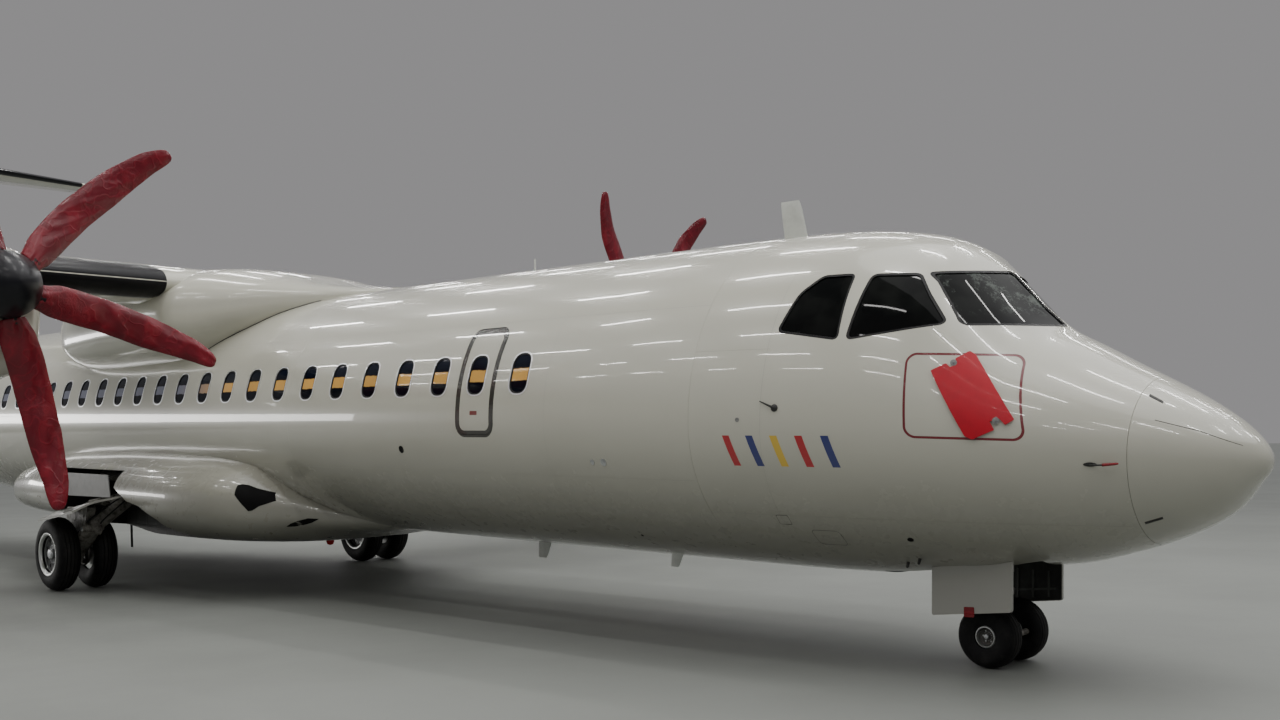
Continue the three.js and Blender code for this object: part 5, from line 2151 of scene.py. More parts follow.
@dataclass
class Wing:
    """The high wing: a level centre and two outer panels, with flaps, ailerons and de-icing boots."""

    half_span: float = 13.525
    inner_end: float = 4.600
    lead: float = 11.150
    tip_lead: float = 11.600
    chord: float = 2.570
    tip_chord: float = 1.590
    level: float = 3.530
    incidence: float = math.radians(2)
    dihedral: float = math.radians(2.5)
    thickness: Flat = (0.18, 0.13)
    camber: float = 0.02
    flap_part: float = 0.72
    flap_drop: float = 0.300
    flap_arm: float = 0.026
    flap_pin: float = 0.016
    inner_flap: Flat = (1.680, 3.480)
    outer_flap: Flat = (4.680, 9.330)
    aileron: Flat = (9.420, 13.060)
    aileron_part: float = 0.74
    aileron_nose: float = 0.095
    boot_part: float = 0.115
    arm_outline: tuple[Flat, ...] = (
        (-0.026, -0.026), (0.026, -0.026), (0.420, 0.262), (0.060, 0.285), (-0.026, 0.026),
    )
    bracket_outline: tuple[Flat, ...] = (
        (-0.520, 0.250), (-0.420, 0.120), (-0.034, -0.034), (0.034, -0.034), (0.034, 0.030), (-0.030, 0.240),
    )

    def at(self, y: float) -> tuple[float, float, float, float]:
        """The leading edge, height, chord and thickness at a distance from the centre.

        Args:
            y: the distance to port of the centre line.

        Returns:
            The four values.
        """
        out = max(0.0, abs(y) - self.inner_end)
        part = out / (self.half_span - self.inner_end)
        lead = self.lead + (self.tip_lead - self.lead) * part
        chord = self.chord + (self.tip_chord - self.chord) * part
        thick = self.thickness[0] + (self.thickness[1] - self.thickness[0]) * part
        return lead, self.level + out * math.tan(self.dihedral), chord, thick

    def spot(self, y: float, aft: float, up: float) -> Point:
        """A point of the section at y.

        Args:
            y: the distance to port of the centre line.
            aft: how far along the chord.
            up: how far above it.

        Returns:
            The point.
        """
        lead, height, _, _ = self.at(y)
        c, s = math.cos(self.incidence), math.sin(self.incidence)
        return -lead - aft * c - up * s, y, height - aft * s + up * c

    def ring(self, y: float, grow: float = 0.0, shrink: float = 1.0) -> Ring:
        """The section at y.

        Args:
            y: the distance to port of the centre line.
            grow: how far it is moved outwards.
            shrink: its chord as a share of the full one.

        Returns:
            The section's points.
        """
        _, _, chord, thick = self.at(y)
        shift = chord * (1 - shrink) / 2
        return [self.spot(y, a + shift, u) for a, u in foil(chord * shrink, thick, self.camber, grow=grow)]

    def mean(self, y: float, part: float) -> Vector:
        """A point on the section's mean line."""
        _, _, chord, _ = self.at(y)
        return Vector(self.spot(y, chord * part, 4 * self.camber * part * (1 - part) * chord))

    def cutter(self, grow: float = 0.001) -> Shape:
        """The centre wing as a cutter.

        Args:
            grow: how far it is moved outwards.

        Returns:
            The shape.
        """
        reach = self.inner_end + 0.01
        return loft([
            [(x, y, z) for x, _, z in self.ring(self.inner_end, grow)] for y in (-reach, reach)
        ])

    def build(self) -> None:
        """Build both halves."""
        centre = loft([self.ring(y) for y in (-self.inner_end, -1.5, 1.5, self.inner_end)])
        flap, rest = self._swept_flap(centre, *self.inner_flap)
        rest = self._swept_flap(rest.mirrored(), *self.inner_flap)[1].mirrored()
        rest.place("wing_centre_shell", self._finishes("wing_centre_paint"), Slot.PAINT, ["wing_centre"])
        self._pair(flap, "inner_flap_*", True)
        curve = self.half_span - 0.3
        ends = [(y, 1.0) for y in (self.inner_end + SEAT_GAP, 7.0, 10.0, curve)]
        tips = [(curve + 0.3 * math.sin(a), 0.72 + 0.28 * math.cos(a)) for a in spread(0.2, math.pi / 2, 7)]
        panel = loft([self.ring(y, 0, shrink) for y, shrink in [*ends, *tips]])
        flap, rest = self._swept_flap(panel, *self.outer_flap)
        self._pair(flap, "outer_flap_*", True)
        hinge = [self.mean(y, self.aileron_part) for y in self.aileron]
        aileron, rest = hinged_surface(rest, *hinge, self.aileron_nose)
        self._pair(aileron, "aileron_*", True)
        self._pair(rest, "outer_wing_*", False)
        self._boots()

    def _finishes(self, name: str = "wing_paint") -> Finishes:
        """The wing's finishes by tag.

        Args:
            name: the paint's name.

        Returns:
            The finishes.
        """
        places = (-3.0, 3.0, 6.2, -6.2, 9.38, -9.38, 11.6, -11.6)
        seams = [Seam("side", y, "station", 11.4, 13.2, 0.0025) for y in places]
        seams += [Seam("station", s, "side", -13.3, 13.3, 0.0025) for s in (11.62, 12.30)]
        paint = AirframePaint(name, tuple(seams), (), grime=0.5)
        return {"skin": paint, "wall": JOINT_SEALANT, "edge": BARE_ALUMINIUM}

    def _pair(self, shape: Shape, name: str, moving: bool) -> None:
        """Place a port piece and its twin, which ride on bodies of their own name where they move."""
        shape.place_both(f"{name}_shell", self._finishes(), Slot.PAINT, name, name if moving else Body.AIRFRAME)

    def _swept_flap(self, parent: Shape, y0: float, y1: float) -> tuple[Shape, Shape]:
        """Cut a flap off a panel and hang it on arms.

        Args:
            parent: the panel.
            y0: where the flap begins.
            y1: where it ends.

        Returns:
            The flap, and the panel without it.
        """
        start, end = self.mean(y0, self.flap_part), self.mean(y1, self.flap_part)
        length = (end - start).length
        front = frame_along(start, end - start, Vector((-1, 0, 0)))
        axis = front @ Matrix.Translation((0, 0, -self.flap_drop))
        cut = (MOVING_GAP, length - MOVING_GAP)
        flap = parent & block(cut, (0, 2), (-0.7, 0.7), front, "wall")
        rest = parent - block((0, length), (-MOVING_GAP, 2), (-0.7, 0.7), front, "wall")
        for share in (0.2, 0.8):
            at = length * share
            back = at - self.flap_arm - MOVING_GAP
            flap = flap + self._plate(self.arm_outline, (at, at + self.flap_arm), axis)
            flap = flap + rod((back, at + 0.004), self.flap_pin, axis, 20, "edge")
            rest = rest + self._plate(self.bracket_outline, (back, at - MOVING_GAP), axis)
            rest = rest - rod((back - MOVING_GAP, at), self.flap_pin + PIN_GAP, axis, 20, "edge")
        return flap, rest

    @staticmethod
    def _plate(outline: Sequence[Flat], span: Flat, axis: Matrix) -> Shape:
        """A plate across the hinge line."""
        return prisms([outline], span, lambda aft, up, along: tuple(axis @ Vector((along, aft, up))), "edge")

    def _boots(self) -> None:
        """Build the black rubber boots along both leading edges."""
        rings = []
        inner = [1.585, 1.60, 1.64, 1.72]
        reaches = [0.35, 0.62, 0.86, 1.0]
        stations = [*zip(inner, reaches), *((y, 1.0) for y in (2.5, 4.6, 6.5, 8.5, 10.5, 12.3, 13.15)), (13.2, 0.8)]
        for y, share in stations:
            _, _, chord, thick = self.at(y)
            part = self.boot_part * share
            outer, inside = [], []
            for k in range(-14, 15):
                x = part * (k / 14) ** 2
                half = 5 * thick * (0.2969 * math.sqrt(x) - 0.126 * x - 0.3516 * x * x + 0.2843 * x**3)
                rise = 4 * self.camber * x * (1 - x) - math.copysign(half, k)
                lift = 0.0022 * min(1.0, (14 - abs(k)) / 1.5)
                slope = math.atan2(half * (1 if k <= 0 else -1), x + 0.004) if k else math.pi
                off = -math.copysign(lift * min(1.0, x * 60), k)
                outer.append(self.spot(y, x * chord - lift * math.cos(slope) * 0.9, rise * chord + off))
                inside.append(self.spot(y, x * chord + 0.012, rise * chord * 0.94))
            rings.append([*outer, *reversed(inside)])
        loft(rings, sharp=50).place_both("wing_boot_*", BOOT_RUBBER, Slot.BOOT)


def hinged_surface(parent: Shape, start: Vector, end: Vector, nose: float) -> tuple[Shape, Shape]:
    """Cut a control surface with a rounded nose out of its parent, with a pin at each end.

    Args:
        parent: the wing, fin or stabilizer.
        start: one end of the hinge line.
        end: its other end.
        nose: the nose's radius.

    Returns:
        The surface, and the parent without it.
    """
    hinge = frame_along(start, end - start, Vector((-1, 0, 0)))
    length = (end - start).length
    cut = (MOVING_GAP, length - MOVING_GAP)
    blade = block(cut, (0, 4), (-0.7, 0.7), hinge) + rod(cut, nose, hinge, 48)
    notch = block((0, length), (0, 4), (-0.7, 0.7), hinge) + rod((0, length), nose + MOVING_GAP, hinge, 48)
    pins = rod((-0.04, length + 0.04), 0.012, hinge, 20, "edge")
    bores = rod((-0.05, length + 0.05), 0.0124, hinge, 20, "edge")
    return (parent & blade) + pins, parent - notch - bores


WING = Wing()

FAIRING_POWER = 2.7
WING_FAIRING = (
    (8.900, 0.200, 3.330, 0.080, 0.200), (9.500, 0.420, 3.330, 0.130, 0.200), (10.100, 0.800, 3.300, 0.250, 0.230),
    (10.400, 1.080, 3.260, 0.360, 0.330), (10.800, 1.330, 3.210, 0.500, 0.450), (11.250, 1.640, 3.150, 0.630, 0.550),
    (11.900, 1.660, 3.100, 0.730, 0.560), (12.800, 1.660, 3.080, 0.770, 0.560), (13.900, 1.600, 3.060, 0.690, 0.550),
    (14.800, 1.300, 3.100, 0.500, 0.430), (15.600, 0.620, 3.220, 0.220, 0.260),
)
BELLY_FAIRING = (
    (8.500, 0.520, 0.915, 0.060, 0.118), (8.800, 0.760, 0.940, 0.110, 0.170), (9.150, 1.120, 0.995, 0.225, 0.262),
    (9.480, 1.520, 1.040, 0.410, 0.385), (9.800, 1.790, 1.070, 0.520, 0.455), (10.800, 1.930, 1.080, 0.590, 0.515),
    (12.540, 1.970, 1.080, 0.610, 0.540), (13.300, 1.955, 1.080, 0.605, 0.470), (14.000, 1.930, 1.080, 0.590, 0.430),
    (15.400, 1.700, 1.050, 0.480, 0.390), (16.700, 1.200, 0.980, 0.280, 0.270), (17.600, 0.660, 0.900, 0.090, 0.110),
)


@dataclass
class Fairings:
    """The fairing that carries the wing on the crown, and the belly fairing with the main wheel bays."""

    power: float = FAIRING_POWER
    sides: int = 96
    bay: tuple[Flat, ...] = (
        (11.750, 1.400), (11.750, 1.210), (11.610, 1.150), (11.430, 1.070), (11.130, 1.020), (10.830, 0.885),
        (10.700, 0.640), (10.700, 0.200), (13.450, 0.200), (13.450, 1.400),
    )
    bay_inner: float = 1.060

    def build(self) -> None:
        """Build both fairings."""
        cabin = CABIN.skin(NOSE_END, 19.0, SEAT_GAP)
        upper = self.skin(WING_FAIRING) - cabin - WING.cutter() - self._flap_rooms()
        seams = (
            Seam("station", 11.25, "height", 2.4, 4.2, 0.002), Seam("station", 13.9, "height", 2.4, 4.2, 0.002),
            Seam("height", 2.95, "station", 11.3, 15, 0.002),
        )
        paint = AirframePaint("wing_fairing_paint", seams)
        finishes = {"skin": paint, "wall": JOINT_SEALANT}
        upper.place("wing_fairing_shell", finishes, Slot.PAINT, ["wing_fairing"])
        belly = self.skin(BELLY_FAIRING) - cabin
        half = belly & block((-19, -6), (SEAT_GAP / 2, 2.5), (0, 2.5))
        half = half - sideways([self.bay], (self.bay_inner, 2.6), "bay")
        seams = (
            Seam("station", 11.9, "height", 0.4, 1.8, 0.002), Seam("station", 14.0, "height", 0.4, 1.8, 0.002),
        )
        paint = AirframePaint("belly_fairing_paint", seams, grime=1.3)
        finishes = {"skin": paint, "bay": SHADED_BAY_PRIMER, "wall": JOINT_SEALANT}
        half.place_both("belly_fairing_*_shell", finishes, Slot.PAINT, "belly_fairing_*")
        self._sealant()

    def _sealant(self) -> None:
        """A dark bead where the wing fairing's front half meets the cabin."""
        sections = Profile(WING_FAIRING)
        points = [self._meeting(sections, s) for s in spread(9.7, 11.4, 16)]
        pipe(points, 0.0065, 8, 4).place_both("fairing_bead_*", JOINT_SEALANT, Slot.BLACK)

    def _meeting(self, sections: Profile, station: float) -> Vector:
        """The point of the port side where a fairing's skin leaves the cabin's at a station.

        Args:
            sections: the fairing's sections.
            station: how far aft of the nose tip.

        Returns:
            The point.
        """
        half, middle, _, down = sections(station)
        for z in spread(middle - down + 0.001, middle, 240):
            y = half * (1 - ((middle - z) / down) ** self.power) ** (1 / self.power)
            if y > CABIN.half_width(station, z):
                return Vector((-station, y, z))
        return Vector((-station, half, middle))

    def skin(self, table: Sequence[Sequence[float]]) -> Shape:
        """A closed fairing through a table's sections.

        Args:
            table: the sections.

        Returns:
            The shape.
        """
        sections = Profile(table)
        rings = []
        for station in spread(table[0][0], table[-1][0], 60):
            half, middle, up, down = sections(station)
            rings.append([(-station, y, z) for y, z in oval(half, up, down, self.sides, self.power, (0, middle))])
        return loft(rings)

    @staticmethod
    def _flap_rooms() -> Shape:
        """Room for the inner flaps to swing beside the fairing."""
        port = block((-14.4, -12.9), (1.670, 2.4), (2.2, 3.9))
        return port + port.mirrored()


NACELLE_SECTIONS = (
    (9.150, 0.330, 3.100, 0.330, 0.580), (9.420, 0.465, 3.080, 0.430, 0.710), (9.900, 0.520, 3.060, 0.470, 0.760),
    (10.900, 0.545, 3.050, 0.500, 0.770), (12.000, 0.530, 3.040, 0.470, 0.730), (13.100, 0.400, 3.060, 0.330, 0.540),
    (13.900, 0.190, 3.110, 0.180, 0.270),
)
PROP_STATION = 8.974
PROP_OUT = 4.050
PROP_HEIGHT = 3.118
ENGINE_SHAFT = (9.120, 0.160, 0.060)


@dataclass
class Nacelles:
    """The engine nacelles below the wing, with chin intakes and exhaust pipes."""

    power: float = 3.0
    engine: tuple[float, float, float, float, float] = (9.480, 2.134, 0.679, 0.838, 2.900)
    shaft: tuple[float, float, float] = ENGINE_SHAFT

    def build(self) -> None:
        """Build the port nacelle and mirror it."""
        sections = Profile(NACELLE_SECTIONS)
        rings = []
        for station in [9.150, 9.162, 9.19, 9.24, *spread(9.30, 13.9, 44)]:
            half, middle, up, down = sections(station)
            ease = 1 - 0.10 * max(0.0, 1 - (station - 9.15) / 0.05) ** 2
            section = oval(half * ease, up * ease, down * ease, 80, self.power, (PROP_OUT, middle))
            rings.append([(-station, y, z) for y, z in section])
        shell = loft(rings)
        start, length, width, tall, middle = self.engine
        across, upward = width / 2 + SEAT_GAP, tall / 2 + SEAT_GAP
        room = block(
            (-start - length - SEAT_GAP, -start + SEAT_GAP), (PROP_OUT - across, PROP_OUT + across),
            (middle - upward, middle + upward), tag="inside",
        )
        tail = Vector((-start - length - 0.5, PROP_OUT + 0.9, middle - 0.15))
        mouth = Vector((-start - length + 0.2, PROP_OUT + 0.15, middle))
        exhaust = strut(mouth, tail, 0.130, tag="inside")
        intake = loft([
            [(-s, y, z) for y, z in oval(0.21, 0.07, 0.08, 40, 2.4, (PROP_OUT, PROP_HEIGHT - 0.44))]
            for s in (9.05, 9.46)
        ], "inside")
        back, reach, radius = self.shaft
        shaft = Matrix.Translation((-back, PROP_OUT, PROP_HEIGHT))
        bore = rod((-reach - 0.01, 0.1), radius + PIN_GAP, shaft, 32, "inside")
        flap_room = block((-14.4, -12.96), (PROP_OUT + 0.56, 4.7), (2.2, 3.9))
        shell = shell - room - exhaust - intake - bore - WING.cutter() - flap_room
        seams = [
            Seam("station", s, "height", 2.2, 3.7, 0.003) for s in (9.52, 10.35, 11.15, 12.1, 13.0)
        ] + [Seam("height", 3.12, "station", 9.2, 13.2, 0.003), Seam("height", 2.62, "station", 9.5, 12.1, 0.003)]
        paint = AirframePaint("nacelle_paint", tuple(seams), (), grime=0.8)
        finishes = {"skin": paint, "inside": SOOTED_METAL, "wall": JOINT_SEALANT}
        shell.place_both("nacelle_*_shell", finishes, Slot.PAINT, "nacelle_*")
        self._exhaust(mouth, tail).place_both("exhaust_*", SOOTED_METAL, Slot.ENGINE)
        self._intake_lip().place_both("intake_lip_*", BARE_ALUMINIUM, Slot.ENGINE)
        self._engine().place_both("engine_*", SOOTED_METAL, Slot.ENGINE, "engine_block_*")

    @staticmethod
    def _exhaust(mouth: Vector, tail: Vector) -> Shape:
        """An exhaust pipe that stands a little proud of the cowl, cut square to its line.

        Args:
            mouth: where it leaves the engine.
            tail: where it points.

        Returns:
            The shape.
        """
        along = (tail - mouth).normalized()
        matrix = frame_along(mouth, along, ABEAM)
        end = 0.70
        profile = [(0.05, 0.112), (end, 0.112), (end + 0.006, 0.118), (end, 0.126), (0.05, 0.126)]
        return turned(profile, matrix, 48, closed=True)

    @staticmethod
    def _intake_lip() -> Shape:
        """A bright rolled lip round the chin intake.

        Returns:
            The shape.
        """
        rings = []
        for angle in spread(0, 2 * math.pi, 13)[:-1]:
            out, fore = 0.018 * math.cos(angle), 0.016 * math.sin(angle)
            section = oval(0.218 + out, 0.078 + out, 0.088 + out, 48, 2.4, (PROP_OUT, PROP_HEIGHT - 0.44))
            rings.append([(-9.168 + fore, y, z) for y, z in section])
        return solid([p for ring in rings for p in ring], ring_faces(len(rings), len(rings[0]), True))

    def _engine(self) -> Shape:
        """A simple cased engine that fills the cowl, with stepped casings.

        Returns:
            The shape.
        """
        start, length, width, tall, middle = self.engine
        matrix = Matrix.Translation((-start - length, PROP_OUT, middle))
        radius = min(width, tall) / 2 - 0.01
        steps = ((0, 0.7), (0.25, 0.72), (0.27, 0.9), (0.7, 0.92), (0.72, 1.0), (1.3, 1.0), (1.32, 0.8), (1.8, 0.75),
                 (1.82, 0.55), (length, 0.5))
        return turned([(x, radius * r) for x, r in steps], matrix, 40)


@dataclass
class Tail:
    """The fin with its rudder, and the stabilizer on top of it with its elevators."""

    fin: tuple[tuple[float, ...], ...] = ((3.000, 21.150, 4.900, 0.10), (7.190, 24.480, 2.400, 0.11))
    dorsal: tuple[tuple[float, ...], ...] = ((3.100, 18.400, 5.600, 0.035), (4.450, 22.200, 1.900, 0.09))
    rudder_hinge: tuple[Flat, Flat] = ((24.560, 3.830), (25.700, 6.990))
    rudder_nose: float = 0.175
    half_span: float = 3.655
    level: float = 7.265
    elevator_station: float = 26.550
    elevator: Flat = (0.150, 3.480)
    elevator_nose: float = 0.070
    root_chord: float = 2.05
    chord_loss: float = 0.9
    hinge_part: float = 0.7

    def build(self) -> None:
        """Build the fin, rudder, stabilizer and elevators."""
        tall, long = (loft([self._upright(row) for row in self._rows(table)]) for table in (self.fin, self.dorsal))
        fin = (tall + long) - CABIN.skin(17.6, TAIL_END, SEAT_GAP)
        low, high = (Vector((-s, 0, z)) for s, z in self.rudder_hinge)
        rudder, fin = hinged_surface(fin, low, high, self.rudder_nose)
        fin = fin - self._stabilizer(SEAT_GAP)
        finishes = self._finishes()
        fin.place("fin_shell", finishes, Slot.PAINT, ["fin"])
        rudder.place("rudder_shell", finishes, Slot.PAINT, ["rudder"], Body.RUDDER)
        ends = [Vector((-self.elevator_station, y, self.level)) for y in self.elevator]
        elevator, rest = hinged_surface(self._stabilizer(), *ends, self.elevator_nose)
        rest = hinged_surface(rest.mirrored(), *ends, self.elevator_nose)[1]
        rest.place("stabilizer_shell", finishes, Slot.PAINT, ["stabilizer"])
        elevator.place_both("elevator_*_shell", finishes, Slot.PAINT, "elevator_*", "elevator_*")
        self._boots()

    @staticmethod
    def _finishes() -> Finishes:
        """The tail's finishes by tag.

        Returns:
            The finishes.
        """
        seams = [Seam("height", z, "station", 18, 26.9, 0.003) for z in (4.2, 5.2, 6.2)]
        seams.append(Seam("station", 23.4, "height", 3.2, 4.6, 0.003))
        paint = AirframePaint("tail_paint", tuple(seams), (), grime=0.4)
        return {"skin": paint, "wall": JOINT_SEALANT, "edge": BARE_ALUMINIUM}

    @staticmethod
    def _rows(table: Sequence[Sequence[float]]) -> list[tuple[float, ...]]:
        """A few sections between the two of a table."""
        return [tuple(a + (b - a) * t for a, b in zip(*table)) for t in spread(0, 1, 4)]

    @staticmethod
    def _upright(row: Sequence[float]) -> Ring:
        """An upright section."""
        height, lead, chord, thick = row
        return [(-lead - aft, out, height) for aft, out in foil(chord, thick)]

    def _plan(self, y: float, shrink: float = 1.0) -> Flat:
        """The stabilizer's chord at a distance from the centre, and where its leading edge stands."""
        chord = (self.root_chord - self.chord_loss * abs(y) / self.half_span) * shrink
        return chord, self.elevator_station - self.hinge_part * chord

    def _ring(self, y: float, grow: float = 0.0, shrink: float = 1.0) -> Ring:
        """A section of the stabilizer."""
        chord, lead = self._plan(y, shrink)
        return [(-lead - aft, y, self.level + up) for aft, up in foil(chord, 0.11, grow=grow)]

    def _stabilizer(self, grow: float = 0.0) -> Shape:
        """The whole stabilizer from tip to tip.

        Args:
            grow: how far it is moved outwards.

        Returns:
            The shape.
        """
        curve = self.half_span - 0.15
        port = [(0.0, 1.0), (curve, 1.0)]
        port += [(curve + 0.15 * math.sin(a), 0.75 + 0.25 * math.cos(a)) for a in spread(0.25, math.pi / 2, 6)]
        rows = [(-y, shrink) for y, shrink in reversed(port[1:])] + port
        return loft([self._ring(y, grow, shrink) for y, shrink in rows])

    def _boots(self) -> None:
        """Black boots along the stabilizer's leading edges."""
        for side, word in SIDES:
            rings = []
            for y in (0.35, 1.2, 2.4, 3.42):
                chord, lead = self._plan(y)
                outer, inside = [], []
                for k in range(-10, 11):
                    x = 0.09 * (k / 10) ** 2
                    half = 0.55 * (0.2969 * math.sqrt(x) - 0.126 * x - 0.3516 * x * x)
                    rise = math.copysign(half, k) * chord
                    lift = 0.0022 * min(1.0, (10 - abs(k)) / 1.5)
                    near = max(0.0, 1 - x * 60)
                    off = math.copysign(lift, k) * (1 - near)
                    outer.append((-lead - x * chord + lift * near, side * y, self.level + rise + off))
                    inside.append((-lead - x * chord - 0.008, side * y, self.level + rise * 0.9))
                rings.append([*outer, *reversed(inside)])
            boot = loft(rings, sharp=50)
            boot.place(f"tail_boot_{word}", BOOT_RUBBER, Slot.BOOT)


RED_CLOTH = CoverCloth("red_cover_cloth")
RED_TAG = CoverCloth("red_tag_cloth", (0.20, 0.004, 0.010), light=(0.28, 0.010, 0.018))
RED_PLATE = SmoothPlastic("red_plate", (0.50, 0.004, 0.020), roughness=0.34, gloss=0.04, specular=0.35)
BLADE_COMPOSITE = SmoothPlastic("blade_composite", (0.025, 0.025, 0.028), roughness=0.4)
GEAR_CASTING = CastMetal(
    "gear_casting", (0.24, 0.23, 0.205), soil=(0.035, 0.028, 0.020), roughness=0.40, soiling=0.95
)
GEAR_DARK = CastMetal(
    "gear_dark", (0.030, 0.031, 0.029), soil=(0.012, 0.010, 0.008), metallic=0.2, roughness=0.45, soiling=0.6
)
DOOR_RIB = CastMetal(
    "door_rib", (0.075, 0.078, 0.072), soil=(0.02, 0.018, 0.015), metallic=0.1, roughness=0.42, soiling=0.4
)
DISC_GREY = CastMetal(
    "disc_grey", (0.16, 0.165, 0.165), soil=(0.03, 0.028, 0.024), metallic=0.3, roughness=0.4, soiling=0.7
)
CHROME = BrightMetal("shock_chrome", (0.75, 0.75, 0.76), roughness=0.08, brushed=0.1)
RIM_PAINT = CastMetal(
    "rim_paint", (0.38, 0.38, 0.36), soil=(0.10, 0.085, 0.07), metallic=0.2, roughness=0.36, soiling=0.4
)
BRAKE_STEEL = CastMetal(
    "brake_steel", (0.10, 0.095, 0.09), soil=(0.03, 0.025, 0.02), metallic=0.8, roughness=0.4, soiling=0.5
)
HOSE_RUBBER = MouldedRubber("hose_rubber", (0.015, 0.015, 0.016), roughness=0.5, dust=0.3)
FITTING_GREY = SmoothPlastic("fitting_grey", (0.20, 0.20, 0.195), roughness=0.4)
FITTING_WHITE = SmoothPlastic("fitting_white", (0.60, 0.62, 0.58), roughness=0.3)
# near black for openings: painted shade for the dark inside of inlets, ports, drains and holes
SHADED_OPENING = SmoothPlastic("painted_opening_shade", (0.004, 0.004, 0.004), roughness=0.6, gloss=0.0, specular=0.12)
CLEAR_LENS = SmoothPlastic("clear_lens", (0.35, 0.36, 0.37), roughness=0.06, gloss=1.0)
RED_LENS = SmoothPlastic("red_lens", (0.35, 0.01, 0.008), roughness=0.08, glow=0.05, gloss=1.0)
GREEN_LENS = SmoothPlastic("green_lens", (0.01, 0.20, 0.06), roughness=0.08, glow=0.05, gloss=1.0)
DOOR_GREY = AirframePaint("gear_door_paint", colour=(0.47, 0.465, 0.42), grime=0.3, roughness=0.24, shade=0.3)


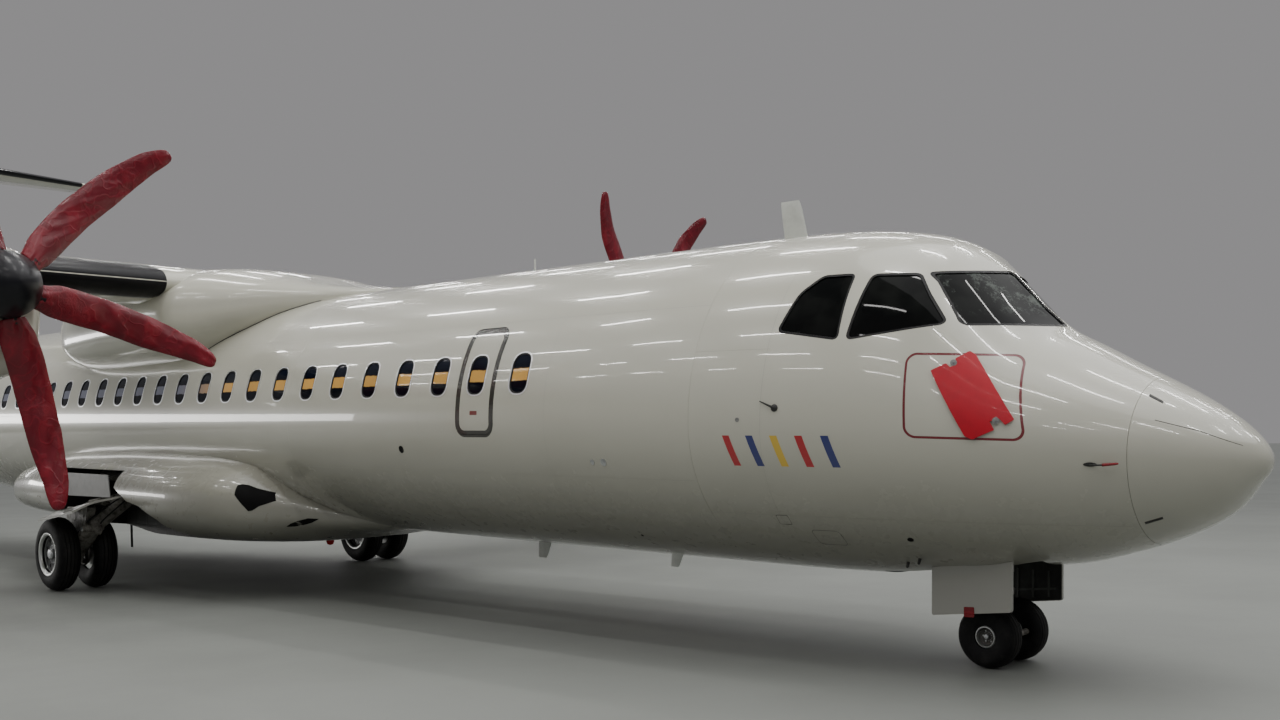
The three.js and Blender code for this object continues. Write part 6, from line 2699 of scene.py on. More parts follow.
@dataclass
class Propeller:
    """A six-bladed propeller with a black spinner, each blade in a red cloth cover."""

    side: int
    word: str
    phase: float
    blades: int = 6
    radius: float = 1.965
    hub_radius: float = 0.285
    hub_reach: float = 0.110
    spinner_length: float = 0.300
    shaft: tuple[float, float, float] = ENGINE_SHAFT
    sections: tuple[tuple[float, ...], ...] = (
        (0.240, 0.130, 0.110, 45, 0.000, 0.000), (0.480, 0.220, 0.062, 36, 0.030, 0.040),
        (1.000, 0.270, 0.036, 20, 0.070, 0.110), (1.400, 0.260, 0.026, 14, 0.065, 0.110),
        (1.750, 0.190, 0.016, 10, 0.045, 0.050), (1.965, 0.100, 0.008, 8, 0.000, 0.000),
    )
    cover_sections: tuple[tuple[float, ...], ...] = (
        (0.290, 0.108, 0.080), (0.340, 0.117, 0.076), (0.450, 0.146, 0.062), (0.600, 0.154, 0.050),
        (1.000, 0.151, 0.038), (1.300, 0.148, 0.034), (1.480, 0.136, 0.031), (1.650, 0.119, 0.028),
        (1.850, 0.093, 0.024), (1.940, 0.071, 0.019), (1.980, 0.049, 0.013), (1.995, 0.030, 0.008),
    )
    turn_share: float = 0.3

    def __post_init__(self) -> None:
        """Lay the hub's frame."""
        self.centre = Matrix.Translation((-PROP_STATION, self.side * PROP_OUT, PROP_HEIGHT))
        self.body = f"{self.word}_propeller"
        self.lie = Profile([(row[0], *row[3:]) for row in self.sections])
        self.cover = Profile(self.cover_sections)

    def build(self) -> None:
        """Build the hub, the blades, the spinner and the covers."""
        hub = turned(
            [(-self.hub_reach, 0.262), (-self.hub_reach + 0.012, 0.282), (-0.06, self.hub_radius),
             (self.hub_reach, self.hub_radius)], self.centre, 96,
        )
        back, reach, radius = self.shaft
        line = Matrix.Translation((0, self.side * PROP_OUT, PROP_HEIGHT))
        root = hub + rod((-back - reach, -PROP_STATION), radius, line, 40)
        for k in range(self.blades):
            turn = self.centre @ Matrix.Rotation(self._angle(k), 4, "X")
            out = turn @ Matrix.Rotation(math.pi / 2, 4, "Z")
            root = root + turned([(0.2, 0.075), (0.30, 0.072), (0.315, 0.062), (0.345, 0.060)], out, 32)
        root.place(f"{self.body}_hub", GLOSS_BLACK, Slot.BLADE, body=self.body)
        blades = joined([self._blade(k) for k in range(self.blades)])
        blades.place(f"{self.body}_blades", BLADE_COMPOSITE, Slot.BLADE, [f"propeller_{self.word}"], self.body)
        start = self.hub_reach + SEAT_GAP
        profile = [
            (start + self.spinner_length * t,
             max(0.004, self.hub_radius * math.sqrt(max(0.0, 1 - t)) * (1 + 0.12 * t))) for t in spread(0, 1, 26)
        ]
        spinner = turned(profile, self.centre, 96)
        spinner.place(f"{self.body}_spinner", GLOSS_BLACK, Slot.BLACK, [f"spinner_{self.word}"], self.body)
        for k in range(self.blades):
            self._cover(k)

    def _angle(self, k: int) -> float:
        """The angle of a blade about the shaft."""
        return self.phase + 2 * math.pi * k / self.blades

    def _spot(self, k: int, radius: float, along: float, thick: float) -> Vector:
        """A point beside a blade's middle line.

        Args:
            k: the blade's number.
            radius: the distance from the shaft.
            along: how far across the chord.
            thick: how far off the blade's face.

        Returns:
            The point.
        """
        turn, sweep, aft = self.lie(radius)
        angle = math.radians(turn * self.turn_share)
        point = Vector((
            along * math.sin(angle) + thick * math.cos(angle) - aft, radius,
            along * math.cos(angle) - thick * math.sin(angle) + sweep,
        ))
        return self.centre @ Matrix.Rotation(self._angle(k), 4, "X") @ point

    def _blade(self, k: int) -> Shape:
        """One blade.

        Args:
            k: the blade's number.

        Returns:
            The shape.
        """
        table = Profile(self.sections)
        rings = []
        for radius in spread(0.27, self.radius, 24):
            chord, thick = table(radius)[:2]
            rings.append([self._spot(k, radius, a, t) for a, t in oval(chord / 2, thick / 2, thick / 2, 24)])
        return loft(rings)

    def _cover(self, k: int) -> None:
        """One cloth cover, drawn tight at the root, creased along its length and closed at the tip.

        Args:
            k: the blade's number.
        """
        seed = 17.3 * (k + 1) + (90 if self.side == PORT else 0)
        around, rows = 56, 118
        root, reach = 0.290, 1.705
        points = []
        for row in range(rows):
            t = row / (rows - 1)
            radius = root + reach * (1 - (1 - t) ** 1.12)
            half, thick = self.cover(radius)
            gather = max(0.0, 1 - (radius - root) / 0.16)
            for j in range(around):
                angle = 2 * math.pi * j / around
                across, rise = math.cos(angle), math.sin(angle)
                edge = abs(across) ** 5
                crease = self._crease(seed, radius, angle)
                pleat = gather * 0.008 * math.sin(angle * 9 + seed)
                amount = (0.007 + 0.003 * math.sin(radius * 3 + seed)) * crease * (1 - 0.7 * edge) + pleat
                slack = 0.006 * edge * noise.noise(Vector((radius * 5, across * 2, seed)))
                a = (half + slack) * across
                b = (thick + amount) * rise * (1 - 0.35 * edge) + 0.006 * crease * edge
                points.append(self._spot(k, radius, a, b))
        faces = ring_faces(rows, around)
        tip, last = len(points), (rows - 1) * around
        points.append(self._spot(k, 1.999, 0, 0))
        faces += [(last + j, last + (j + 1) % around, tip) for j in range(around)]
        mesh = bpy.data.meshes.new("cover")
        mesh.from_pydata([tuple(p) for p in points], [], faces)
        mesh.transform(DATUM.matrix)
        mesh.polygons.foreach_set("use_smooth", [True] * len(mesh.polygons))
        piece = bpy.data.objects.new(f"{self.body}_cover_{k + 1}", mesh)
        bpy.context.scene.collection.objects.link(piece)
        thicken = piece.modifiers.new("cloth", "SOLIDIFY")
        thicken.thickness = 0.0016
        thicken.offset = 0
        mesh.materials.append(RED_CLOTH.material())
        settle(piece, self.body, Slot.COVER)

    @staticmethod
    def _crease(seed: float, radius: float, angle: float) -> float:
        """Ridged folds that run aslant over the cloth, from -1 to 1.

        Args:
            seed: the cover's own number.
            radius: the distance from the shaft.
            angle: where round the cover.

        Returns:
            The fold's height.
        """
        across = math.cos(angle)
        slant = 0.7 + 0.9 * noise.noise(Vector((radius * 0.9 + seed, 0.0, 2.0)))
        fine = Vector((radius * 4.4 + across * 1.5 * slant + seed, across * 0.8, math.sin(angle) * 0.6))
        ridges = 1 - 2.8 * abs(noise.noise(fine))
        broad = noise.noise(Vector((radius * 2.3 + seed, across * 1.1, math.sin(angle) * 0.7 + 4)))
        small = 1 - 2.4 * abs(noise.noise(fine * 2.6))
        return 0.75 * ridges + 0.9 * broad + 0.16 * small


@dataclass
class WheelPair:
    """Two tyres on one pair of rims, with round lightening holes."""

    name: str
    body: str
    hub: Vector
    disc: Finish
    offset: float
    radius: float
    rim: float
    width: float
    axle: float
    holes: int
    hole: float
    hole_ring: float
    face: float
    proud: float

    def __post_init__(self) -> None:
        """Lay the axle's frame."""
        self.frame = abeam(self.hub)

    def build(self) -> None:
        """Build the rims, tyres and hub caps."""
        hub = DATUM.matrix @ self.hub
        rubber = TyreRubber(f"{self.name}_tyre_rubber", tuple(hub), self.radius)
        for word, side in (("port", PORT), ("starboard", STARBOARD)):
            tyre = turned(self._tyre(side), self.frame, 96, closed=True, sharp=50)
            node = f"{self.name}_tyre_{word}"
            tyre.place(f"{node}_shell", rubber, Slot.TYRE, [node], self.body)
        o, inside, outside = self.offset, self.axle, self.axle + 0.02
        tube = turned([(-o, outside), (o, outside), (o, inside), (-o, inside)], self.frame, 40, closed=True)
        name = f"{self.name}_wheel_rims"
        rims = self._rim(PORT) + self._rim(STARBOARD) + tube
        rims.place(f"{name}_shell", RIM_PAINT, Slot.RIM, [name], self.body)
        discs = joined([self._disc(PORT), self._disc(STARBOARD)]) - self._hole_tool()
        # the holes' walls are near black: painted shade inside the holes
        finishes = {"skin": self.disc, "hole": SHADED_OPENING}
        discs.place(f"{self.name}_wheel_discs", finishes, Slot.RIM, body=self.body)
        self._bolts().place(f"{self.name}_wheel_bolts", BARE_ALUMINIUM, Slot.GEAR, body=self.body)

    def _bolts(self) -> Shape:
        """The hub caps and the bolts round them.

        Returns:
            The shape.
        """
        f, p, bolts = self.face, self.proud, []
        hub = [
            (0.42 * p, f * 0.25), (0.66 * p, f * 0.25), (0.80 * p, f * 0.20), (0.84 * p, f * 0.11), (0.84 * p, 0.002),
        ]
        for side in (PORT, STARBOARD):
            bolts.append(turned(self._outward(hub, side), self.frame, 40))
            for k in range(self.holes * 2):
                angle = math.pi * (k + 0.5) / self.holes
                spot = Matrix.Translation((side * (self.offset + 0.40 * p), f * 0.40, 0))
                turn = self.frame @ Matrix.Rotation(angle, 4, "X") @ spot
                turn = turn @ Matrix.Rotation(0 if side == PORT else math.pi, 4, "Z")
                size = f * 0.035
                bolts.append(turned([(-0.02, size), (size, size), (size * 1.2, size * 0.8)], turn, 6))
        return joined(bolts)

    def _outward(self, profile: Sequence[Flat], side: int) -> list[Flat]:
        """A profile moved out along the axle to one side's wheel."""
        return [(side * (self.offset + x), r) for x, r in profile]

    def _tyre(self, side: int) -> list[Flat]:
        """The tyre's closed section with grooves in its tread, along the axle and out from it.

        Args:
            side: PORT or STARBOARD.

        Returns:
            The section.
        """
        half, wall = self.width / 2, self.radius - self.rim
        outer: list[Flat] = []
        for angle in spread(-0.5 * math.pi, 0.5 * math.pi, 23):
            across = math.sin(angle)
            rise = abs(math.cos(angle)) ** 0.62
            outer.append((across * half, self.rim + 0.32 * wall + 0.68 * wall * rise))
        tread: list[Flat] = []
        groove = 0.012 if self.radius > 0.3 else 0.007
        for at in (-0.36, -0.13, 0.13, 0.36):
            x = at * half * 1.3
            top = self._tread_height(x, half, wall)
            width = half * 0.045
            foot = width * 0.7
            tread += [(x - width, top), (x - foot, top - groove), (x + foot, top - groove), (x + width, top)]
        low = [p for p in outer if p[0] < tread[0][0] - 0.004]
        high = [p for p in outer if p[0] > tread[-1][0] + 0.004]
        filled = tread[:4]
        for k in range(4, len(tread), 4):
            x = (tread[k - 1][0] + tread[k][0]) / 2
            filled += [(x, self._tread_height(x, half, wall)), *tread[k : k + 4]]
        bead = [(half * 0.72, self.rim + 0.002), (half * 0.5, self.rim + 0.0008)]
        if self.face < self.rim:
            bead = [(half * 0.93, self.rim), (half * 0.84, self.face + 0.006), (half * 0.72, self.face + 0.002),
                    (half * 0.60, self.face + 0.004), (half * 0.57, self.rim + 0.0008)]
        section = [*low, *filled, *high, *bead, *((-x, r) for x, r in reversed(bead))]
        return [(x + side * self.offset, r) for x, r in section]

    def _tread_height(self, x: float, half: float, wall: float) -> float:
        """The tread's radius at a distance from the tyre's middle."""
        rise = math.sqrt(max(0.0, 1 - (x / half) ** 2)) ** 0.62
        return self.rim + 0.32 * wall + 0.68 * wall * rise

    def _rim(self, side: int) -> Shape:
        """One rim: a barrel below the tyre with a rolled flange.

        Args:
            side: PORT or STARBOARD.

        Returns:
            The shape.
        """
        h, f, p = 0.56 * self.width / 2, self.face, self.proud
        seat = self.rim - 0.0006
        profile = [
            (-h, self.axle), (-h, seat - 0.006), (-h + 0.006, seat), (h * 0.96, seat), (p - 0.009, f - 0.003),
            (p - 0.005, f), (p, f - 0.003), (p + 0.001, f - 0.010), (p - 0.004, f * 0.90), (p - 0.014, f * 0.86),
            (0.35 * p, f * 0.82), (0.30 * p, self.axle),
        ]
        return turned(self._outward(profile, side), self.frame, 72, closed=True, sharp=40)

    def _disc(self, side: int) -> Shape:
        """The dished disc inside a rim.

        Args:
            side: PORT or STARBOARD.

        Returns:
            The shape.
        """
        f, p = self.face, self.proud
        profile = [
            (0.24 * p, f * 0.81), (0.50 * p, f * 0.81), (0.42 * p, f * 0.74), (0.38 * p, f * 0.52),
            (0.46 * p, f * 0.32), (0.46 * p, 0.004), (0.24 * p, 0.004),
        ]
        return turned(self._outward(profile, side), self.frame, 72, closed=True, sharp=40)

    def _hole_tool(self) -> Shape:
        """The round holes through both discs.

        Returns:
            The shape.
        """
        tools = []
        for side in (PORT, STARBOARD):
            for k in range(self.holes):
                angle = 2 * math.pi * k / self.holes
                place = self.frame @ Matrix.Rotation(angle, 4, "X") @ Matrix.Translation((0, self.hole_ring, 0))
                near, far = self.offset - 0.2 * self.width, self.offset + 0.6 * self.width
                span = (near, far) if side == PORT else (-far, -near)
                tools.append(turned([(span[0], self.hole), (span[1], self.hole)], place, 20, "hole"))
        return joined(tools)


@dataclass
class MainGear:
    """The main legs: a raked leg from the bay, a trailing arm, a shock strut, brakes, pipes and a leg door."""

    hub: Vector = field(default_factory=lambda: Vector((-MAIN_STATION, MAIN_OUT, DATUM.axle_height)))
    door_top: tuple[Flat, ...] = ((1.880, 1.060), (2.250, 1.000), (2.470, 0.905))
    door_stations: Flat = (11.600, 12.560)
    door_plate: float = 0.024
    door_slope: float = 0.15
    web: tuple[Flat, ...] = (
        (12.090, 0.985), (12.180, 0.780), (12.330, 0.560), (12.440, 0.470), (12.560, 0.470), (12.650, 0.600),
        (12.700, 0.800), (12.690, 0.960),
    )

    def build(self) -> None:
        """Build both legs and both pairs of wheels."""
        groups = [
            ("leg", self._leg(), GEAR_CASTING, Slot.GEAR, "main_leg_*"),
            ("chrome", self._chrome(), CHROME, Slot.GEAR, ""),
            ("brakes", self._brakes(), BRAKE_STEEL, Slot.GEAR, ""),
            ("pipes", self._pipes(), HOSE_RUBBER, Slot.BLACK, ""),
            ("clamps", self._clamps(), BARE_ALUMINIUM, Slot.GEAR, ""),
            ("door", self._door(), DOOR_GREY, Slot.PAINT, "main_gear_door_*"),
            ("panel", self._panel(), FITTING_GREY, Slot.PAINT, ""),
        ]
        for name, shape, finish, slot, node in groups:
            shape.place_both(f"main_{name}_*_shape", finish, slot, node)
        for side, word in SIDES:
            hub = Vector((self.hub.x, side * self.hub.y, self.hub.z))
            WheelPair(
                f"{word}_main", f"{word}_main_wheels", hub, DISC_GREY, offset=0.210, radius=0.4283, rim=0.205,
                width=0.254, axle=0.045, holes=9, hole=0.024, hole_ring=0.163, face=0.252, proud=0.122,
            ).build()

    def _leg(self) -> Shape:
        """The castings, as one welded shape.

        Returns:
            The shape.
        """
        x = MAIN_X
        knee, top = Vector((x + 0.430, MAIN_OUT, 0.730)), Vector((x + 0.250, 1.990, 1.010))
        elbow = Vector((x + 0.360, 1.600, 1.085))
        trunnion = rod((-13.4497, -11.7503), 0.065, Matrix.Translation((0, 1.330, 1.290)), 32, "skin")
        parts = [
            self._casting([(x + 0.33, 1.33, 1.29), (x + 0.38, 1.69, 1.01), tuple(knee)], (0.10, 0.092, 0.07)),
            strut((x + 0.70, 1.33, 1.29), elbow, 0.042),
            self._casting([tuple(knee), (x + 0.22, MAIN_OUT, 0.60), tuple(self.hub)], (0.085, 0.10, 0.075)),
            strut((x + 0.34, 1.60, 1.085), top, 0.046, 0.040),
            strut(top, top.lerp(Vector((x + 0.14, MAIN_OUT, 0.545)), 0.52), 0.052, 0.052),
            strut((x + 0.38, 1.70, 0.98), (x + 0.06, 1.925, 1.018), 0.024),
            strut((x + 0.38, 1.70, 0.98), (x + 0.43, 1.925, 1.018), 0.024),
            turned([(-0.058, 0.083), (-0.052, 0.088), (0.052, 0.088), (0.058, 0.083)], abeam(self.hub), 40),
            self._jack_pad(),
            strut(knee + Vector((0.02, -0.09, 0)), knee + Vector((0.02, 0.09, 0)), 0.072),
            strut(knee + Vector((0.02, -0.115, 0)), knee + Vector((0.02, 0.115, 0)), 0.034),
            strut((x + 0.14, MAIN_OUT - 0.07, 0.545), (x + 0.14, MAIN_OUT + 0.07, 0.545), 0.040),
            strut((x + 0.33, 1.27, 1.29), (x + 0.46, 1.27, 1.29), 0.03),
            sideways([rounded(self.web, 0.05)], (MAIN_OUT - 0.048, MAIN_OUT + 0.048), "skin"),
            strut((x + 0.06, MAIN_OUT - 0.052, 0.86), (x + 0.06, MAIN_OUT + 0.052, 0.86), 0.062),
            strut((x + 0.20, MAIN_OUT - 0.054, 0.66), (x + 0.20, MAIN_OUT + 0.054, 0.66), 0.050),
            strut((x + 0.30, MAIN_OUT - 0.052, 0.90), (x + 0.30, MAIN_OUT + 0.052, 0.90), 0.055),
        ]
        leg = trunnion
        for part in parts:
            leg = leg + part
        bore = rod((-0.15, 0.15), 0.0455, abeam(self.hub), 40, "skin")
        return leg - bore - self._door(0.0005)

    @staticmethod
    def _casting(points: Sequence[Sequence[float]], radii: Sequence[float]) -> Shape:
        """A forged arm with a waisted, slightly square section through three points.

        Args:
            points: the points.
            radii: the radii along it.

        Returns:
            The shape.
        """
        path = smooth_path(points, 7)
        rings = []
        last = len(path) - 1
        for k, point in enumerate(path):
            share = k / last * (len(radii) - 1)
            low = min(int(share), len(radii) - 2)
            radius = radii[low] + (radii[low + 1] - radii[low]) * (share - low)
            ahead = (path[min(k + 1, last)] - path[max(k - 1, 0)]).normalized()
            frame_here = frame_along(point, ahead, Vector((0, 1, 0.001)))
            rings.append([
                frame_here @ Vector((0, a, b)) for a, b in oval(radius * 1.1, radius * 0.92, radius * 0.92, 32, 3)
            ])
        return loft(rings)

    def _jack_pad(self) -> Shape:
        """The pad below the axle."""
        x, y, z = self.hub
        return block((x - 0.05, x + 0.05), (y - 0.05, y + 0.05), (z - 0.12, z - 0.06), tag="skin")

    def _chrome(self) -> Shape:
        """The shock strut's bright rod.

        Returns:
            The shape.
        """
        x = MAIN_X
        top, end = Vector((x + 0.250, 1.990, 1.010)), Vector((x + 0.14, MAIN_OUT, 0.545))
        return strut(top.lerp(end, 0.515), end, 0.032)

    def _brakes(self) -> Shape:
        """A ring of brake pistons beside each wheel.

        Returns:
            The shape.
        """
        parts = []
        matrix = abeam(self.hub)
        ring = [(0.070, 0.150), (0.094, 0.156), (0.104, 0.150), (0.104, 0.0925), (0.066, 0.0925)]
        for side in (PORT, STARBOARD):
            parts.append(turned([(side * a, r) for a, r in ring], matrix, 48, closed=True))
            for k in range(7):
                angle = 2 * math.pi * (k + 0.3) / 7
                spot = matrix @ Matrix.Rotation(angle, 4, "X") @ Matrix.Translation((side * 0.064, 0.122, 0))
                turn = spot @ Matrix.Rotation(math.pi if side == PORT else 0, 4, "Z")
                parts.append(turned([(0, 0.020), (0.012, 0.020), (0.016, 0.012)], turn, 20))
        return joined(parts)

    def _pipes(self) -> Shape:
        """Brake hoses and looms along the leg.

        Returns:
            The shape.
        """
        x = MAIN_X
        y = MAIN_OUT
        runs = {
            0.009: [
                (x + 0.03, y + 0.075, 0.545), (x + 0.16, y + 0.105, 0.60), (x + 0.32, y + 0.10, 0.70),
                (x + 0.44, y + 0.03, 0.83), (x + 0.45, 1.88, 0.98), (x + 0.44, 1.62, 1.13), (x + 0.43, 1.40, 1.28),
            ],
            0.008: [
                (x + 0.03, y - 0.075, 0.545), (x + 0.17, y - 0.105, 0.58), (x + 0.34, y - 0.11, 0.67),
                (x + 0.50, y - 0.08, 0.80), (x + 0.50, 1.80, 0.95), (x + 0.48, 1.58, 1.12), (x + 0.47, 1.38, 1.28),
            ],
            0.007: [
                (x + 0.10, y + 0.06, 0.62), (x + 0.05, y + 0.03, 0.78), (x + 0.14, 2.01, 0.93), (x + 0.20, 1.86, 1.06),
                (x + 0.25, 1.60, 1.17), (x + 0.28, 1.40, 1.26),
            ],
        }
        return joined([pipe(points, radius, 10, 7) for radius, points in runs.items()])

    def _clamps(self) -> Shape:
        """Bands and bolt heads on the leg.

        Returns:
            The shape.
        """
        x = MAIN_X
        knee = Vector((x + 0.430, MAIN_OUT, 0.730))
        top, end = Vector((x + 0.250, 1.990, 1.010)), Vector((x + 0.14, MAIN_OUT, 0.545))
        parts = []
        for share in (0.12, 0.40, 0.50):
            a = top.lerp(end, share)
            parts.append(strut(a, a + (end - top).normalized() * 0.022, 0.0555))
        for side in (PORT, STARBOARD):
            base = knee + Vector((0.02, side * 0.112, 0))
            parts.append(strut(base, base + Vector((0, side * 0.018, 0)), 0.026, 0.022, 6))
            pin = Vector((x + 0.14, MAIN_OUT + side * 0.068, 0.545))
            parts.append(strut(pin, pin + Vector((0, side * 0.014, 0)), 0.024, 0.02, 6))
        return joined(parts)

    def _door(self, grow: float = 0.0) -> Shape:
        """The bent plate that the leg carries.

        Args:
            grow: how far it is moved outwards.

        Returns:
            The shape.
        """
        top = [Vector((0, y, z)) for y, z in self.door_top]
        curve = [top[0], top[0].lerp(top[1], 0.5), top[0].lerp(top[1], 0.85), *(
            top[0].lerp(top[1], 0.85) * (1 - t) ** 2 + top[1] * 2 * t * (1 - t) + top[1].lerp(top[2], 0.25) * t * t
            for t in (0.25, 0.5, 0.75)
        ), top[1].lerp(top[2], 0.25), top[1].lerp(top[2], 0.6), top[2]]
        outline = [(p.y, p.z) for p in curve]
        outline += [(y, z - self.door_plate) for y, z in reversed(outline)]
        if grow:
            outline = grown(outline, grow)
        start, end = self.door_stations
        middle = (start + end) / 2

        def spot(y: float, z: float, s: float) -> Point:
            """A point of the plate, which falls towards the tail."""
            return -s, y, z - (s - middle) * self.door_slope

        return prisms([outline], (start - grow, end + grow), spot, "skin")

    @staticmethod
    def _panel() -> Shape:
        """A light flat panel inside the leg, which closes the bay's inner half.

        Returns:
            The shape.
        """
        outline = rounded([(12.06, 1.345), (12.00, 1.085), (13.38, 1.065), (13.38, 1.345)], 0.02)
        plate = sideways([outline], (1.872, 1.884), "skin")
        ribs = [
            sideways([[(s, 1.09), (s + 0.012, 1.09), (s + 0.012, 1.33), (s, 1.33)]], (1.850, 1.873), "skin")
            for s in (12.14, 12.54, 12.94)
        ]
        arm = strut((-12.3, 1.865, 1.30), (-12.3, 1.42, 1.385), 0.014)
        for rib in ribs:
            plate = plate + rib
        return plate + arm


@dataclass
class NoseGear:
    """The nose leg with its steering fork, hoses, lamp, doors and wheels."""

    bay_start: float = 1.330
    bay_half: float = 0.310
    bay_roof: float = 1.420
    door_inner: float = 0.372
    door_plate: float = 0.024
    door_outline: tuple[Flat, ...] = ((1.510, 0.645), (2.115, 0.568), (2.115, 1.100), (1.510, 1.100))
    axle_height: float = 0.43607

    def build(self) -> None:
        """Build the leg, the fork, the doors and the wheels."""
        x = NOSE_X
        finishes = {"skin": GEAR_CASTING, "bore": GEAR_DARK}
        self._leg().place("nose_leg_shape", finishes, Slot.GEAR, ["nose_leg"])
        self._fork().place("nose_fork_shape", finishes, Slot.GEAR, ["nose_fork"], Body.STEERING)
        strut((x, 0, 0.62), (x, 0, 0.655), 0.058).place("nose_collar", CHROME, Slot.GEAR, body=Body.STEERING)
        self._pipes().place("nose_hoses", HOSE_RUBBER, Slot.BLACK)
        self._lamps()
        self._doors()
        WheelPair(
            "nose", Body.NOSE_WHEELS.value, Vector((x, 0, self.axle_height)), BRAKE_STEEL, offset=0.200,
            radius=0.2231, rim=0.108, width=0.190, axle=0.030, holes=6, hole=0.007, hole_ring=0.040, face=0.076,
            proud=0.074,
        ).build()

    def _cross(self, along: float, height: float, radius: float) -> Shape:
        """A bar across the bay."""
        reach = self.bay_half - SEAT_GAP
        return strut((along, -reach, height), (along, reach, height), radius)

    def _leg(self) -> Shape:
        """The upper leg with its brace and cross bars.

        Returns:
            The shape.
        """
        x = NOSE_X
        brace_top = (-self.bay_start - 0.2, 0, self.bay_roof - 0.06)
        leg = strut((x, 0, 0.66), (x, 0, self.bay_roof - SEAT_GAP), 0.062)
        leg = leg + strut((x, 0, 0.70), (x, 0, 0.76), 0.070) + strut((x, 0, 0.86), (x, 0, 0.93), 0.069)
        leg = leg + self._cross(x, 1.29, 0.042) + self._cross(brace_top[0], brace_top[2], 0.034)
        leg = leg + strut((x, 0, 0.86), brace_top, 0.034)
        for side in (PORT, STARBOARD):
            leg = leg + strut((x, side * 0.03, 0.90), (x - 0.05, side * 0.28, 1.27), 0.018)
        return leg - strut((x, 0, 0.6), (x, 0, 0.91), 0.0344, tag="bore")

    def _fork(self) -> Shape:
        """The steered lower part, with the axle's boss and the tow pins in front.

        Returns:
            The shape.
        """
        x = NOSE_X
        z = self.axle_height
        hub = Vector((x, 0, z))
        axle = abeam(hub)
        tow = Vector((x + 0.130, 0, z + 0.010))
        fork = strut((x, 0, z), (x, 0, 0.90), 0.034) + strut((x, 0, z), (x, 0, 0.652), 0.056)
        fork = fork + turned([(-0.06, 0.052), (-0.056, 0.056), (0.056, 0.056), (0.06, 0.052)], axle, 36)
        fork = fork + strut(hub, tow, 0.030)
        fork = fork + rod((-0.085, 0.085), 0.022, abeam(tow), 24, "skin")
        return fork - rod((-0.15, 0.15), 0.0304, axle, 36, "bore")

    def _pipes(self) -> Shape:
        """Hoses down the leg.

        Returns:
            The shape.
        """
        x = NOSE_X
        runs = [
            [(x - 0.06, 0.05, 1.38), (x - 0.085, 0.045, 1.15), (x - 0.078, 0.03, 0.92), (x - 0.074, 0.02, 0.74)],
            [(x - 0.05, -0.06, 1.38), (x - 0.08, -0.05, 1.12), (x - 0.076, -0.035, 0.90), (x - 0.072, -0.03, 0.74)],
        ]
        return joined([pipe(points, 0.007, 10, 7) for points in runs])

    def _lamps(self) -> None:
        """A taxi lamp on the leg."""
        place = Matrix.Translation((NOSE_X + 0.065, 0, 1.02))
        bowl = turned([(0, 0.030), (0.02, 0.055), (0.055, 0.062), (0.06, 0.060)], place, 32)
        bowl.place("taxi_lamp_bowl", BARE_ALUMINIUM, Slot.GEAR)
        lens = turned([(0.0605, 0.056), (0.066, 0.050), (0.070, 0.03), (0.071, 0.004)], place, 32)
        lens.place("taxi_lamp_lens", CLEAR_LENS, Slot.GLASS)

    def _doors(self) -> None:
        """The flat doors beside the bay, with ribs and a liner inside, and a red tag on the starboard one."""
        outer = rounded(self.door_outline, 0.018)
        cabin = CABIN.skin(RADOME_END, NOSE_END, SEAT_GAP)
        plate = sideways([outer], (self.door_inner, self.door_inner + self.door_plate), "skin") - cabin
        ribs = []
        for s in (1.60, 1.72, 1.84, 1.96, 2.06):
            low = 0.645 - (s - 1.51) * 0.127 + 0.03
            ribs.append([(s, low), (s + 0.014, low), (s + 0.014, 0.85), (s, 0.85)])
        bar = [(1.55, 0.72), (2.09, 0.66), (2.09, 0.675), (1.55, 0.735)]
        face = self.door_inner + 0.001
        inner = sideways(ribs, (self.door_inner - 0.014, face), "skin") - cabin
        inner = inner + sideways([bar], (self.door_inner - 0.010, face), "skin")
        liner = sideways([grown(outer, -0.006)], (self.door_inner - 0.0025, face), "skin") - cabin
        plate.place_both("nose_gear_door_*_plate", DOOR_GREY, Slot.PAINT, "nose_gear_door_*")
        inner.place_both("nose_gear_door_*_ribs", DOOR_RIB, Slot.GEAR)
        liner.place_both("nose_gear_door_*_liner", GEAR_DARK, Slot.GEAR)
        y = -(self.door_inner + self.door_plate + 0.004)
        outline = rounded([(1.787, 0.655), (1.864, 0.650), (1.862, 0.58), (1.785, 0.585)], 0.008)
        sideways([outline], (y, y + 0.003), "skin").place("door_tag", RED_TAG, Slot.COVER)


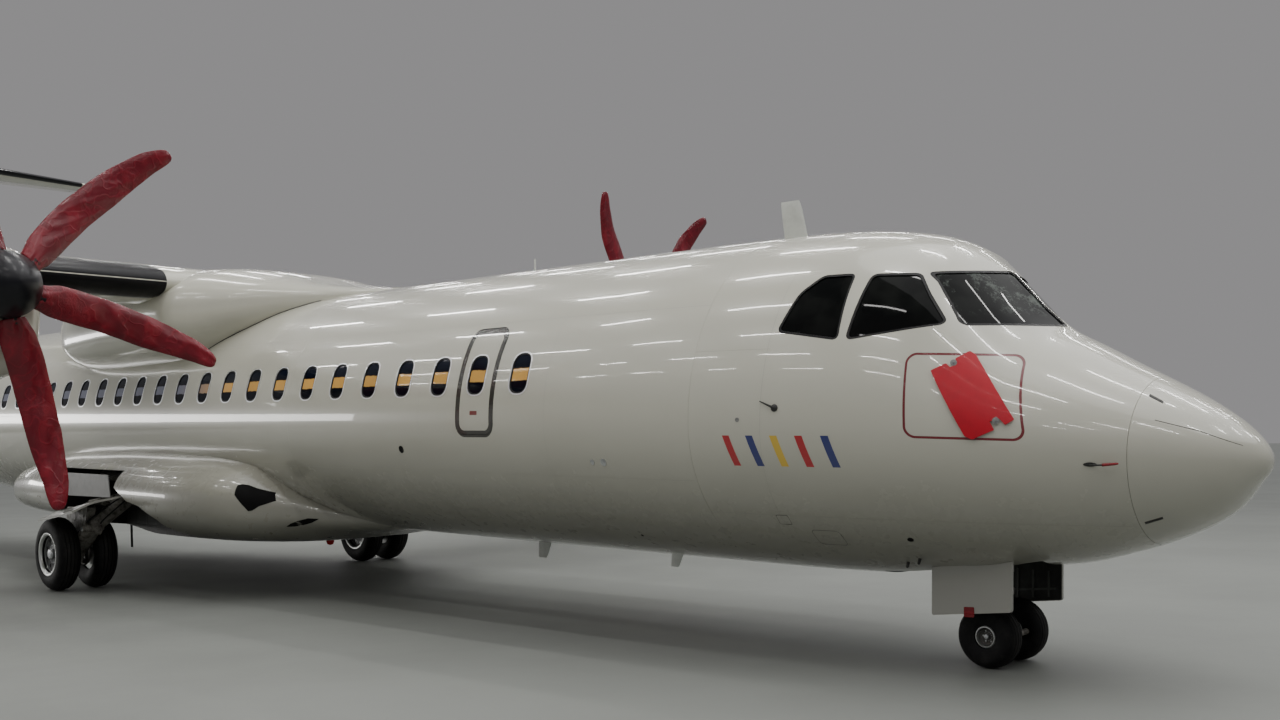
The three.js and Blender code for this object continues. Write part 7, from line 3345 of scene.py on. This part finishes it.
@dataclass
class SmallFittings:
    """Probes, vanes, antennas, inlets, lamps and the red cover plate."""

    plate: tuple[Flat, ...] = (
        (1.762, 2.251), (1.682, 2.297), (1.656, 2.270), (1.620, 2.287), (1.638, 2.327), (1.575, 2.376),
        (1.539, 2.352), (1.241, 1.934), (1.289, 1.900), (1.327, 1.940), (1.381, 1.922), (1.351, 1.869),
        (1.474, 1.809), (1.518, 1.828),
    )

    def build(self) -> None:
        """Build them all."""
        for side, word in SIDES:
            self._probe(side, word)
            self._vane(side, word)
            self._ports(side, word)
        self._antennas()
        self._red_plate()
        self._inlets()
        self._lights()

    def _probe(self, side: int, word: str) -> None:
        """A pitot probe in front of the flight deck, in a red sleeve.

        Args:
            side: PORT or STARBOARD.
            word: the side's word in names.
        """
        base = CABIN.on_skin(0.828, 1.658, side)
        plate = loft([
            [base @ Vector((x, a, b)) for a, b in oval(0.040 * r, 0.013 * r, 0.013 * r, 32)]
            for x, r in ((-0.004, 1.0), (0.003, 1.0), (0.006, 0.9))
        ])
        line = ((0, -0.01, 0), (0.026, 0.01, 0), (0.042, 0.04, 0.002), (0.044, 0.075, 0.004))
        arm = pipe([base @ Vector(p) for p in line], 0.0055, 14)
        (plate + arm).place(f"probe_{word}", GEAR_DARK, Slot.GEAR)
        sleeve = loft([
            [base @ Vector((0.045 + a, y, 0.004 + (y - 0.07) * 0.1 + b)) for a, b in oval(r, r, r * 1.1, 18)]
            for y, r in (
                (0.066, 0.007), (0.070, 0.0092), (0.11, 0.0085), (0.145, 0.0075), (0.158, 0.005), (0.161, 0.002)
            )
        ])
        sleeve.place(f"probe_sleeve_{word}", RED_TAG, Slot.COVER)

    def _vane(self, side: int, word: str) -> None:
        """An angle vane on a round plate.

        Args:
            side: PORT or STARBOARD.
            word: the side's word in names.
        """
        base = CABIN.on_skin(2.81, 2.02, side)
        disc = turned([(-0.002, 0.026), (0.004, 0.026), (0.010, 0.018), (0.014, 0.008)], base, 28)
        arm = loft([
            [base @ Vector((0.014 + a, -along, 0.42 * along + b)) for a, b in oval(0.004, r, r, 12)]
            for along, r in ((0.0, 0.009), (0.05, 0.007), (0.11, 0.004))
        ])
        (disc + arm).place(f"angle_vane_{word}", GEAR_DARK, Slot.GEAR)

    def _ports(self, side: int, word: str) -> None:
        """Static ports, drain holes, radome strips and a round lamp on the cabin's side.

        Args:
            side: PORT or STARBOARD.
            word: the side's word in names.
        """
        # fittings in the near-black opening finish carry painted shade as the inside of an opening
        table = (
            ("static_port", 4.40, 1.62, 0.030, BARE_ALUMINIUM), ("service_port", 2.04, 1.13, 0.022, SHADED_OPENING),
            ("side_lamp", 6.99, 1.69, 0.034, SHADED_OPENING), ("drain", 4.48, 1.02, 0.014, SHADED_OPENING),
            ("ice_detector", 3.10, 1.94, 0.016, FITTING_GREY), ("static_port_aft", 4.52, 1.62, 0.022, BARE_ALUMINIUM),
        )
        for name, station, height, radius, finish in table:
            base = CABIN.on_skin(station, height, side)
            ring = turned(
                [(-0.002, radius), (0.0022, radius), (0.0028, radius * 0.86), (0.0014, radius * 0.7),
                 (0.0012, radius * 0.1)], base, 28,
            )
            ring.place(f"{name}_{word}", finish, Slot.GEAR)
        strips = [
            self._patch([(0.603, 2.088), (0.521, 2.041), (0.521, 2.029), (0.603, 2.076)], side, 0.003),
            self._patch([(0.610, 1.299), (0.512, 1.335), (0.512, 1.323), (0.610, 1.287)], side, 0.003),
            self._patch([(0.527, 1.9295), (0.306, 1.8625), (0.306, 1.8590), (0.527, 1.9260)], side, 0.0008),
            self._patch([(0.302, 1.8613), (0.108, 1.7740), (0.108, 1.7715), (0.302, 1.8578)], side, 0.0008),
        ]
        joined(strips).place(f"radome_strips_{word}", GEAR_DARK, Slot.BLACK)

    @staticmethod
    def _patch(corners: Sequence[Flat], side: int, lift: float) -> Shape:
        """A thin plate that follows the skin between four corners in station and height.

        Args:
            corners: the corners in order.
            side: PORT or STARBOARD.
            lift: how far it stands off the skin.

        Returns:
            The shape.
        """
        steps = 6
        rows = []
        for layer in (lift, -0.001):
            points = []
            for i in range(steps + 1):
                for j in range(steps + 1):
                    u, v = i / steps, j / steps
                    s, z = (
                        (1 - u) * ((1 - v) * corners[0][k] + v * corners[3][k])
                        + u * ((1 - v) * corners[1][k] + v * corners[2][k]) for k in (0, 1)
                    )
                    points.append(CABIN.on_skin(s, z, side, layer).translation)
            rows.append(points)
        count, n = len(rows[0]), steps + 1
        faces = []
        for i in range(steps):
            for j in range(steps):
                a = i * n + j
                faces.append((a, a + 1, a + n + 1, a + n))
                faces.append((count + a, count + a + n, count + a + n + 1, count + a + 1))
        rim = [*range(n), *(i * n + steps for i in range(1, n)), *(steps * n + j for j in reversed(range(steps))),
               *(i * n for i in reversed(range(1, steps)))]
        for a, b in zip(rim, [*rim[1:], rim[0]]):
            faces.append((a, b, count + b, count + a))
        return solid([*rows[0], *rows[1]], faces)

    def _red_plate(self) -> None:
        """A red plate with a notch at each end over the starboard probes, held by fasteners."""
        layer = CABIN.shell(RADOME_END, NOSE_END, 0.0185, 0.0145)
        plate = (layer & sideways([rounded(self.plate, 0.006, 2)], NOSE_SIDE)).mirrored()
        plate.place("probe_cover_plate", RED_PLATE, Slot.COVER)
        profile = [
            (-0.002, 0.008), (0.014, 0.008), (0.0145, 0.022), (0.018, 0.022), (0.0185, 0.010), (0.024, 0.009),
            (0.025, 0.004),
        ]
        spots = ((1.648, 2.293), (1.352, 1.924))
        posts = [turned(profile, CABIN.on_skin(s, z, STARBOARD), 24) for s, z in spots]
        joined(posts).place("probe_cover_posts", FITTING_GREY, Slot.GEAR)

    @staticmethod
    def _fin(base: Sequence[Sequence[float]], top: Sequence[Sequence[float]], thick: float) -> Shape:
        """A blade antenna from its base line to its top line, each given front to rear.

        Args:
            base: the base line.
            top: the top line.
            thick: its thickness.

        Returns:
            The shape.
        """
        rings = []
        for t in spread(0, 1, 9):
            front, rear = (Vector(low).lerp(Vector(high), t) for low, high in zip(base, top))
            if t > 0.85:
                inset = (t - 0.85) / 0.15 * 0.07
                front, rear = front.lerp(rear, inset), rear.lerp(front, inset * 0.4)
            chord, bulge = rear - front, thick * (0.5 if t < 0.99 else 0.25)
            ring = []
            for k in range(20):
                angle = 2 * math.pi * k / 20
                ring.append(front + chord * (0.5 - 0.5 * math.cos(angle)) + ABEAM * (math.sin(angle) * bulge))
            rings.append(ring)
        return loft(rings)

    def _antennas(self) -> None:
        """Blade antennas on the crown and the belly, and a short rod."""
        table = {
            "crown_antennas": (
                ((-3.465, 0, 3.38), (-3.695, 0, 3.38), (-3.545, 0, 3.70), (-3.740, 0, 3.70), 0.024),
                ((-10.02, 0, 3.36), (-10.2, 0, 3.36), (-10.1, 0, 3.52), (-10.2, 0, 3.52), 0.02),
            ),
            "belly_antennas": (
                ((-4.40, -0.44, 0.86), (-4.54, -0.44, 0.86), (-4.46, -0.44, 0.73), (-4.55, -0.44, 0.73), 0.016),
                ((-6.5, 0, 0.80), (-6.7, 0, 0.80), (-6.58, 0, 0.62), (-6.7, 0, 0.62), 0.018),
            ),
        }
        for name, fins in table.items():
            first, second = (self._fin(fin[:2], fin[2:4], fin[4]) for fin in fins)
            (first + second).place(name, FITTING_WHITE, Slot.PAINT)
        strut((-6.737, 0, 3.38), (-6.737, 0, 3.525), 0.011, 0.007).place("crown_rod", FITTING_WHITE, Slot.PAINT)
        drains = [
            turned([(-0.01, 0.012), (0.035, 0.010), (0.042, 0.004)], CABIN.below(station, side), 16)
            for station, side in ((2.21, -0.55), (2.10, -0.58))
        ]
        drains += [strut((-13.38, y, 0.66), (-13.37, y, 0.36), 0.014) for y in (-1.03, 1.03)]
        joined(drains).place("belly_drains", GEAR_DARK, Slot.GEAR)

    def _inlets(self) -> None:
        """Ram inlets on the belly fairing's shoulders, near-black plates of painted shade ruled between an upper and a
        lower line.
        """
        lines = {
            "ram_inlet": (
                ((9.366, 1.211), (9.494, 1.258), (9.559, 1.289), (9.600, 1.299), (9.624, 1.290)),
                ((9.325, 1.127), (9.420, 1.072), (9.462, 1.030), (9.492, 1.023), (9.600, 1.190)),
            ),
            "slim_inlet": (
                ((9.290, 0.855), (9.240, 0.888), (9.185, 0.914), (9.110, 0.940), (9.035, 0.934)),
                ((9.285, 0.851), (9.240, 0.853), (9.185, 0.864), (9.096, 0.893), (9.040, 0.926)),
            ),
        }
        sections = Profile(BELLY_FAIRING)
        for side, word in SIDES:
            for name, (upper, lower) in lines.items():
                rings = []
                for t in spread(0, len(upper) - 1, 21):
                    high, low = (
                        [float(np.interp(t, range(len(line)), [p[k] for p in line])) for k in (0, 1)]
                        for line in (upper, lower)
                    )
                    row = [[h + (l - h) * u for h, l in zip(high, low)] for u in spread(0, 1, 7)]
                    rings.append([
                        *(self._on_fairing(sections, s, z, side, 0.004) for s, z in row),
                        *(self._on_fairing(sections, s, z, side, -0.02) for s, z in reversed(row)),
                    ])
                loft(rings).place(f"{name}_{word}", SHADED_OPENING, Slot.BLACK)

    @staticmethod
    def _on_fairing(sections: Profile, station: float, height: float, side: int, lift: float) -> Vector:
        """A point on the belly fairing's side, moved out by a lift.

        Args:
            sections: the fairing's sections.
            station: how far aft of the nose tip.
            height: how far above the wheels' tread.
            side: PORT or STARBOARD.
            lift: how far it stands off the skin.

        Returns:
            The point.
        """
        half, middle, up, down = sections(station)
        reach = up if height > middle else down
        share = max(-0.999, min(0.999, (height - middle) / reach))
        y = half * (1 - abs(share) ** FAIRING_POWER) ** (1 / FAIRING_POWER)
        return Vector((-station, side * (y + lift), height + lift * 0.3 * math.copysign(1, share)))

    def _lights(self) -> None:
        """Wing tip lamps, beacons and the tail lamp."""
        for side, word, finish in ((PORT, "left", RED_LENS), (STARBOARD, "right", GREEN_LENS)):
            tip = WING.mean(13.46, 0.12)
            lamp = turned(
                [(-0.08, 0.012), (-0.05, 0.028), (0.0, 0.034), (0.04, 0.026), (0.07, 0.006)],
                Matrix.Translation((tip.x - 0.02, side * 13.475, tip.z)), 28,
            )
            lamp.place(f"tip_lamp_{word}", finish, Slot.GLASS)
        for name, spot, lift in (("crown_beacon", (-17.2, 0, 3.386), 1), ("belly_beacon", (-10.4, 0, 0.585), -1)):
            matrix = Matrix.Translation(spot) @ Matrix.Rotation(-lift * math.pi / 2, 4, "Y")
            base = turned([(-0.03, 0.06), (0.012, 0.06), (0.016, 0.052)], matrix, 32)
            base.place(f"{name}_base", BARE_ALUMINIUM, Slot.GEAR)
            lens = turned([(0.016, 0.048), (0.05, 0.046), (0.075, 0.034), (0.086, 0.014), (0.087, 0.003)], matrix, 32)
            lens.place(f"{name}_lens", RED_LENS, Slot.GLASS)
        tail = turned(
            [(-26.262, 0.006), (-26.252, 0.03), (-26.22, 0.045), (-26.18, 0.05)],
            Matrix.Translation((0, 0, 2.85)), 24,
        )
        tail.place("tail_lamp", CLEAR_LENS, Slot.GLASS)


@dataclass
class Studio:
    """A plain pale floor, rows of soft strip lights overhead, and the camera at the photograph's angle."""

    eye: Point = (2.33365, -7.97469, 1.90722)
    yaw: float = 2.31174
    pitch: float = -0.020566
    roll: float = -0.0027497
    focal_px: float = 1228.85
    frame_px: Flat = (1280, 720)
    centre_px: Flat = (670, 450)
    ceiling: float = 8.9
    strip: Flat = (1.75, 0.13)
    strip_power: float = 34.0
    strips: int = 9
    first_strip: Flat = (4.6, -13.2)
    strip_pitch: Flat = (-3.75, 3.12)
    floor_reach: float = 160.0

    def build(self) -> None:
        """Build the floor, the lights and the camera."""
        self._floor()
        self._lights()
        self._world()
        self._camera()

    def _floor(self) -> None:
        """A large floor just below the tyres."""
        r = self.floor_reach
        mesh = bpy.data.meshes.new("studio_floor")
        mesh.from_pydata([(-r, -r, 0), (r, -r, 0), (r, r, 0), (-r, r, 0)], [], [(0, 1, 2, 3)])
        mesh.materials.append(StudioFloor("floor_paint").material())
        floor = bpy.data.objects.new("studio_floor", mesh)
        floor.location.z = -0.001
        bpy.context.scene.collection.objects.link(floor)

    def _lights(self) -> None:
        """Rows of strip lights on a level ceiling along the airframe, and a large soft window far behind it."""
        (x, y), (along, across) = self.first_strip, self.strip_pitch
        for row in range(self.strips):
            for column in range(self.strips):
                spot = Vector((x + along * row, y + across * column, self.ceiling))
                self._area(f"strip_{row}_{column}", spot, Vector((0, 0, -1)), self.strip, self.strip_power)
        window, target = Vector((-40.0, -12.0, 2.9)), Vector((-12, -2, 2.7))
        self._area("rear_window", window, target - window, (18, 2.0), 1000.0)

    @staticmethod
    def _area(name: str, spot: Vector, aim: Vector, size: Flat, power: float) -> None:
        """One rectangular light, unseen by the camera itself.

        Args:
            name: its name.
            spot: where it hangs.
            aim: where it shines.
            size: its width and length.
            power: its power in watts.
        """
        light = bpy.data.lights.new(name, "AREA")
        light.shape = "RECTANGLE"
        light.size, light.size_y = size
        light.energy = power
        light.color = (1.0, 0.985, 0.96)
        lamp = bpy.data.objects.new(name, light)
        lamp.location = DATUM.matrix @ spot
        lamp.rotation_euler = aim.to_track_quat("-Z", "Y").to_euler()
        if abs(aim.normalized().z) > 0.99:
            lamp.rotation_euler = (0, 0, 0)
        lamp.visible_camera = False
        bpy.context.scene.collection.objects.link(lamp)

    @staticmethod
    def _world() -> None:
        """A plain pale surrounding."""
        world = bpy.data.worlds.new("studio_world")
        world.use_nodes = True
        background = world.node_tree.nodes["Background"]
        background.inputs["Color"].default_value = (0.60, 0.59, 0.60, 1)
        background.inputs["Strength"].default_value = 0.46
        bpy.context.scene.world = world
        sky = bpy.data.lights.new("overhead", "SUN")
        sky.energy = 1.35
        sky.angle = math.radians(70)
        overhead = bpy.data.objects.new("overhead", sky)
        overhead.rotation_euler = (math.radians(-18), math.radians(14), 0)
        bpy.context.scene.collection.objects.link(overhead)

    def _camera(self) -> None:
        """The camera, turned and shifted as the photograph's was."""
        level = math.cos(self.pitch)
        ahead = Vector((level * math.cos(self.yaw), level * math.sin(self.yaw), math.sin(self.pitch)))
        right = ahead.cross(Vector((0, 0, 1))).normalized()
        up = right.cross(ahead)
        c, s = math.cos(self.roll), math.sin(self.roll)
        across, upward = c * right + s * up, -s * right + c * up
        matrix = axes(across, upward, -ahead, Vector(self.eye))
        camera = bpy.data.cameras.new("camera")
        camera.sensor_width = 36
        wide, tall = self.frame_px
        camera.lens = self.focal_px / wide * 36
        camera.shift_x = (wide / 2 - self.centre_px[0]) / wide
        camera.shift_y = (self.centre_px[1] - tall / 2) / wide
        camera.clip_end = 400
        viewer = bpy.data.objects.new("camera", camera)
        viewer.matrix_world = DATUM.matrix @ matrix
        bpy.context.scene.collection.objects.link(viewer)
        bpy.context.scene.camera = viewer


def main() -> None:
    """Build the scene in order."""
    logging.basicConfig(level=logging.INFO, format="%(message)s", stream=sys.stdout)
    pieces = (
        Studio(), Nose(), Fuselage(), WING, Fairings(), Nacelles(),
        Propeller(PORT, "left", 2.046), Propeller(STARBOARD, "right", 0.745),
        Tail(), MainGear(), NoseGear(), SmallFittings(),
    )
    for piece in pieces:
        log.info("building %s", type(piece).__name__)
        piece.build()


if __name__ == "__main__":
    main()
